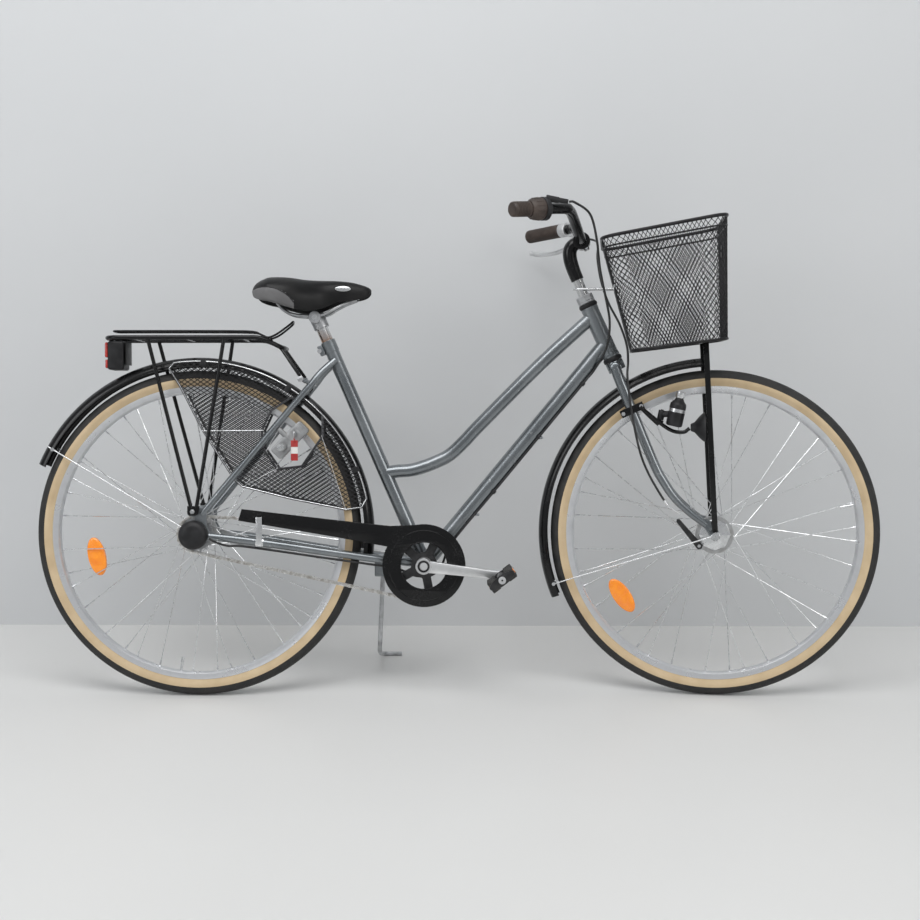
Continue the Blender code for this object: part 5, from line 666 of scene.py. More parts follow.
silver_paint, shader, place = new_finish("silver_grey_metallic")
flake = place.node("TexVoronoi", {}, {"Vector": place, "Scale": 1400.0}, 1)
flake_light = flake.node("SeparateColor", {}, {0: flake}, 0)
handling = place.noise(9.0).spread(0.35, 0.70)
scratches = place.noise(140.0, 6.0).spread(0.66, 0.74)
wire_up(shader, {
    "Base Color": scratches.colours((flake_light * 0.35 + handling * 0.5).colours(
        (0.150, 0.166, 0.178), (0.30, 0.32, 0.335)), (0.42, 0.43, 0.44)),
    "Metallic": 0.85, "Roughness": handling.spread(0.0, 1.0, 0.24, 0.32),
    "Coat Weight": 0.55, "Coat Roughness": 0.06,
    "Normal": (flake_light * 0.6 + place.noise(45.0) * 0.4).bump(0.00012, 0.35),
})
SEAT_BOLT_AT = 0.5090
DOWN_TUBE_TOP = on_steering(0.446)
frame_shapes = [
    rod([on_seat(-0.004), on_seat(0.5226)], 0.0148, 32),
    rod(smooth_line(MAIN_TUBE), 0.0142, 32),
    rod([BRACKET, DOWN_TUBE_TOP], 0.0172, 36),
    lathe(((0.4160, 0.0153), (0.4160, 0.0184), (0.4200, 0.0190), (0.4240, 0.0184), (0.4260, 0.0180),
           (0.5220, 0.0180), (0.5240, 0.0184), (0.5280, 0.0190), (0.5320, 0.0184), (0.5320, 0.0153)),
          HEAD_FRAME, 48, True),
    bush(-0.0340, 0.0340, 0.0174, 0.0202, (0.0010, 0.0006), axis_frame(BRACKET, SIDEWAYS), 48),
    bolt(BRACKET, SEAT_AXIS, (0.4960, 0.4965, 0.5222, 0.5226),
         [0.0150, 0.0160, 0.0160, 0.0152], 32),
    *[block((0.0110, 0.0070, 0.022),
            axis_frame(on_seat(SEAT_BOLT_AT, -0.0200, y), SEAT_AXIS, FORWARD), 0.0015)
      for y in (0.0068, -0.0068)],
    rod([(0.2464, -0.034, 0.6705), (0.2464, 0.034, 0.6705)], 0.0055, 16),
    rod([(0.3960, -0.030, 0.2950), (0.3960, 0.030, 0.2950)], 0.0050, 16),
    block((0.034, 0.012, 0.046), (0.3922, 0.0385, 0.275), 0.003),
    rod([(0.3922, 0.038, 0.262), (0.3922, 0.0600, 0.262)], 0.0040, 16),
]
for side in (1, -1):
    stays = [CHAIN_STAY, SEAT_STAY] if side > 0 else [mirrored_line(CHAIN_STAY), mirrored_line(SEAT_STAY)]
    frame_shapes.append(rod(smooth_line(stays[0], 4), [0.0086] * 29, 20))
    frame_shapes.append(rod(smooth_line(stays[1], 4), [0.0076] * 25, 20))
    frame_shapes.append(plate(DROPOUT, 0.0050, side_frame(side * REAR_DROPOUT_Y), edge=0.0008))
    eye = Vector((0.2235, side * 0.0437, 0.6800))
    frame_shapes.append(bolt(eye, SIDEWAYS * side, (0.0, -0.0055), 0.0060, 16))
    frame_shapes.append(rod([eye - SIDEWAYS * side * 0.0046, (0.246, side * 0.0345, 0.6700)], 0.0042, 12))
for share in (0.25, 0.60):
    guide = BRACKET.lerp(DOWN_TUBE_TOP, share)
    ends = [guide + Vector(end) for end in ((0.0125, -0.0155, -0.0120), (0.0195, -0.0125, -0.0125))]
    frame_shapes.append(rod(ends, 0.0026, 10))
fit(joined(*frame_shapes), "frame_tubes", (silver_paint,), "frame", ["frame"])
bolt_at = on_seat(SEAT_BOLT_AT, -0.0235)
seat_bolt = joined(bolt(bolt_at, SIDEWAYS, (-0.0130, 0.0130), 0.0028, 14),
                   bolt(bolt_at, SIDEWAYS, (-0.0150, -0.0102), 0.0052, 6),
                   bolt(bolt_at, SIDEWAYS, (0.0102, 0.0150), 0.0052, 6))
fit(seat_bolt, "seat_bolt", (stainless,), "frame")

# The bearings: black pressed cups at both ends of the head tube, a zinc lock nut above them, and
# the cups of the sealed unit in the bracket shell. The fittings keep their solids.
black_plastic = worn_finish("moulded_black", (55.0, 0.35, 0.72),
                            ((0.009, 0.009, 0.010), (0.022, 0.022, 0.024)), (0.42, 0.58),
                            (700.0, 0.0002, 0.35), (0.6, 0.4), Specular_IOR_Level=0.35)
zinc = worn_finish("zinc_plating", (70.0, 0.35, 0.72), ((0.52, 0.53, 0.545), (0.33, 0.335, 0.34)),
                   (0.34, 0.52), (420.0, 0.00015, 0.35), Metallic=0.9)
cups = joined(
    lathe(((0.4055, 0.0135), (0.4055, 0.0196), (0.4070, 0.0205), (0.4125, 0.0205), (0.4138, 0.0196),
           (0.4157, 0.0186), (0.4157, 0.0135)), HEAD_FRAME, 48, True),
    lathe(((0.5323, 0.0135), (0.5323, 0.0186), (0.5342, 0.0196), (0.5355, 0.0205), (0.5390, 0.0205),
           (0.5400, 0.0192), (0.5418, 0.0190), (0.5418, 0.0135)), HEAD_FRAME, 48, True))
fit(cups, "headset_cups", (black_plastic,), "frame", ["headset"])


def refinish(names, finish):
    """Give solids that stay as they are their finish."""
    for name in names:
        node = frame["nodes"][name]
        node.data.materials.clear()
        node.data.materials.append(finish)
        select_only(node)
        bpy.ops.object.shade_smooth_by_angle(angle=math.radians(32.0))


refinish(["bottom_bracket", "rear_brake_arm", "crank_spindle", "sprocket"], zinc)
refinish(["rear_axle", "front_axle", "lock_bolt"], stainless)
hub_cap = lathe(((-0.0925, 0.0), (-0.0925, 0.0180), (-0.0920, 0.0200), (-0.0895, 0.0268), (-0.0850, 0.0298),
                 (-0.0825, 0.0308), (-0.0795, 0.0308), (-0.0795, 0.0300), (-0.0785, 0.0300),
                 (-0.0785, 0.0308), (-0.0700, 0.0308), (-0.0690, 0.0300), (-0.0690, 0.0080),
                 (-0.0885, 0.0080), (-0.0885, 0.0)), axis_frame(REAR_AXLE, SIDEWAYS), 56)
fit(hub_cap, "hub_end_cap", (black_plastic,), "frame", ["rear_hub_cover"])

# The fork: two tapered blades raked forward from a round crown, painted with the frame, with
# pressed plates at the tips.
CROWN_HEIGHT = 0.3915
BLADE = ((CROWN_HEIGHT, -0.002, 0.0370), (0.350, -0.005, 0.0385), (0.178, -0.0115, 0.0440),
         (0.125, -0.0085, 0.0460), (0.085, -0.0010, 0.0475), (0.045, 0.0150, 0.0490),
         (0.008, 0.0350, 0.0500))
BLADE_RADII = (0.0118, 0.0118, 0.0105, 0.0098, 0.0092, 0.0082, 0.0070)
AXLE_HEIGHT = (FRONT_AXLE - STEER_FOOT).dot(STEER_AXIS)
TIP = ((0.0456, -0.0118), (0.0300, 0.0060), (0.0060, 0.0105), (-0.0040, 0.0103), (-0.0092, 0.0068),
       (-0.0115, 0.0), (-0.0092, -0.0068), (-0.0040, -0.0103), (0.0060, -0.0110), (0.0220, -0.0135),
       (0.0408, -0.0206))


def disc(radius, centre=(0.0, 0.0), steps=32):
    return [(centre[0] + radius * math.cos(math.tau * i / steps),
             centre[1] + radius * math.sin(math.tau * i / steps)) for i in range(steps)]


def arc(radius, degrees, centre=(0.0, 0.0)):
    """Points of an arc in a drawing plane, one for each of the angles."""
    return [(centre[0] + radius * math.cos(math.radians(d)), centre[1] + radius * math.sin(math.radians(d)))
            for d in degrees]


fork_shapes = [
    rod([on_steering(0.392), on_steering(0.556)], 0.0127, 32),
    rod([on_steering(0.3835), on_steering(0.3845), on_steering(0.4030), on_steering(0.4052)],
        [0.0178, 0.0192, 0.0192, 0.0182], 32),
    rod([on_steering(CROWN_HEIGHT, -0.001 if abs(y) < 0.04 else -0.002, y)
         for y in (-0.0430, -0.0410, -0.030, 0.030, 0.0410, 0.0430)],
        [0.0070, 0.0105, 0.0120, 0.0120, 0.0105, 0.0070], 28),
]
for side in (1, -1):
    knots = smooth_line([on_steering(h, f, side * y) for h, f, y in BLADE], 5)
    radii = [BLADE_RADII[i // 5] + (BLADE_RADII[min(6, i // 5 + 1)] - BLADE_RADII[i // 5]) * (i % 5) / 5
             for i in range(len(knots))]
    fork_shapes.append(rod(knots, radii, 24))
    seat = axis_frame(on_steering(AXLE_HEIGHT, FORK_OFFSET, side * 0.0500), SIDEWAYS, STEER_AXIS)
    fork_shapes.append(plate(TIP, 0.0040, seat, [disc(0.0053)], 0.0007))
fit(joined(*fork_shapes), "fork_blades", (silver_paint,), "steering", ["fork"],
    STEERED)

# The mudguards: rolled steel strips in gloss black, arched and with wired edges, with bright wire
# stays down to the axles.
black_enamel, shader, place = new_finish("gloss_black_enamel")
dust = place.noise(17.0).spread(0.42, 0.80)
fine_dust = place.noise(260.0, 5.0).spread(0.50, 0.70)
wire_up(shader, {"Base Color": (dust * fine_dust).colours((0.0030, 0.0030, 0.0034), (0.018, 0.018, 0.019)),
                 "Roughness": (dust * 0.6 + fine_dust * 0.4).spread(0.0, 1.0, 0.17, 0.36),
                 "Specular IOR Level": 0.30, "Coat Weight": 0.10, "Coat Roughness": 0.08,
                 "Normal": (place.noise(34.0) * 0.7 + place.noise(500.0) * 0.3).bump(0.00025, 0.3)})
GUARD_HALF = 0.0225
SHEET = 0.0011
REAR_STAY_ANGLE = 150.0
FRONT_STAY_ANGLE = 198.0


def mudguard(centre, radius, depth, start, end, steps):
    """An arched strip swept round the wheel, its long edges rolled over a wire."""
    section = []
    for degrees in range(-90, 91, 10):
        turn = math.radians(degrees)
        section.append((GUARD_HALF * math.sin(turn), radius - depth + depth * math.cos(turn)))
    for degrees in range(90, -91, -10):
        turn = math.radians(degrees)
        section.append(((GUARD_HALF - SHEET) * math.sin(turn),
                        radius - depth + (depth - SHEET) * math.cos(turn)))
    line = draw_line([[(r, 0.0, across) for across, r in section]], True)
    line.data.dimensions = "3D"
    strip = meshed(line)
    bpy.ops.object.mode_set(mode="EDIT")
    bpy.ops.mesh.select_all(action="SELECT")
    bpy.ops.mesh.edge_face_add()
    bpy.ops.mesh.spin(steps=steps, angle=math.radians(end - start), center=(0.0, 0.0, 0.0),
                      axis=(0.0, 0.0, 1.0))
    bpy.ops.object.mode_set(mode="OBJECT")
    weld(strip)
    first = math.radians(start)
    strip.data.transform(axis_frame(centre, SIDEWAYS, (math.cos(first), 0.0, math.sin(first))))
    edges = [rod([around(centre, radius - depth + 0.0004, start + (end - start) * i / 60,
                         side * (GUARD_HALF - 0.0004)) for i in range(61)], 0.0011, 8) for side in (1, -1)]
    return joined(strip, *edges)


rear_guard = mudguard(REAR_AXLE, radius=0.378, depth=0.020, start=156.6, end=-7.0, steps=110)
spacers = [rod([Vector(bridge).lerp(REAR_AXLE, share) for share in (0.02, reach)], 0.0065, 16)
           for bridge, reach in (((0.2464, 0.0, 0.6705), 0.0485), ((0.3960, 0.0, 0.2950), 0.04))]
fit(joined(rear_guard, *spacers), "rear_mudguard_strip", (black_enamel,), "frame",
    ["rear_mudguard"])
stay_wires = []
for side in (1, -1):
    hold = around(REAR_AXLE, 0.3605, REAR_STAY_ANGLE, side * 0.0222)
    foot = around(REAR_AXLE, 0.012, REAR_STAY_ANGLE, side * 0.0660)
    stay_wires.append(rod([hold + (hold - foot).normalized() * 0.012, hold, foot], 0.0015, 10))
    stay_wires.append(washer(-0.0008, 0.0008, 0.0052, 0.0120,
                             axis_frame(REAR_AXLE + SIDEWAYS * side * 0.0660, SIDEWAYS), 24))
    stay_wires.append(bolt(hold, SIDEWAYS * side, (-0.0015, 0.0035), 0.0040, 12))
fit(joined(*stay_wires), "rear_mudguard_stays", (stainless,), "frame")
front_guard = mudguard(FRONT_AXLE, radius=0.376, depth=0.018, start=202.4, end=92.2, steps=80)
crown = on_steering(CROWN_HEIGHT, -0.001)
inward = (FRONT_AXLE - crown).normalized()
crown_spacer = bolt(crown, inward, (0.0123, (FRONT_AXLE - crown).length - 0.3740), 0.0070, 20)
fit(joined(front_guard, crown_spacer), "front_mudguard_strip", (black_enamel,), "steering",
    ["front_mudguard"], STEERED)
stay_wires = []
for side in (1, -1):
    eye = FRONT_AXLE + SIDEWAYS * side * 0.0538
    stay_wires.append(rod([around(eye, 0.0080, FRONT_STAY_ANGLE), around(eye, 0.0600, FRONT_STAY_ANGLE),
                           around(FRONT_AXLE, 0.3600, FRONT_STAY_ANGLE, side * 0.0212)], 0.0015, 10))
    stay_wires.append(washer(-0.0014, 0.0014, 0.0053, 0.0095, axis_frame(eye, SIDEWAYS), 24))
    stay_end = around(FRONT_AXLE, 0.3600, FRONT_STAY_ANGLE)
    stay_wires.append(bolt(stay_end, SIDEWAYS * side, (0.0205, 0.0262), 0.0038, 12))
fit(joined(*stay_wires), "front_mudguard_stays", (stainless,), "steering", pose=STEERED)

# The chain guard: a pressed black shell over the upper run, with a ring round the chainring and a
# bright strap and bolt on the chain stay.
CHAINRING_AT = (BRACKET.x, BRACKET.z)
GUARD_FACE = -0.0594
GUARD_HEM = -0.0582
GUARD_WALL = -0.0552
GUARD_OUTLINE = [(0.093, 0.3800), (0.100, 0.4030), (0.300, 0.3795), (0.415, 0.3670)]
GUARD_OUTLINE += arc(0.087, [100.0 - i * 308.0 / 48 for i in range(49)], CHAINRING_AT)
GUARD_OUTLINE.append((0.300, 0.3455))
hole = disc(0.049, CHAINRING_AT, 64)
face = plate(GUARD_OUTLINE, 0.0012, side_frame(GUARD_FACE), [hole], 0.0004)
hem = rod([(u, GUARD_HEM, v) for u, v in GUARD_OUTLINE], 0.0012, 8, True)
bead, outer_bead = [rod([(u, y, v) for u, v in disc(reach, CHAINRING_AT, 64)], radius, 10, True)
                    for reach, y, radius in ((0.0502, -0.0598, 0.0014), (0.0745, -0.0597, 0.0013))]
walls = []
for a, b in zip(GUARD_OUTLINE, GUARD_OUTLINE[1:] + GUARD_OUTLINE[:1]):
    run = Vector((b[0] - a[0], 0.0, b[1] - a[1]))
    middle = Vector(((a[0] + b[0]) / 2, GUARD_WALL, (a[1] + b[1]) / 2))
    wall_frame = axis_frame(middle, run, run.cross(SIDEWAYS))
    walls.append(block((0.0012, 0.0090, run.length + 0.0008), wall_frame, 0.0003, 1))
fit(joined(face, hem, bead, outer_bead, *walls), "chain_guard_shell", (black_enamel,), "frame",
    ["chain_guard"])
strap = joined(block((0.0130, 0.0016, 0.062), (0.137, -0.0653, 0.3560), 0.0005, 2),
               rod([(0.137, -0.0666, 0.3800), (0.137, -0.0600, 0.3800)], 0.0050, 16),
               washer(-0.0082, 0.0082, 0.0094, 0.0104,
                      axis_frame((0.137, -0.0545, 0.3335), (0.99, 0.08, -0.12)), 32))
fit(strap, "chain_guard_strap", (stainless,), "frame")

# The skirt nets: a fine black net moulded in diamonds, bound with tape and stretched by a bright
# border wire. The window in each leaves room for the lock. Tabs grip the edge of the mudguard.
SKIRT_AT = 0.0234
NET_PITCH = 0.0076
NET_CORD = 0.0010
LOCK_WINDOW = [(0.141, 0.5350), (0.141, 0.5710), (0.160, 0.6120), (0.200, 0.6380), (0.240, 0.6320),
               (0.265, 0.6040), (0.266, 0.5600), (0.222, 0.4960), (0.172, 0.4900)]
SKIRT_OUTLINE = arc(0.372, [98.0 - i * 86.5 / 40 for i in range(41)], (0.0, WHEEL_RADIUS))
SKIRT_OUTLINE += [(0.353, 0.4040), (0.318, 0.3990), (0.201, 0.4220), (0.094, 0.4490), (0.077, 0.4640),
                  (0.009, 0.5700), (-0.040, 0.6660), (-0.064, 0.7040)]


def drawn_in(loop, by):
    """An outline moved towards its own middle, each corner by the same distance."""
    corners = [Vector(p) for p in loop]
    area = sum(a.x * b.y - b.x * a.y for a, b in zip(corners, corners[1:] + corners[:1]))
    turn = 1.0 if area > 0 else -1.0
    moved = []
    for a, b, c in zip(corners[-1:] + corners[:-1], corners, corners[1:] + corners[:1]):
        first, second = (b - a).normalized(), (c - b).normalized()
        inward = Vector((-first.y - second.y, first.x + second.x)) * turn
        moved.append(tuple(b + inward * (2 * by / inward.length_squared)))
    return moved


def strands(loops, direction, pitch, start=0.0):
    """Parallel strands across an area, cut where they meet its outline or a window in it."""
    along = Vector(direction).normalized()
    across = Vector((-along.y, along.x))
    edges = [(Vector(a), Vector(b)) for loop in loops for a, b in zip(loop, loop[1:] + loop[:1])]
    offsets = [p.dot(across) for pair in edges for p in pair]
    runs = []
    offset = min(offsets) + pitch * (0.5 + start)
    while offset < max(offsets):
        meets = []
        for a, b in edges:
            near, far = a.dot(across) - offset, b.dot(across) - offset
            if (near > 0) != (far > 0):
                meets.append(a.lerp(b, near / (near - far)).dot(along))
        meets.sort()
        for low, high in zip(meets[::2], meets[1::2]):
            if high - low > pitch * 0.3:
                runs.append((along * low + across * offset, along * high + across * offset))
        offset += pitch
    return runs


def tubes(runs, radius, sides=6):
    """Many thin round strands at once."""
    lines = draw_line(runs)
    lines.data.dimensions = "3D"
    lines.data.bevel_depth = radius
    lines.data.bevel_resolution = max(0, sides // 2 - 2)
    lines.data.use_fill_caps = True
    return meshed(lines)


net_cord, shader, place = new_finish("net_cord")
twist = place.node("Mapping", {}, {"Vector": place, "Rotation": (0.0, 0.8, 0.0)})
lay = twist.node("TexWave", {"wave_type": "BANDS", "bands_direction": "X"},
                 {"Vector": twist, "Scale": 420.0, "Distortion": 1.5}, 1)
sun = place.noise(12.0).spread(0.35, 0.70)
wire_up(shader, {"Base Color": sun.colours((0.010, 0.010, 0.011), (0.030, 0.030, 0.032)),
                 "Specular IOR Level": 0.30, "Roughness": sun.spread(0.0, 1.0, 0.55, 0.72),
                 "Normal": lay.bump(0.0003, 0.4)})
hem_tape, shader, place = new_finish("hem_tape")
weave = place.node("TexWave", {"wave_type": "BANDS", "bands_direction": "DIAGONAL"},
                   {"Vector": place, "Scale": 520.0, "Distortion": 0.6}, 1)
fade = place.noise(16.0).spread(0.35, 0.70)
wire_up(shader, {"Base Color": fade.colours((0.030, 0.030, 0.033), (0.075, 0.075, 0.080)),
                 "Roughness": fade.spread(0.0, 1.0, 0.62, 0.80), "Normal": weave.bump(0.0003, 0.35)})
for side, label in ((-1, "right"), (1, "left")):
    sheet = side_frame(side * SKIRT_AT)
    edge, window = drawn_in(SKIRT_OUTLINE, 0.0022), drawn_in(LOCK_WINDOW, -0.0016)
    runs = []
    for turn, way in enumerate(((1.0, 0.66), (-1.0, 0.66))):
        for a, b in strands([edge, window], way, NET_PITCH):
            runs.append([sheet @ Vector((p.x, p.y, (turn - 0.5) * 0.0006)) for p in (a, b)])
    net = tubes(runs, NET_CORD)
    fit(net, "skirt_net_" + label, (net_cord,), "frame", ["skirt_guard_" + label])
    tapes = joined(plate(SKIRT_OUTLINE, 0.0011, sheet, [drawn_in(SKIRT_OUTLINE, 0.0050)], 0.0003),
                   plate(drawn_in(LOCK_WINDOW, -0.0050), 0.0011, sheet, [LOCK_WINDOW], 0.0003))
    fit(tapes, "skirt_tape_" + label, (hem_tape,), "frame")
    border = [sheet @ Vector((u, v, 0.0)) for u, v in drawn_in(SKIRT_OUTLINE, 0.0026)]
    outside = SIDEWAYS * side * 0.0006
    wires = [rod([p + outside for p in border], 0.0009, 8, True)]
    for fold in (((0.009, 0.5700), (0.141, 0.5710)), ((0.094, 0.4490), (0.172, 0.4900)),
                 ((0.318, 0.3990), (0.266, 0.5600))):
        wires.append(rod([sheet @ Vector((u, v, 0.0)) + outside for u, v in fold], 0.0007, 8))
    fit(joined(*wires), "skirt_wires_" + label, (stainless,), "frame")
    tabs = []
    for degrees in (88.0, 58.0, 22.0):
        at = around(REAR_AXLE, 0.3655, degrees, side * 0.0243)
        outward = around(REAR_AXLE, 1.0, degrees) - REAR_AXLE
        tab_frame = axis_frame(at, outward, SIDEWAYS.cross(outward))
        tabs.append(block((0.012, 0.0016, 0.016), tab_frame, 0.0005, 2))
    fit(joined(*tabs), "skirt_tabs_" + label, (black_plastic,), "frame")

# The carrier: bent and welded steel rod in gloss black. Two pairs of legs stand on lugs by the axle
# nuts, and two struts run to eyes on the seat stays.
DECK = 0.7680
DECK_HALF = 0.0560
DECK_REAR = -0.190
CARRIER_RAIL = ((0.186, 0.0, DECK - 0.021), (0.186, 0.020, DECK - 0.021), (0.180, 0.037, DECK - 0.0195),
                (0.160, 0.0505, DECK - 0.010), (0.135, DECK_HALF, DECK - 0.001), (0.100, DECK_HALF, DECK),
                (0.000, DECK_HALF, DECK), (-0.100, DECK_HALF, DECK), (-0.160, DECK_HALF, DECK),
                (-0.178, 0.0520, DECK), (-0.188, 0.0400, DECK), (DECK_REAR, 0.025, DECK),
                (DECK_REAR, 0.0, DECK))
FOOT_Y = 0.0722
CLIP_PIVOT = Vector((0.150, 0.0, DECK - 0.0040))
STRUT_EYE = Vector((0.2235, 0.0440, 0.6800))
half_rail = smooth_line(CARRIER_RAIL, 6)
carrier = [rod(both_sides(half_rail), 0.0049, 18, True)]
for x in (-0.130, -0.020, 0.100):
    carrier.append(rod([(x, -DECK_HALF, DECK), (x, DECK_HALF, DECK)], 0.0037, 14))
for y in (-0.020, 0.020):
    carrier.append(rod([(DECK_REAR, y, DECK), (0.100, y, DECK)], 0.0034, 14))
carrier.append(bolt(CLIP_PIVOT, SIDEWAYS, (-0.0530, 0.0530), 0.0029, 14))
for side in (1, -1):
    for top, foot in ((-0.100, -0.005), (0.063, 0.006)):
        carrier.append(rod([(top, side * DECK_HALF, DECK), (foot, side * FOOT_Y, 0.4060)], 0.0041, 14))
    carrier.append(plate(((-0.013, 0.4110), (-0.013, 0.3950), (-0.0115, 0.3920), (-0.009, 0.3905),
                          (0.004, 0.3905), (0.0085, 0.3930), (0.010, 0.3960), (0.013, 0.4110)), 0.0040,
                         side_frame(side * FOOT_Y), edge=0.0007))
    eye = Vector((STRUT_EYE.x, side * STRUT_EYE.y, STRUT_EYE.z))
    carrier.append(rod([(0.178, side * 0.030, DECK - 0.020), (0.184, side * 0.0345, DECK - 0.026),
                        eye + SIDEWAYS * side * 0.0046 + Vector((-0.002, 0.0, 0.008)),
                        eye + SIDEWAYS * side * 0.0046], 0.0036, 14))
fit(joined(*carrier), "carrier_rods", (black_enamel,), "frame", ["rack"])
bolts = []
for side in (1, -1):
    eye = Vector((STRUT_EYE.x, side * STRUT_EYE.y, STRUT_EYE.z))
    bolts.append(bolt(eye, SIDEWAYS * side, (0.0003, 0.0008, 0.0076, 0.0088),
                      [0.0062, 0.0068, 0.0068, 0.0050], 6))
    low = Vector((-0.002, 0.0, 0.3990))
    bolts.append(bolt(low, SIDEWAYS * side, (0.0654, 0.0700), 0.0050, 16))
    bolts.append(bolt(low, SIDEWAYS * side, (0.0740, 0.0770, 0.0781), [0.0052, 0.0052, 0.0038], 6))
fit(joined(*bolts), "carrier_bolts", (zinc,), "frame")

# The carrier's clip: a loop of spring wire with two sleeves rolled round the hinge pin, black too.
CLIP_UP = CLIP_PIVOT.z + 0.020
CLIP_SIDE = ((-0.182, 0.0, CLIP_UP), (-0.182, 0.012, CLIP_UP), (-0.178, 0.0195, CLIP_UP),
             (-0.168, 0.0220, CLIP_UP), (-0.100, 0.0220, CLIP_UP), (-0.020, 0.0220, CLIP_UP),
             (0.080, 0.0220, CLIP_UP - 0.0005), (0.120, 0.0220, CLIP_UP - 0.002),
             (0.136, 0.0220, CLIP_UP - 0.0080), (0.150, 0.0220, CLIP_UP - 0.0140),
             (0.163, 0.0220, CLIP_UP - 0.0105), (0.176, 0.0215, CLIP_UP - 0.003),
             (0.198, 0.0170, CLIP_UP + 0.0140), (0.203, 0.008, CLIP_UP + 0.020),
             (0.203, 0.0, CLIP_UP + 0.020))
clip_run = smooth_line(CLIP_SIDE, 5)
clip = [rod(both_sides(clip_run), 0.0023, 12, True)]
for side in (-0.0220, 0.0220):
    clip.append(bush(-0.0060, 0.0060, 0.0034, 0.0061, (0.0005, 0.0005),
                     axis_frame(CLIP_PIVOT + SIDEWAYS * side, SIDEWAYS), 28))
fit(joined(*clip), "carrier_clip_wire", (black_enamel,), "rack_clip", ["rack_clip"])

# The tail lamp: a black box on a pressed hanger, with a ribbed red lens at the rear and a
# reflector strip below it.
red_lens, shader, place = new_finish("red_lens")
prism = place.node("TexVoronoi", {"distance": "CHEBYCHEV"}, {"Vector": place, "Scale": 300.0})
deep = place.noise(60.0).spread(0.30, 0.70)
ribbed = (prism * 0.6 + deep * 0.4).colours((0.34, 0.012, 0.010), (0.56, 0.045, 0.030))
wire_up(shader, {"Base Color": ribbed,
                 "Roughness": deep.spread(0.0, 1.0, 0.10, 0.20), "Coat Weight": 1.0, "Coat Roughness": 0.04,
                 "Normal": prism.bump(0.0006, 0.6)})
LAMP_MIDDLE = Vector((-0.178, 0.0, 0.7317))
lamp_box = joined(block((0.0350, 0.0575, 0.0615), LAMP_MIDDLE + Vector((0.0032, 0.0, 0.0)), 0.005, 4),
                  block((0.0016, 0.050, 0.050), LAMP_MIDDLE + Vector((0.0250, 0.0, 0.005)), 0.0006, 2),
                  bolt(LAMP_MIDDLE, FORWARD, (0.017, 0.0255), 0.008, 20))
fit(lamp_box, "rear_lamp_box", (black_plastic,), "frame", ["rear_lamp"])
lens = joined(block((0.0070, 0.0520, 0.0330), LAMP_MIDDLE + Vector((-0.0172, 0.0, 0.0120)), 0.003, 4),
              block((0.0060, 0.0520, 0.0190), LAMP_MIDDLE + Vector((-0.0168, 0.0, -0.0180)), 0.003, 4))
fit(lens, "rear_lamp_lens", (red_lens,), "frame")

# The lock: a die-cast housing in dull grey on the right seat stay, ribbed across its face, with a
# round boss for the bolt. The key carries a soft red tag with a white band.
LOCK_OUT = Vector((math.cos(math.radians(45.0)), 0.0, math.sin(math.radians(45.0))))
LOCK_AHEAD = LOCK_OUT.cross(SIDEWAYS)
LOCK_MIDDLE = 0.283
KEY_OUT = 0.300
LOCK_FACE = -0.0300
LOCK_BACK = -0.0425


def on_lock(out, y, ahead=0.0):
    """A place on the lock, by distance from the axle, from the middle and ahead of its line."""
    return REAR_AXLE + LOCK_OUT * out + SIDEWAYS * y + LOCK_AHEAD * ahead


cast_grey = worn_finish("die_cast_grey", (90.0, 0.35, 0.72), ((0.30, 0.305, 0.31), (0.42, 0.425, 0.43)),
                        (0.42, 0.58), (800.0, 0.0002, 0.4), (0.7, 0.3), Metallic=0.55)
slab_outline = []
for start, along, beside in ((0, 1, 1), (90, -1, 1), (180, -1, -1), (270, 1, -1)):
    slab_outline += arc(0.0060, range(start, start + 91, 18), (along * 0.0385, beside * 0.0095))
housing = [plate(slab_outline, 0.0124, axis_frame(on_lock(LOCK_MIDDLE, -0.03625), SIDEWAYS, LOCK_OUT),
                 [disc(0.0049, (-0.021, 0.0))], 0.0030),
           lathe(((0.0, 0.0049), (0.0, 0.0090), (-0.0180, 0.0090), (-0.0230, 0.0086), (-0.0245, 0.0078),
                  (-0.0245, 0.0049)), axis_frame(on_lock(0.262, LOCK_FACE), SIDEWAYS), 36, True),
           rod([on_lock(LOCK_MIDDLE, -0.0362), on_lock(LOCK_MIDDLE, -0.0385, 0.020),
                on_lock(LOCK_MIDDLE, -0.0399, 0.0345)], [0.0060, 0.0060, 0.0056], 18),
           lathe(((-0.0120, 0.0044), (-0.0120, 0.0078), (-0.0134, 0.0074), (-0.0134, 0.0044)),
                 axis_frame(on_lock(KEY_OUT, LOCK_FACE), SIDEWAYS), 28, True)]
for step in range(5):
    at = on_lock(0.3125 + step * 0.0034, LOCK_BACK - 0.0001)
    housing.append(block((0.0012, 0.0240, 0.0016), axis_frame(at, LOCK_OUT, SIDEWAYS), 0.0004, 1))
fit(joined(*housing), "lock_housing", (cast_grey,), "frame", ["wheel_lock"])
bow_at = on_lock(KEY_OUT, LOCK_BACK - 0.018)
key = joined(rod([on_lock(KEY_OUT, LOCK_BACK + 0.0050), on_lock(KEY_OUT, LOCK_BACK - 0.0105)], 0.0036, 16),
             plate(disc(0.0098), 0.0022, axis_frame(bow_at, FORWARD, SIDEWAYS),
                   [disc(0.0035, (0.0, -0.004))], 0.0005))
fit(key, "lock_key_blade", (zinc,), "lock_key", ["lock_key"])
tag_vinyl, shader, place = new_finish("tag_vinyl")
height = place.part(2)
wear = place.noise(70.0).spread(0.35, 0.70)
tag_top = (PARKED @ bow_at).z
band = (height > tag_top - 0.0400) * (height < tag_top - 0.0260)
wire_up(shader,
        {"Base Color": band.colours(wear.colours((0.46, 0.035, 0.030), (0.34, 0.028, 0.026)),
                                    wear.colours((0.78, 0.77, 0.74), (0.62, 0.61, 0.58))),
         "Roughness": wear.spread(0.0, 1.0, 0.38, 0.55), "Normal": place.noise(400.0).bump(0.0002, 0.3)})
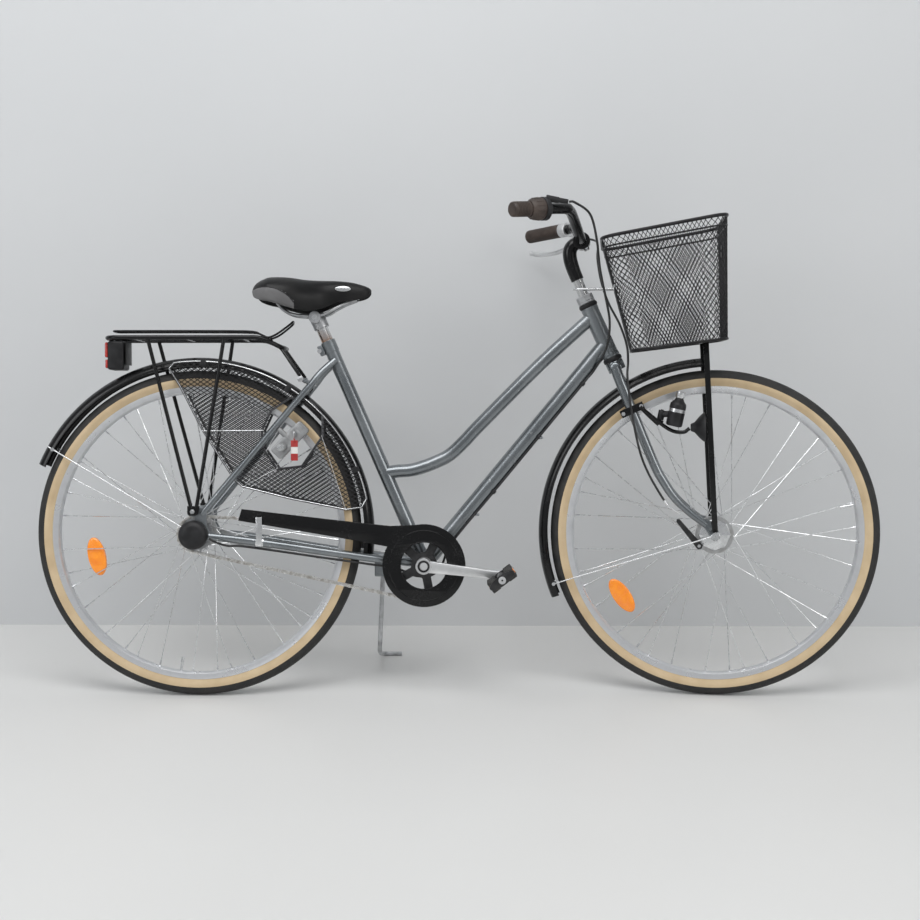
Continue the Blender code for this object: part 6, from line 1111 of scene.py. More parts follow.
tag = joined(block((0.0150, 0.0025, 0.0430), bow_at + Vector((0.0, 0.0, -0.0340)), 0.0010, 3),
             washer(-0.0008, 0.0008, 0.0050, 0.0066,
                    axis_frame(bow_at + Vector((0.0, 0.0, -0.0110)), FORWARD), 24))
fit(tag, "lock_key_tag", (tag_vinyl,), "lock_key")

# The kickstand: one bent steel bar in satin zinc on a short barrel, with its sole worn flat.
STAND_HINGE = Vector((0.39216, 0.0520, 0.262))
STAND_REACH = 0.2746
STAND_RADIUS = 0.0049
SOLE_LIFT = 0.0041
stand_x = STAND_HINGE.x
floor_low = (PARKED @ Vector((stand_x, STAND_REACH, 0.0))).z
floor_rise = (PARKED @ Vector((stand_x, STAND_REACH, 1.0))).z - floor_low
sole = -floor_low / floor_rise + SOLE_LIFT
STAND_RUN = ((0.0, 0.0520, 0.258), (-0.003, 0.0550, 0.190), (-0.006, 0.0580, 0.128),
             (-0.0075, 0.0680, 0.102), (-0.010, 0.0960, 0.081), (-0.012, 0.170, sole + 0.0170),
             (-0.013, STAND_REACH - 0.022, sole + 0.0040), (-0.007, STAND_REACH - 0.003, sole + 0.0008),
             (0.006, STAND_REACH, sole), (0.030, STAND_REACH, sole))
leg = rod(smooth_line([(stand_x + x, y, z) for x, y, z in STAND_RUN], 6), STAND_RADIUS, 20)
barrel = bush(-0.0063, 0.0073, 0.0045, 0.0094, (0.0007, 0.0006), axis_frame(STAND_HINGE, SIDEWAYS), 36)
stand = joined(leg, barrel)
fit(stand, "kickstand_bar", (zinc,), "kickstand", ["kickstand_leg"])
for vertex in stand.data.vertices:
    vertex.co.z = max(vertex.co.z, 0.0002)

# The seat post and saddle frame: a chromed tube with copper showing low down where the chrome has
# worn, two bent rails in a pressed clamp, and a cross bolt with its nuts.
POST_HEAD = on_seat(0.5826)
chrome, shader, place = new_finish("worn_chrome")
height = place.part(2)
collar_height = (PARKED @ on_seat(0.5226)).z
worn = (height + place.noise(55.0) * 0.030).spread(collar_height + 0.012, collar_height + 0.040)
haze = place.noise(40.0).spread(0.35, 0.72)
plated = haze.colours((0.74, 0.745, 0.75), (0.58, 0.585, 0.59))
wire_up(shader, {"Base Color": worn.colours((0.42, 0.25, 0.17), plated),
                 "Metallic": 1.0, "Roughness": haze.spread(0.0, 1.0, 0.14, 0.30),
                 "Normal": place.noise(600.0).bump(0.00006, 0.3)})
post = bolt(BRACKET, SEAT_AXIS, (0.4026, 0.4030, 0.5715, 0.5722), [0.0120, 0.0127, 0.0127, 0.0120], 32)
fit(post, "seat_post_tube", (chrome,), "seat", ["seat_post"])
CLAMP = on_seat(0.5706) + Vector((-0.006, 0.0, 0.006))
saddle_steel = []
for side in (1, -1):
    rail = [(0.0871, 0.010, 0.0326), (0.0651, 0.016, 0.0251), (0.0440, 0.0200, 0.0150),
            (0.0250, 0.0218, 0.0040), (0.0050, 0.0220, -0.0008), (-0.0350, 0.0220, -0.0008),
            (-0.0600, 0.0220, 0.0060), (-0.0780, 0.0220, 0.0210), (-0.0929, 0.0220, 0.0476)]
    knots = [POST_HEAD + Vector((x, side * y, z)) for x, y, z in rail]
    saddle_steel.append(rod(smooth_line(knots, 6), 0.0034, 16))
    for cheek in (0.0, 0.0105):
        at = CLAMP + SIDEWAYS * side * (0.0160 + cheek)
        saddle_steel.append(bush(-0.0022, 0.0022, 0.0045, 0.0130, (0.0008, 0.0008),
                                 axis_frame(at, SIDEWAYS), 40))
saddle_steel.append(bolt(CLAMP, SIDEWAYS, (-0.0175, 0.0175), 0.0110, 32))
saddle_steel.append(lathe(((-0.0300, 0.0131), (-0.0300, 0.0164), (-0.0290, 0.0168), (0.0, 0.0168),
                           (0.0010, 0.0160), (0.0010, 0.0), (-0.0095, 0.0), (-0.0095, 0.0131)),
                          axis_frame(POST_HEAD, SEAT_AXIS), 40, True))
saddle_steel.append(block((0.016, 0.054, 0.004), POST_HEAD + Vector((-0.0929, 0.0, 0.0481)), 0.001))
saddle_steel.append(block((0.014, 0.024, 0.004), POST_HEAD + Vector((0.0851, 0.0, 0.0364)), 0.001))
fit(joined(*saddle_steel), "saddle_rails", (zinc,), "seat", ["saddle_frame"])
clamp_bolt = joined(*[bolt(CLAMP, SIDEWAYS * side, (0.0220, 0.0288), 0.0066, 6) for side in (1, -1)])
fit(clamp_bolt, "saddle_clamp_nuts", (stainless,), "seat")

# The saddle: soft foam under black vinyl, with grey vinyl panels at the rear sides. Piping follows
# each panel's arched edge, and a plain oval plate sits on each side of the nose.
SADDLE_STATIONS = ((-0.1329, 0.036, 0.0541, 0.0441), (-0.1285, 0.053, 0.0625, 0.0360),
                   (-0.1199, 0.066, 0.0701, 0.0311), (-0.1060, 0.0780, 0.0765, 0.0268),
                   (-0.0909, 0.084, 0.0801, 0.0241), (-0.0549, 0.081, 0.0796, 0.0131),
                   (-0.0179, 0.062, 0.0751, 0.0061), (0.0151, 0.042, 0.0741, 0.0121),
                   (0.0471, 0.031, 0.0736, 0.0261), (0.0771, 0.026, 0.0706, 0.0301),
                   (0.1021, 0.021, 0.0641, 0.0351), (0.1130, 0.0155, 0.0595, 0.0405),
                   (0.1181, 0.008, 0.0555, 0.0465))
SKIN = ((0.00, 0.000), (0.24, 0.004), (0.46, 0.022), (0.64, 0.070), (0.80, 0.165), (0.91, 0.290),
        (0.975, 0.430), (1.00, 0.560), (0.995, 0.700), (0.975, 0.830), (0.950, 0.930), (0.915, 0.985),
        (0.870, 1.000), (0.815, 0.975), (0.770, 0.900), (0.640, 0.700), (0.480, 0.560), (0.250, 0.510),
        (0.00, 0.500))
PANEL_HEIGHT = 0.0545
PANEL_MIDDLE = -0.103
PANEL_HALF = 0.069
PANEL_REAR = -0.128
PANEL_FRONT = -0.043
SEAM_FRONT = -0.036


def lofted(sections):
    """A closed skin drawn over its sections, in their order."""
    rings = draw_line(sections, True)
    rings.data.dimensions = "3D"
    skin = meshed(rings)
    bpy.ops.object.mode_set(mode="EDIT")
    bpy.ops.mesh.select_all(action="SELECT")
    bpy.ops.mesh.bridge_edge_loops()
    bpy.ops.mesh.select_all(action="SELECT")
    bpy.ops.mesh.fill_holes(sides=0)
    bpy.ops.object.mode_set(mode="OBJECT")
    return weld(skin)


def saddle_point(station, across, down, side):
    ahead, half, rise, hem = station
    return POST_HEAD + Vector((ahead, side * half * across, rise - (rise - hem) * down))


def skin_of(station):
    ring = [saddle_point(station, across, down, 1) for across, down in skin_rows]
    return ring + [saddle_point(station, across, down, -1) for across, down in reversed(skin_rows[1:-1])]


def panel_rise(ahead):
    """How high the grey side panel's arched edge stands over the seat post's head."""
    return PANEL_HEIGHT * math.sqrt(max(0.0, 1 - ((ahead - PANEL_MIDDLE) / PANEL_HALF) ** 2))


stations = smooth_line(SADDLE_STATIONS, 5)
skin_rows = smooth_line(SKIN, 3)
saddle_finishes = []
for name, scale, colours, rough, shine in (
        ("black_vinyl", 14.0, ((0.004, 0.004, 0.0045), (0.011, 0.0105, 0.0105)), (0.36, 0.52), 0.26),
        ("grey_vinyl", 18.0, ((0.105, 0.104, 0.106), (0.165, 0.163, 0.165)), (0.40, 0.55), 0.50)):
    vinyl, shader, place = new_finish(name)
    leather = place.node("TexVoronoi", {"feature": "SMOOTH_F1"}, {"Vector": place, "Scale": 620.0})
    rubbed = place.noise(scale).spread(0.38, 0.72)
    wire_up(shader, {"Specular IOR Level": shine, "Base Color": rubbed.colours(*colours),
                     "Roughness": rubbed.spread(0.0, 1.0, *rough),
                     "Normal": (leather * 0.8 + place.noise(90.0) * 0.5).bump(0.0004, 0.45)})
    saddle_finishes.append(vinyl)
cover = lofted([skin_of(station) for station in stations])
marks = []
for face in cover.data.polygons:
    local = face.center - POST_HEAD
    station = min(stations, key=lambda s: abs(s[0] - local.x))
    on_panel = PANEL_REAR < local.x < PANEL_FRONT and local.z < panel_rise(local.x)
    marks.append(1 if on_panel and abs(local.y) > 0.86 * station[1] else 0)
fit(cover, "saddle_skin", saddle_finishes, "seat", ["saddle_cover"], smooth=60.0,
    marks=marks)
piping = []
for side in (1, -1):
    seam = []
    for station in (s for s in stations if PANEL_REAR < s[0] < SEAM_FRONT):
        down = min(0.97, (station[2] - panel_rise(station[0])) / (station[2] - station[3]))
        across = min(skin_rows[12:37], key=lambda row: abs(row[1] - down))[0]
        seam.append(saddle_point(station, across, down, side))
    piping.append(rod(seam, 0.0012, 8))
fit(joined(*piping), "saddle_piping", (black_plastic,), "seat")
plates = []
for side in (1, -1):
    near, far = [s for s in stations if 0.052 < s[0] < 0.072][0:3:2]
    seat_at = saddle_point(near, 1.0, 0.40, side).lerp(saddle_point(far, 1.0, 0.40, side), 0.5)
    run = saddle_point(far, 1.0, 0.40, side) - saddle_point(near, 1.0, 0.40, side)
    outward = run.cross(Vector((0.0, 0.0, -1.0)) * side).normalized()
    oval = [(0.0170 * u, 0.0056 * v) for u, v in disc(1.0, steps=40)]
    plates.append(plate(oval, 0.0016, axis_frame(seat_at + outward * 0.0008, outward, run), edge=0.0004))
fit(joined(*plates), "saddle_plates", (stainless,), "seat")

# The chain: inner and outer links of bright steel in turn, on bushed rollers. It lies in the teeth
# of the chainring and the sprocket, and its upper run passes through the guard.
CHAIN_PITCH = 0.0127
CHAIN_LINKS = 106
RING_TEETH = 38
SPROCKET_TEETH = 19
CHAIN_LINE = -0.044
CRANK_LENGTH = 0.165
CRANK_ANGLE = math.radians(-7.0)
RING_RADIUS = CHAIN_PITCH / (2 * math.sin(math.pi / RING_TEETH))
SPROCKET_RADIUS = CHAIN_PITCH / (2 * math.sin(math.pi / SPROCKET_TEETH))
DRIVE_SPAN = BRACKET - REAR_AXLE
RUN_LINE = math.atan2(DRIVE_SPAN.z, DRIVE_SPAN.x)
RUN_TILT = math.asin((RING_RADIUS - SPROCKET_RADIUS) / DRIVE_SPAN.length)
LEAVES_UP = RUN_LINE + math.pi / 2 + RUN_TILT
LEAVES_DOWN = RUN_LINE - math.pi / 2 - RUN_TILT
RUN_PITCHES = math.sqrt(DRIVE_SPAN.length_squared - (RING_RADIUS - SPROCKET_RADIUS) ** 2) / CHAIN_PITCH


def on_circle(centre, radius, angle):
    return centre + Vector((math.cos(angle), 0.0, math.sin(angle))) * radius


def on_sprocket(angle):
    return on_circle(REAR_AXLE, SPROCKET_RADIUS, angle)


def on_ring(angle):
    return on_circle(BRACKET, RING_RADIUS, angle)


def chain_place(pitches):
    """Where the chain's middle line is, so many pitches on from the top of the sprocket."""
    wrap = RING_TEETH * (LEAVES_UP - LEAVES_DOWN) / math.tau
    if pitches < RUN_PITCHES:
        return on_sprocket(LEAVES_UP).lerp(on_ring(LEAVES_UP), pitches / RUN_PITCHES)
    if pitches < RUN_PITCHES + wrap:
        return on_ring(LEAVES_UP - (pitches - RUN_PITCHES) * math.tau / RING_TEETH)
    beyond = pitches - RUN_PITCHES - wrap
    if beyond < RUN_PITCHES:
        return on_ring(LEAVES_DOWN).lerp(on_sprocket(LEAVES_DOWN), beyond / RUN_PITCHES)
    return on_sprocket(LEAVES_DOWN - (beyond - RUN_PITCHES) * math.tau / SPROCKET_TEETH)


chain_steel = worn_finish("oiled_chain_steel", (120.0, 0.38, 0.68),
                          ((0.74, 0.735, 0.72), (0.36, 0.34, 0.31)), (0.26, 0.46), (900.0, 0.0001, 0.3),
                          Metallic=0.95)
link_outline = []
for centre, start in ((CHAIN_PITCH / 2, -65.0), (-CHAIN_PITCH / 2, 115.0)):
    link_outline += arc(0.0040, [start + i * 26.0 for i in range(6)], (centre, 0.0))
    link_outline.append((0.0, 0.0030 if start < 0 else -0.0030))
links = {}
for kind, across in (("inner", 0.00245), ("outer", 0.00355)):
    cheeks = [plate(link_outline, 0.0011, axis_frame(SIDEWAYS * side * across, SIDEWAYS, FORWARD),
                    edge=0.0002) for side in (1, -1)]
    pin = rod([(CHAIN_PITCH / 2, -0.0046, 0.0), (CHAIN_PITCH / 2, 0.0046, 0.0)], 0.0018, 8)
    roller = rod([(CHAIN_PITCH / 2, -0.0018, 0.0), (CHAIN_PITCH / 2, 0.0018, 0.0)], 0.0037, 10)
    links[kind] = joined(*cheeks, pin, roller)
chain_links = []
pins = [chain_place(i) + SIDEWAYS * CHAIN_LINE for i in range(CHAIN_LINKS)]
for i, (start, end) in enumerate(zip(pins, pins[1:] + pins[:1])):
    link = links["outer" if i % 2 else "inner"].copy()
    link.data = link.data.copy()
    bpy.context.scene.collection.objects.link(link)
    middle = (start + end) / 2
    link.data.transform(axis_frame(middle, SIDEWAYS.cross(start - end), end - start))
    chain_links.append(link)
for template in links.values():
    bpy.data.objects.remove(template)
fit(joined(*chain_links), "chain_links", (chain_steel,), "frame", ["chain"])

# The chain wheel and cranks: a blackened steel ring with bright teeth on five arms, satin forged
# cranks with a black cap ring round each bolt, and a squared spindle end with its nut.
black_satin = worn_finish("satin_black_steel", (75.0, 0.36, 0.70),
                          ((0.012, 0.012, 0.013), (0.030, 0.030, 0.031)), (0.28, 0.42),
                          (500.0, 0.00015, 0.3))
satin_alloy, shader, place = new_finish("satin_aluminium")
brushed = place.node("Mapping", {}, {"Vector": place, "Scale": (1.0, 1.0, 14.0)}).noise(160.0, 4.0)
handled = place.noise(30.0).spread(0.35, 0.72)
wire_up(shader, {"Base Color": handled.colours((0.80, 0.805, 0.81), (0.62, 0.625, 0.63)), "Metallic": 0.9,
                 "Roughness": handled.spread(0.0, 1.0, 0.30, 0.44), "Normal": brushed.bump(0.00012, 0.35)})
RING_ARMS = 5
ARM_STEP = 360 / RING_ARMS
BOLT_CIRCLE = 0.0655
CRANK_PLANE = 0.0735
tooth_gap = LEAVES_UP - (math.ceil(RUN_PITCHES) - RUN_PITCHES) * math.tau / RING_TEETH
ring_outline = []
for k in range(RING_TEETH):
    angle = tooth_gap + math.tau * k / RING_TEETH
    for rise, along in ((-0.0030, -0.0036), (-0.0041, -0.0018), (-0.0043, 0.0), (-0.0041, 0.0018),
                        (-0.0030, 0.0036), (0.0004, 0.0050), (0.0026, 0.0058), (0.0028, 0.0064),
                        (0.0026, 0.0070), (0.0004, 0.0078)):
        ring_outline += arc(RING_RADIUS + rise, [math.degrees(angle + along / RING_RADIUS)])
windows = [disc(0.0100)]
for arm in range(RING_ARMS):
    middle = math.degrees(CRANK_ANGLE) + ARM_STEP * (arm + 0.5)
    window = [(0.0620, d) for d in range(-25, 26, 5)] + [(0.0600, 27.0), (0.0300, 18.0)]
    window += [(0.0280, d) for d in (14, 7, 0, -7, -14)] + [(0.0300, -18.0), (0.0600, -27.0)]
    windows.append([arc(reach, [middle + d])[0] for reach, d in window])
chain_wheel = plate(ring_outline, 0.0025, side_frame(CHAIN_LINE, BRACKET), windows, 0.0004)
marks = [1 if math.hypot(f.center.x - BRACKET.x, f.center.z - BRACKET.z) < RING_RADIUS - 0.0062 else 0
         for f in chain_wheel.data.polygons]
chain_wheel = joined(chain_wheel, washer(-0.0016, 0.0016, 0.0640, 0.0692,
                                         axis_frame(BRACKET + SIDEWAYS * CHAIN_LINE, SIDEWAYS), 90))
for arm in range(RING_ARMS):
    turn = CRANK_ANGLE + math.radians(ARM_STEP * arm)
    at = on_circle(BRACKET, BOLT_CIRCLE, turn) + SIDEWAYS * CHAIN_LINE
    chain_wheel = joined(chain_wheel, bolt(at, SIDEWAYS, (-0.0034, 0.0030), 0.0046, 6))
marks += [1] * (len(chain_wheel.data.polygons) - len(marks))
fit(chain_wheel, "chain_wheel_disc", (zinc, black_satin), "crank", ["chainring"],
    smooth=30.0, marks=marks)
PEDAL_START = 0.0860
PEDAL_WIDTH = 0.0880
PEDAL_TURN = math.radians(-37.0)
pedal_rubber = worn_finish("pedal_rubber", (60.0, 0.36, 0.72),
                           ((0.020, 0.020, 0.020), (0.060, 0.058, 0.055)), (0.58, 0.80),
                           (850.0, 0.0003, 0.5))
for side, label in ((-1, "right"), (1, "left")):
    turn = CRANK_ANGLE if side < 0 else CRANK_ANGLE + math.pi
    tip = on_circle(BRACKET, CRANK_LENGTH, turn)
    seat = axis_frame(BRACKET + SIDEWAYS * side * CRANK_PLANE, SIDEWAYS, tip - BRACKET)
    outline = arc(0.0168, range(50, 311, 13))
    outline += [(0.034, -0.0122), (0.090, -0.0104), (CRANK_LENGTH - 0.02, -0.0093)]
    outline += arc(0.0113, range(-75, 76, 15), (CRANK_LENGTH, 0.0))
    outline += [(CRANK_LENGTH - 0.02, 0.0093), (0.090, 0.0104), (0.034, 0.0122)]
    inner = (0.0456 if side < 0 else 0.0590) - CRANK_PLANE
    boss = [(inner, 0.0086), (inner, 0.0166), (inner + 0.0010, 0.0172), (0.0060, 0.0172),
            (0.0074, 0.0160), (0.0074, 0.0130), (0.0058, 0.0124), (0.0058, 0.0086)]
    eye_frame = axis_frame(seat.to_translation(), SIDEWAYS)
    turned = lathe([(along * side, radius) for along, radius in boss], eye_frame, 48, True)
    arm = joined(plate(outline, 0.0126, seat, edge=0.0028), turned,
                 bolt(tip, SIDEWAYS * side, (0.0790, PEDAL_START - 0.0006), 0.0078, 6),
                 bolt(tip, SIDEWAYS * side, (0.0750, PEDAL_START + PEDAL_WIDTH - 0.0062), 0.0058, 16))
    fit(arm, "crank_arm_" + label, (satin_alloy,), "crank", ["crank_" + label])
    cap = [(0.0060, 0.0085), (0.0060, 0.0122), (0.0070, 0.0126), (0.0074, 0.0118), (0.0074, 0.0085)]
    ring = lathe([(along * side, radius) for along, radius in cap], eye_frame, 40, True)
    fit(ring, "crank_cap_ring_" + label, (black_plastic,), "crank")
    middle = (Matrix.Translation(tip + SIDEWAYS * side * (PEDAL_START + PEDAL_WIDTH / 2))
              @ Matrix.Rotation(PEDAL_TURN, 4, "Y"))
    cage = [bush(-0.0438, 0.0438, 0.0066, 0.0098, (0.0010, 0.0008),
                 middle @ axis_frame((0, 0, 0), SIDEWAYS), 32)]
    for offset in (-0.0420, 0.0420):
        cheek = [(0.0308 * (u if abs(u) < 0.92 else math.copysign(1.0, u)), 0.0108 * v)
                 for u, v in arc(1.0, range(0, 360, 12))]
        cage.append(plate(cheek, 0.0034, middle @ side_frame(offset), edge=0.0006))
    cage.append(lathe(((0.0436, 0.0), (0.0440, 0.0076), (0.0430, 0.0086), (0.0420, 0.0086), (0.0420, 0.0)),
                      middle @ axis_frame((0, 0, 0), SIDEWAYS * side), 32))
    bright_from = sum(len(shape.data.polygons) for shape in cage[:-1])
    pedal_cage = joined(*cage)
    marks = [1 if i < bright_from else 0 for i in range(len(pedal_cage.data.polygons))]
    fit(pedal_cage, "pedal_cage_" + label, (satin_alloy, black_satin), "pedal_" + label,
        ["pedal_" + label], marks=marks)
    pads = []
    for across in (-0.0205, 0.0205):
        pad_frame = middle @ Matrix.Translation((across, 0, 0))
        pads.append(block((0.0172, PEDAL_WIDTH - 0.0082, 0.0226), pad_frame, 0.002, 3))
        for rib in range(9):
            at = (across, (rib - 4) * 0.0088, 0.0)
            pads.append(block((0.0186, 0.0050, 0.0246), middle @ Matrix.Translation(at), 0.0010, 1))
    fit(joined(*pads), "pedal_rubbers_" + label, (pedal_rubber,), "pedal_" + label)
    # The pedal reflectors share the amber finish, with its faint painted glow.
    prism = [block((0.0046, 0.0400, 0.0100), middle @ Matrix.Translation((x, 0.0, 0.0)), 0.0008, 2)
             for x in (-0.0286, 0.0286)]
    fit(joined(*prism), "pedal_reflectors_" + label, (amber,), "pedal_" + label)

# The stem and handlebar: a polished quill, a black angled stem with its clamp bolt, and a tube bent
# up and swept back to the grips, enamelled black.
CLAMP_AT = on_steering(0.6680, 0.0440)
SWEEP = ((0.000, 0.972, 0.000), (-0.001, 0.974, 0.045), (-0.006, 0.986, 0.090), (-0.013, 1.005, 0.130),
         (-0.018, 1.016, 0.163), (-0.0235, 1.0195, 0.185), (-0.0335, 1.0190, 0.2095),
         (-0.128, 1.0100, 0.290))


def bar_points(side):
    """The handlebar's middle line from the clamp to one end."""
    return [CLAMP_AT + Vector((x, side * y, z - SWEEP[0][1])) for x, z, y in SWEEP]


def grip_place(side, inward):
    """A place on the handlebar's last straight stretch, by its distance in from the end."""
    tip, before = bar_points(side)[-1], bar_points(side)[-2]
    return tip + (before - tip).normalized() * inward


quill = rod([on_steering(0.5566), on_steering(0.590, 0.0015), on_steering(0.610, 0.003)], 0.0110, 32)
fit(quill, "stem_quill", (chrome,), "steering", pose=STEERED)
nut = lathe(((0.5424, 0.0132), (0.5424, 0.0178), (0.5434, 0.0184), (0.5455, 0.0184), (0.5465, 0.0176),
             (0.5470, 0.0176), (0.5480, 0.0184), (0.5590, 0.0184), (0.5600, 0.0176), (0.5600, 0.0132)),
            HEAD_FRAME, 8, True)
fit(nut, "headset_lock_nut", (zinc,), "steering", pose=STEERED, smooth=25.0)
STEM_BEND = ((0.596, 0.002), (0.622, 0.0030), (0.645, 0.0065), (0.660, 0.0130), (0.6675, 0.0230),
             (0.6690, 0.0360))
bend = smooth_line([on_steering(*knot) for knot in STEM_BEND], 6)
stem_bolt_at = on_steering(0.6500, 0.0470)
stem = joined(rod(bend, [0.0138 + 0.0012 * math.sin(i / 30 * math.pi) for i in range(len(bend))], 32),
              bush(-0.0200, 0.0200, 0.0112, 0.0185, (0.0010, 0.0009), axis_frame(CLAMP_AT, SIDEWAYS), 48),
              block((0.0120, 0.0340, 0.0080), axis_frame(stem_bolt_at, STEER_AXIS, FORWARD), 0.002, 3))
fit(stem, "stem_body", (black_enamel,), "steering", ["stem"], STEERED)
clamp_bolt = bolt(stem_bolt_at, SIDEWAYS, (-0.0185, 0.0185), 0.0042, 6)
fit(clamp_bolt, "stem_clamp_bolt", (stainless,), "steering", pose=STEERED)
right, left = smooth_line(bar_points(-1), 7), smooth_line(bar_points(1), 7)
tube = rod(right[::-1] + left[1:], 0.0109, 32)
fit(tube, "handlebar_tube", (black_enamel,), "steering", ["handlebar"], STEERED)

# The grips: dark brown rubber moulded with rings. On the right the inner part twists to change
# gear, next to the shifter's black housing and its spout.
grip_rubber = worn_finish("brown_rubber", (24.0, 0.36, 0.70),
                          ((0.030, 0.020, 0.016), (0.075, 0.055, 0.045)), (0.46, 0.66),
                          (700.0, 0.0003, 0.45), (0.7, 0.3))
GRIP_BORE = 0.0114
GRIP_RADIUS = 0.0153


def grip(side, start, end, rings):
    """A ringed rubber sleeve between two distances from the handlebar's end."""
    length = end - start
    shape = [(0.0, GRIP_BORE), (0.0, 0.0128), (0.0020, 0.0148), (0.0060, GRIP_RADIUS)]
    for i in range(rings):
        at = 0.0080 + (length - 0.0120) * i / rings
        shape += [(at, GRIP_RADIUS), (at + 0.0004, 0.0143), (at + 0.0013, 0.0143),
                  (at + 0.0017, GRIP_RADIUS)]
    shape += [(length - 0.0012, GRIP_RADIUS), (length, 0.0144), (length, GRIP_BORE)]
    first, last = grip_place(side, start), grip_place(side, end)
    return lathe(shape, axis_frame(first, last - first), 48, True)


caps = [rod([grip_place(side, -0.0024), grip_place(side, -0.0004)], 0.0122, 32) for side in (-1, 1)]
fit(joined(grip(-1, -0.0024, 0.0396, 8), caps[0]), "grip_right_sleeve", (grip_rubber,), "steering",
    ["grip_right"], STEERED)
fit(joined(grip(1, -0.0024, 0.0996, 21), caps[1]), "grip_left_sleeve", (grip_rubber,), "steering",
    ["grip_left"], STEERED)
twist_way = grip_place(-1, 0.0700) - grip_place(-1, 0.0400)
twist = lathe(((0.0, 0.0115), (0.0, 0.0160), (0.0012, 0.0170), (0.0075, 0.0208), (0.0240, 0.0228),
               (0.0290, 0.0224), (0.0300, 0.0215), (0.0300, 0.0115)),
              axis_frame(grip_place(-1, 0.0400), twist_way), 48, True)
ribs = [twist]
for i in range(14):
    frame_at = axis_frame(grip_place(-1, 0.0540), twist_way, (0.0, 0.0, 1.0))
    way = frame_at.to_3x3() @ Vector((math.cos(i * math.pi / 7), math.sin(i * math.pi / 7), 0.0))
    rib_ends = [grip_place(-1, 0.0480) + way * 0.0206, grip_place(-1, 0.0640) + way * 0.0222]
    ribs.append(rod(rib_ends, 0.0012, 8))
fit(joined(*ribs), "twist_grip_sleeve", (grip_rubber,), "twist_grip", ["twist_grip"],
    STEERED)
spout_root = grip_place(-1, 0.0780)
spout = [spout_root + Vector((0.004, -0.004, 0.0200)), spout_root + Vector((0.047, 0.004, 0.0140))]
housing = joined(lathe(((0.0003, 0.0115), (0.0003, 0.0226), (0.0012, 0.0234), (0.0110, 0.0234),
                        (0.0150, 0.0190), (0.0159, 0.0168), (0.0159, 0.0115)),
                       axis_frame(grip_place(-1, 0.0700), twist_way), 48, True),
                 rod([spout[0], spout[0].lerp(spout[1], 0.55), spout[0].lerp(spout[1], 0.60), spout[1]],
                     [0.0074, 0.0062, 0.0052, 0.0046], 20))
fit(housing, "shifter_shell", (black_plastic,), "steering", ["shifter_housing"], STEERED)

# The brake lever: a cast aluminium bracket clamped inside the left grip, with its barrel adjuster,
# and a lever blade that tapers to a ball end.
LEVER_ROOT = grip_place(1, 0.1110)
LEVER_OUT = (grip_place(1, 1.1110) - LEVER_ROOT).cross(Vector((0.0, 0.0, -1.0))).normalized()
LIFT = Vector((0.0, 0.0, 1.0))
HORN_START = LEVER_ROOT + LEVER_OUT * 0.0150 - LIFT * 0.0040
HORN_END = LEVER_ROOT + LEVER_OUT * 0.0320 - LIFT * 0.0100
HORN_WAY = (HORN_END - HORN_START).normalized()
LEVER_PIVOT = HORN_END - LEVER_OUT * 0.0060 - LIFT * 0.0112
collar_way = grip_place(1, 0.1210) - grip_place(1, 0.1010)
bracket = joined(bush(0.0, 0.0200, 0.0114, 0.0164, (0.0010, 0.0006),
                      axis_frame(grip_place(1, 0.1010), collar_way), 48),
                 rod([HORN_START, HORN_START.lerp(HORN_END, 0.5), HORN_START.lerp(HORN_END, 0.6), HORN_END],
                     [0.0084, 0.0084, 0.0070, 0.0062], 24))
fit(bracket, "brake_bracket_casting", (satin_alloy,), "steering", ["brake_lever_bracket"],
    STEERED)
BLADE_RUN = ((0.0, 0.0, 0.0), (-0.010, 0.014, -0.016), (-0.042, 0.046, -0.026), (-0.080, 0.077, -0.027),
             (-0.100, 0.0930, -0.022))
blade_run = smooth_line([LEVER_PIVOT + Vector(knot) for knot in BLADE_RUN], 7)
lever = rod(blade_run, [0.0062 - 0.0012 * min(1.0, i / 14) for i in range(27)] + [0.0058, 0.0060], 20)
fit(lever, "brake_lever_blade", (satin_alloy,), "brake_lever", ["brake_lever"], STEERED)

# The basket: black coated wire crossed in diamonds and bent round four soft corners. Thick wires
# form the rim and the foot, a second wire runs below the rim, and two wires stiffen the floor.
BASKET_TOP = ((0.8675, -0.165, 0.9720), (1.1215, -0.165, 1.0170), (1.1215, 0.165, 1.0170),
              (0.8675, 0.165, 0.9720))
BASKET_FOOT = ((0.9300, -0.125, 0.7390), (1.1270, -0.125, 0.7630), (1.1270, 0.125, 0.7630),
               (0.9300, 0.125, 0.7390))
TOP_BEND = 0.042
FOOT_BEND = 0.036
SIDE_CELLS = (19, 24)
CORNER_CELLS = 5


def rounded_loop(corners, bend, cells=1):
    """Evenly marked points round four corners that are bent to a radius."""
    corners = [Vector(c) for c in corners]
    loop = []
    for i in range(4):
        a, b, c = corners[i], corners[(i + 1) % 4], corners[(i + 2) % 4]
        start, end = a + (b - a).normalized() * bend, b - (b - a).normalized() * bend
        count = SIDE_CELLS[i % 2] * cells
        loop += [start.lerp(end, k / count) for k in range(count)]
        after = b + (c - b).normalized() * bend
        turns = CORNER_CELLS * cells
        for k in range(turns):
            share = k / turns
            loop.append((end * (1 - share) + b * share).lerp(b * (1 - share) + after * share, share))
    return loop


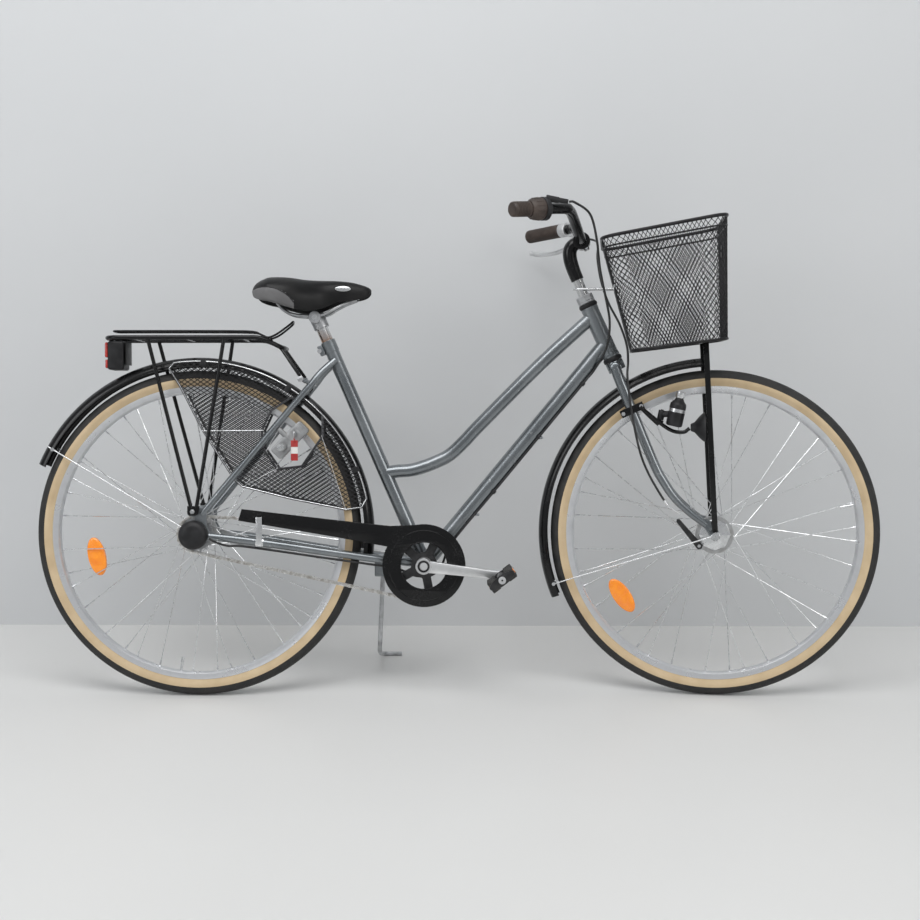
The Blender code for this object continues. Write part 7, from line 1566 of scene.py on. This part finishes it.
basket_wire = worn_finish("coated_basket_wire", (20.0, 0.36, 0.72),
                          ((0.005, 0.005, 0.006), (0.020, 0.020, 0.021)), (0.32, 0.50),
                          (600.0, 0.0002, 0.35), Specular_IOR_Level=0.30)
top_loop, foot_loop = rounded_loop(BASKET_TOP, TOP_BEND), rounded_loop(BASKET_FOOT, FOOT_BEND)
middle = sum(foot_loop, Vector()) / len(foot_loop)
count = len(top_loop)
MESH_STEPS = 16
MESH_SLANT = 17.0
MESH_WIRE = 0.0008
FLOOR_PITCH = 0.0105
runs = []
for lean in (1, -1):
    for start in range(count):
        run = []
        for step in range(MESH_STEPS + 1):
            share = step / MESH_STEPS
            at = start + lean * share * MESH_SLANT
            i = math.floor(at)
            over, under = [loop[i % count].lerp(loop[(i + 1) % count], at - i)
                           for loop in (top_loop, foot_loop)]
            place_at = under.lerp(over, share)
            away = Vector((place_at.x - middle.x, place_at.y, 0.0)).normalized()
            run.append(place_at - away * 0.0004 * lean)
        runs.append(run)
floor_frame = axis_frame(Vector(BASKET_FOOT[0]) + Vector((0.0, 0.0, 0.0012)), (-0.121, 0.0, 0.993), FORWARD)
to_floor = floor_frame.inverted()
floor_edge = [tuple((to_floor @ p)[:2]) for p in foot_loop]
for turn, way in enumerate(((1.0, 0.9), (1.0, -0.9))):
    for a, b in strands([drawn_in(floor_edge, 0.0010)], way, FLOOR_PITCH):
        runs.append([floor_frame @ Vector((p.x, p.y, (turn - 0.5) * 0.0008)) for p in (a, b)])
fit(tubes(runs, MESH_WIRE), "basket_mesh", (basket_wire,), "steering",
    ["basket_right", "basket_left", "basket_rear", "basket_front", "basket_floor"], STEERED)
rim = rounded_loop(BASKET_TOP, TOP_BEND, 2)
foot = rounded_loop(BASKET_FOOT, FOOT_BEND, 2)
below = [a.lerp(b, 0.090) for a, b in zip(rim, foot)]
frame_wires = [rod([p - Vector((0, 0, 0.0025)) for p in rim], 0.0036, 14, True),
               rod(below, 0.0019, 10, True),
               rod([p + Vector((0, 0, 0.0016)) for p in foot], 0.0028, 12, True)]
for x in (0.33, 0.67):
    near = Vector(BASKET_FOOT[0]).lerp(Vector(BASKET_FOOT[1]), x)
    far = Vector(BASKET_FOOT[3]).lerp(Vector(BASKET_FOOT[2]), x)
    rib_ends = [near + Vector((0, 0.001, 0.0036)), far + Vector((0, -0.001, 0.0036))]
    frame_wires.append(rod(rib_ends, 0.0016, 10))
front_top, front_foot = [Vector(loop[1]).lerp(Vector(loop[2]), 0.5) for loop in (BASKET_TOP, BASKET_FOOT)]
tab_at = front_top.lerp(front_foot, 0.26)
frame_wires.append(block((0.0022, 0.0300, 0.0260), tab_at + Vector((-0.0024, 0, 0)), 0.0008, 2))
fit(joined(*frame_wires), "basket_frame", (basket_wire,), "steering", pose=STEERED)
hook_quill = on_steering(0.5750, 0.001)
share = (BASKET_TOP[0][2] - hook_quill.z) / (BASKET_TOP[0][2] - BASKET_FOOT[0][2])
hook_wall = Vector(BASKET_TOP[0]).lerp(Vector(BASKET_FOOT[0]), share)
hook_wall.y = 0.0
HOOK_BEND = ((0.020, 0.0147), (0.004, 0.0143), (-0.0090, 0.0110), (-0.0162, 0.0050), (-0.0170, 0.0))
round_quill = [hook_quill + Vector((x, y, 0.0)) for x, y in HOOK_BEND]
half_hook = smooth_line([hook_wall + SIDEWAYS * 0.0240] + round_quill, 5)
hook = joined(rod(half_hook[:-1] + mirrored_line(reversed(half_hook)), 0.0021, 12),
              bolt(hook_wall, SIDEWAYS, (-0.140, 0.140), 0.0020, 12))
fit(hook, "basket_hook", (stainless,), "steering", pose=STEERED)

# The basket's stays: flat black bars from the cross plate under its floor to eyes on the axle.
EYE_Y = 0.0571
STAY_X = 1.0850
STAY_LEVEL = 0.73955
FLOOR_SLOPE = -math.atan2(0.0240, 0.1970)
plate_z = STAY_LEVEL - math.tan(FLOOR_SLOPE) * (STAY_X - BASKET_FOOT[0][0])
stays = [block((0.0158, 0.1350, 0.0029), Matrix.Translation((STAY_X, 0.0, plate_z))
               @ Matrix.Rotation(FLOOR_SLOPE, 4, "Y"), 0.0006, 2)]
for side in (1, -1):
    low = FRONT_AXLE + SIDEWAYS * side * EYE_Y
    high = Vector((STAY_X, side * 0.0600, plate_z - 0.0005))
    rise = (high - low).normalized()
    stay_frame = axis_frame((high + low + rise * 0.0080) / 2, rise, FORWARD)
    stays.append(block((0.0118, 0.0029, (high - low).length - 0.0090), stay_frame, 0.0008, 2))
    stays.append(washer(-0.0014, 0.0014, 0.0053, 0.0095, axis_frame(low, SIDEWAYS), 32))
fit(joined(*stays), "basket_stays", (black_enamel,), "steering", ["basket_support"],
    STEERED)
screws = [rod([(STAY_X, y, plate_z + rise) for rise in (-0.0014, 0.0022)], 0.0048, 16)
          for y in (-0.03, 0.03)]
fit(joined(*screws), "basket_screws", (stainless,), "steering", pose=STEERED)

# The dynamo and headlamp: a black bottle with a bright band and a knurled wheel, on a strap bolted
# round the fork blade, and a black lamp with a silvered bowl behind clear ribbed glass.
STRAP_HEIGHT = 0.2950
DYNAMO_AXIS = Vector((0.21, 0.0, 0.98)).normalized()
DYNAMO_PIVOT = Vector((0.9930, -0.0480, 0.6050))
bottle_at = DYNAMO_PIVOT + Vector((0.0330, -0.0120, 0.0100))
bottle_frame = axis_frame(bottle_at, DYNAMO_AXIS)
bottle = joined(
    lathe(((-0.0340, 0.0), (-0.0340, 0.0135), (-0.0325, 0.0160), (-0.0300, 0.0173), (0.0100, 0.0173),
           (0.0140, 0.0166), (0.0180, 0.0135), (0.0205, 0.0108), (0.0260, 0.0080), (0.0268, 0.0080),
           (0.0268, 0.0)), bottle_frame, 56),
    rod([DYNAMO_PIVOT + (bottle_at - DYNAMO_PIVOT) * 0.15, bottle_at - DYNAMO_AXIS * 0.006], 0.0066, 20),
    bush(-0.0104, 0.0104, 0.0034, 0.0071, (0.0004, 0.0003), axis_frame(DYNAMO_PIVOT, DYNAMO_AXIS), 32))
fit(bottle, "dynamo_bottle", (black_plastic,), "dynamo", ["dynamo"], STEERED)
roller = [lathe(((0.0266, 0.0), (0.0266, 0.0092), (0.0276, 0.0098), (0.0394, 0.0098), (0.0399, 0.0092),
                 (0.0399, 0.0)), bottle_frame, 40),
          washer(-0.0040, 0.0030, 0.0170, 0.0175, bottle_frame, 56)]
fit(joined(*roller), "dynamo_roller", (stainless,), "dynamo", pose=STEERED)
bracket_parts = []
for y in (-0.0535, -0.0269):
    strap_frame = axis_frame(on_steering(STRAP_HEIGHT, -0.0065, y), STEER_AXIS, (1, 0, 0.3))
    bracket_parts.append(block((0.0518, 0.0023, 0.0158), strap_frame, 0.0007, 2))
strap_end = on_steering(STRAP_HEIGHT, 0.0115, -0.0567)
bracket_parts.append(rod([strap_end, strap_end.lerp(DYNAMO_PIVOT, 0.45) + Vector((0.0, -0.002, -0.012)),
                          DYNAMO_PIVOT + Vector((-0.0050, -0.0020, -0.0195))], 0.0046, 16))
bracket_parts.append(bolt(DYNAMO_PIVOT, DYNAMO_AXIS, (-0.020, -0.011), 0.0079, 24))
bracket_parts.append(bolt(DYNAMO_PIVOT, DYNAMO_AXIS, (-0.012, 0.012), 0.0029, 16))
lamp_arm = [strap_end + Vector((0.006, 0.0, -0.006)), (1.0080, -0.0590, 0.5760), (1.0380, -0.0590, 0.5690),
            (1.0520, -0.0570, 0.5770)]
bracket_parts.append(rod(smooth_line(lamp_arm, 6), 0.0040, 16))
fit(joined(*bracket_parts), "dynamo_strap", (black_enamel,), "steering", ["dynamo_bracket"],
    STEERED)
strap_bolts = [bolt(on_steering(STRAP_HEIGHT, ahead), SIDEWAYS, (-0.0592, -0.0212), 0.0044, 6)
               for ahead in (-0.0270, 0.0140)]
fit(joined(*strap_bolts), "dynamo_strap_bolts", (stainless,), "steering", pose=STEERED)
lamp_seat = axis_frame(Vector((1.0545, -0.0570, 0.5790)), (1.0, 0.0, 0.02))
shell = lathe(((0.0, 0.0), (0.0, 0.0070), (0.0010, 0.0080), (0.0080, 0.0110), (0.0140, 0.0180),
               (0.0200, 0.0245), (0.0260, 0.0296), (0.0286, 0.0309), (0.0300, 0.0309), (0.0300, 0.0291),
               (0.0262, 0.0282), (0.0200, 0.0228), (0.0140, 0.0150), (0.0120, 0.0100), (0.0108, 0.0)),
              lamp_seat, 64)
fit(shell, "headlamp_shell", (black_plastic,), "steering", ["headlamp"], STEERED)
bowl = lathe(((0.0112, 0.0), (0.0122, 0.0095), (0.0142, 0.0145), (0.0202, 0.0222), (0.0262, 0.0276),
              (0.0255, 0.0276), (0.0210, 0.0240), (0.0150, 0.0170), (0.0130, 0.0110), (0.0120, 0.0)),
             lamp_seat, 48)
fit(bowl, "headlamp_bowl", (chrome,), "steering", pose=STEERED)
lamp_glass, shader, place = new_finish("ribbed_lamp_glass")
ribbing = place.node("TexWave", {"wave_type": "BANDS", "bands_direction": "Y"},
                     {"Vector": place, "Scale": 90.0}, 1)
clear = place.noise(80.0).spread(0.3, 0.7)
wire_up(shader, {"Base Color": clear.colours((0.80, 0.83, 0.84), (0.92, 0.94, 0.95)),
                 "Roughness": clear.spread(0.0, 1.0, 0.05, 0.12), "Transmission Weight": 0.85, "IOR": 1.48,
                 "Normal": ribbing.bump(0.0005, 0.5)})
glass = lathe(((0.0276, 0.0), (0.0276, 0.0284), (0.0290, 0.0286), (0.0294, 0.0284), (0.0299, 0.0)),
              lamp_seat, 48)
fit(glass, "headlamp_glass", (lamp_glass,), "steering", pose=STEERED)

# The front brake's arm keeps its solid, in satin black.
refinish(["front_brake_arm"], black_satin)

# The cables: black vinyl housings. The gear cable loops from the shifter to the down tube and runs
# on to the hub. The brake cable follows the right fork blade to the drum's arm. Black collars clip
# the gear cable under the down tube.
CABLE_RADIUS = 0.0025
cable_vinyl = worn_finish("cable_vinyl", (50.0, 0.36, 0.72), ((0.010, 0.010, 0.011), (0.030, 0.030, 0.031)),
                          (0.30, 0.46), (700.0, 0.0001, 0.3))


def under_tube(share, y=-0.0120):
    """A place on a cable clipped along the underside of the down tube, by its share of the way up."""
    along = DOWN_TUBE_TOP - BRACKET
    below_tube = Vector((along.z, 0.0, -along.x)).normalized()
    return BRACKET + along * share + below_tube * math.sqrt(0.0200 ** 2 - y ** 2) + SIDEWAYS * y


def length_of(route):
    return sum((b - a).length for a, b in zip(route, route[1:]))


spout_way = (spout[1] - spout[0]).normalized()
LOOP_TURNING = [spout[1] + spout_way * 0.0018, spout[1] + spout_way * 0.0140, (0.8440, -0.1800, 1.0150),
                (0.8570, -0.1500, 0.9700), (0.8640, -0.1150, 0.9100), (0.8750, -0.0850, 0.8550),
                (0.8840, -0.0600, 0.8050), (0.8810, -0.0440, 0.7620)]
LOOP_FIXED = [(0.8670, -0.0320, 0.7300), under_tube(0.900), under_tube(0.870)]
loop_knots = [STEERED @ Vector(p) for p in LOOP_TURNING] + [PARKED @ Vector(p) for p in LOOP_FIXED]
loop_route = smooth_line(loop_knots, 10)
gear_loop = rod(loop_route, CABLE_RADIUS, 14)
gear_loop.name = "gear_cable_upper"
gear_loop.data.materials.append(cable_vinyl)
select_only(gear_loop)
bpy.ops.object.shade_smooth_by_angle(angle=math.radians(40.0))
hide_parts("gear_cable_loop")
PARKED @ under_tube(0.900)
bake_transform(gear_loop)
length_of(loop_route)
GEAR_RUN = [under_tube(0.8685), under_tube(0.840), under_tube(0.600), under_tube(0.350), under_tube(0.120),
            (0.5240, -0.0120, 0.2840), (0.5020, -0.0150, 0.2600), (0.4700, -0.0190, 0.2580),
            (0.4400, -0.0230, 0.2700), (0.4120, -0.0265, 0.2785), (0.3760, -0.0325, 0.2838),
            (0.3350, -0.0355, 0.2900), (0.2700, -0.0415, 0.2995), (0.1900, -0.0500, 0.3120),
            (0.1000, -0.0575, 0.3250), (0.0700, -0.0640, 0.3265), (0.0480, -0.0790, 0.3350),
            (0.0340, -0.0810, 0.3430)]
gear_route = smooth_line(GEAR_RUN, 6)
fit(rod(gear_route, CABLE_RADIUS, 14), "gear_cable_lower", (cable_vinyl,), "frame",
    ["gear_cable"])
BRAKE_RUN = [HORN_END + HORN_WAY * 0.0018, HORN_END + HORN_WAY * 0.0120, (0.8460, 0.2350, 1.0000),
             (0.8560, 0.1900, 0.9850), (0.8560, 0.1400, 0.9500), (0.8640, 0.1050, 0.9000),
             (0.8800, 0.0700, 0.8500), (0.9050, 0.0300, 0.8000), (0.9200, -0.0200, 0.7550),
             (0.9230, -0.0560, 0.7200), (0.9220, -0.0660, 0.6800), (0.9330, -0.0660, 0.6000),
             (0.9480, -0.0620, 0.5300), (0.9650, -0.0570, 0.4850), (0.9870, -0.0520, 0.4450),
             (1.0080, -0.0475, 0.4120)]
brake_route = smooth_line(BRAKE_RUN, 8)
brake_cord = fit(rod(brake_route, CABLE_RADIUS, 14), "brake_cable_housing", (cable_vinyl,), "steering",
                 ["brake_cable"], STEERED)
parked_route = [STEERED @ p for p in brake_route]
length_of(parked_route)
collars = [bush(-0.0040, 0.0040, 0.0026, 0.0046, (0.0010, 0.0004),
                axis_frame(under_tube(share), DOWN_TUBE_TOP - BRACKET), 20)
           for share in (0.8400, 0.6000, 0.3500, 0.1200)]
fit(joined(*collars), "cable_clips", (black_plastic,), "frame")
arm_end = FRONT_AXLE + Vector((-0.0700, -0.0463, 0.0420))
inner_wire = rod([brake_route[-1], brake_route[-1].lerp(arm_end, 0.92)], 0.0009, 8)
ferrule = rod([brake_route[-4], brake_route[-1]], 0.0031, 14)
fit(joined(ferrule, inner_wire), "brake_cable_end", (stainless,), "steering", pose=STEERED)
size = {"cad_low": list(cad_low), "cad_high": list(cad_high)}
low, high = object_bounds()
size["low"], size["high"] = list(low), list(high)
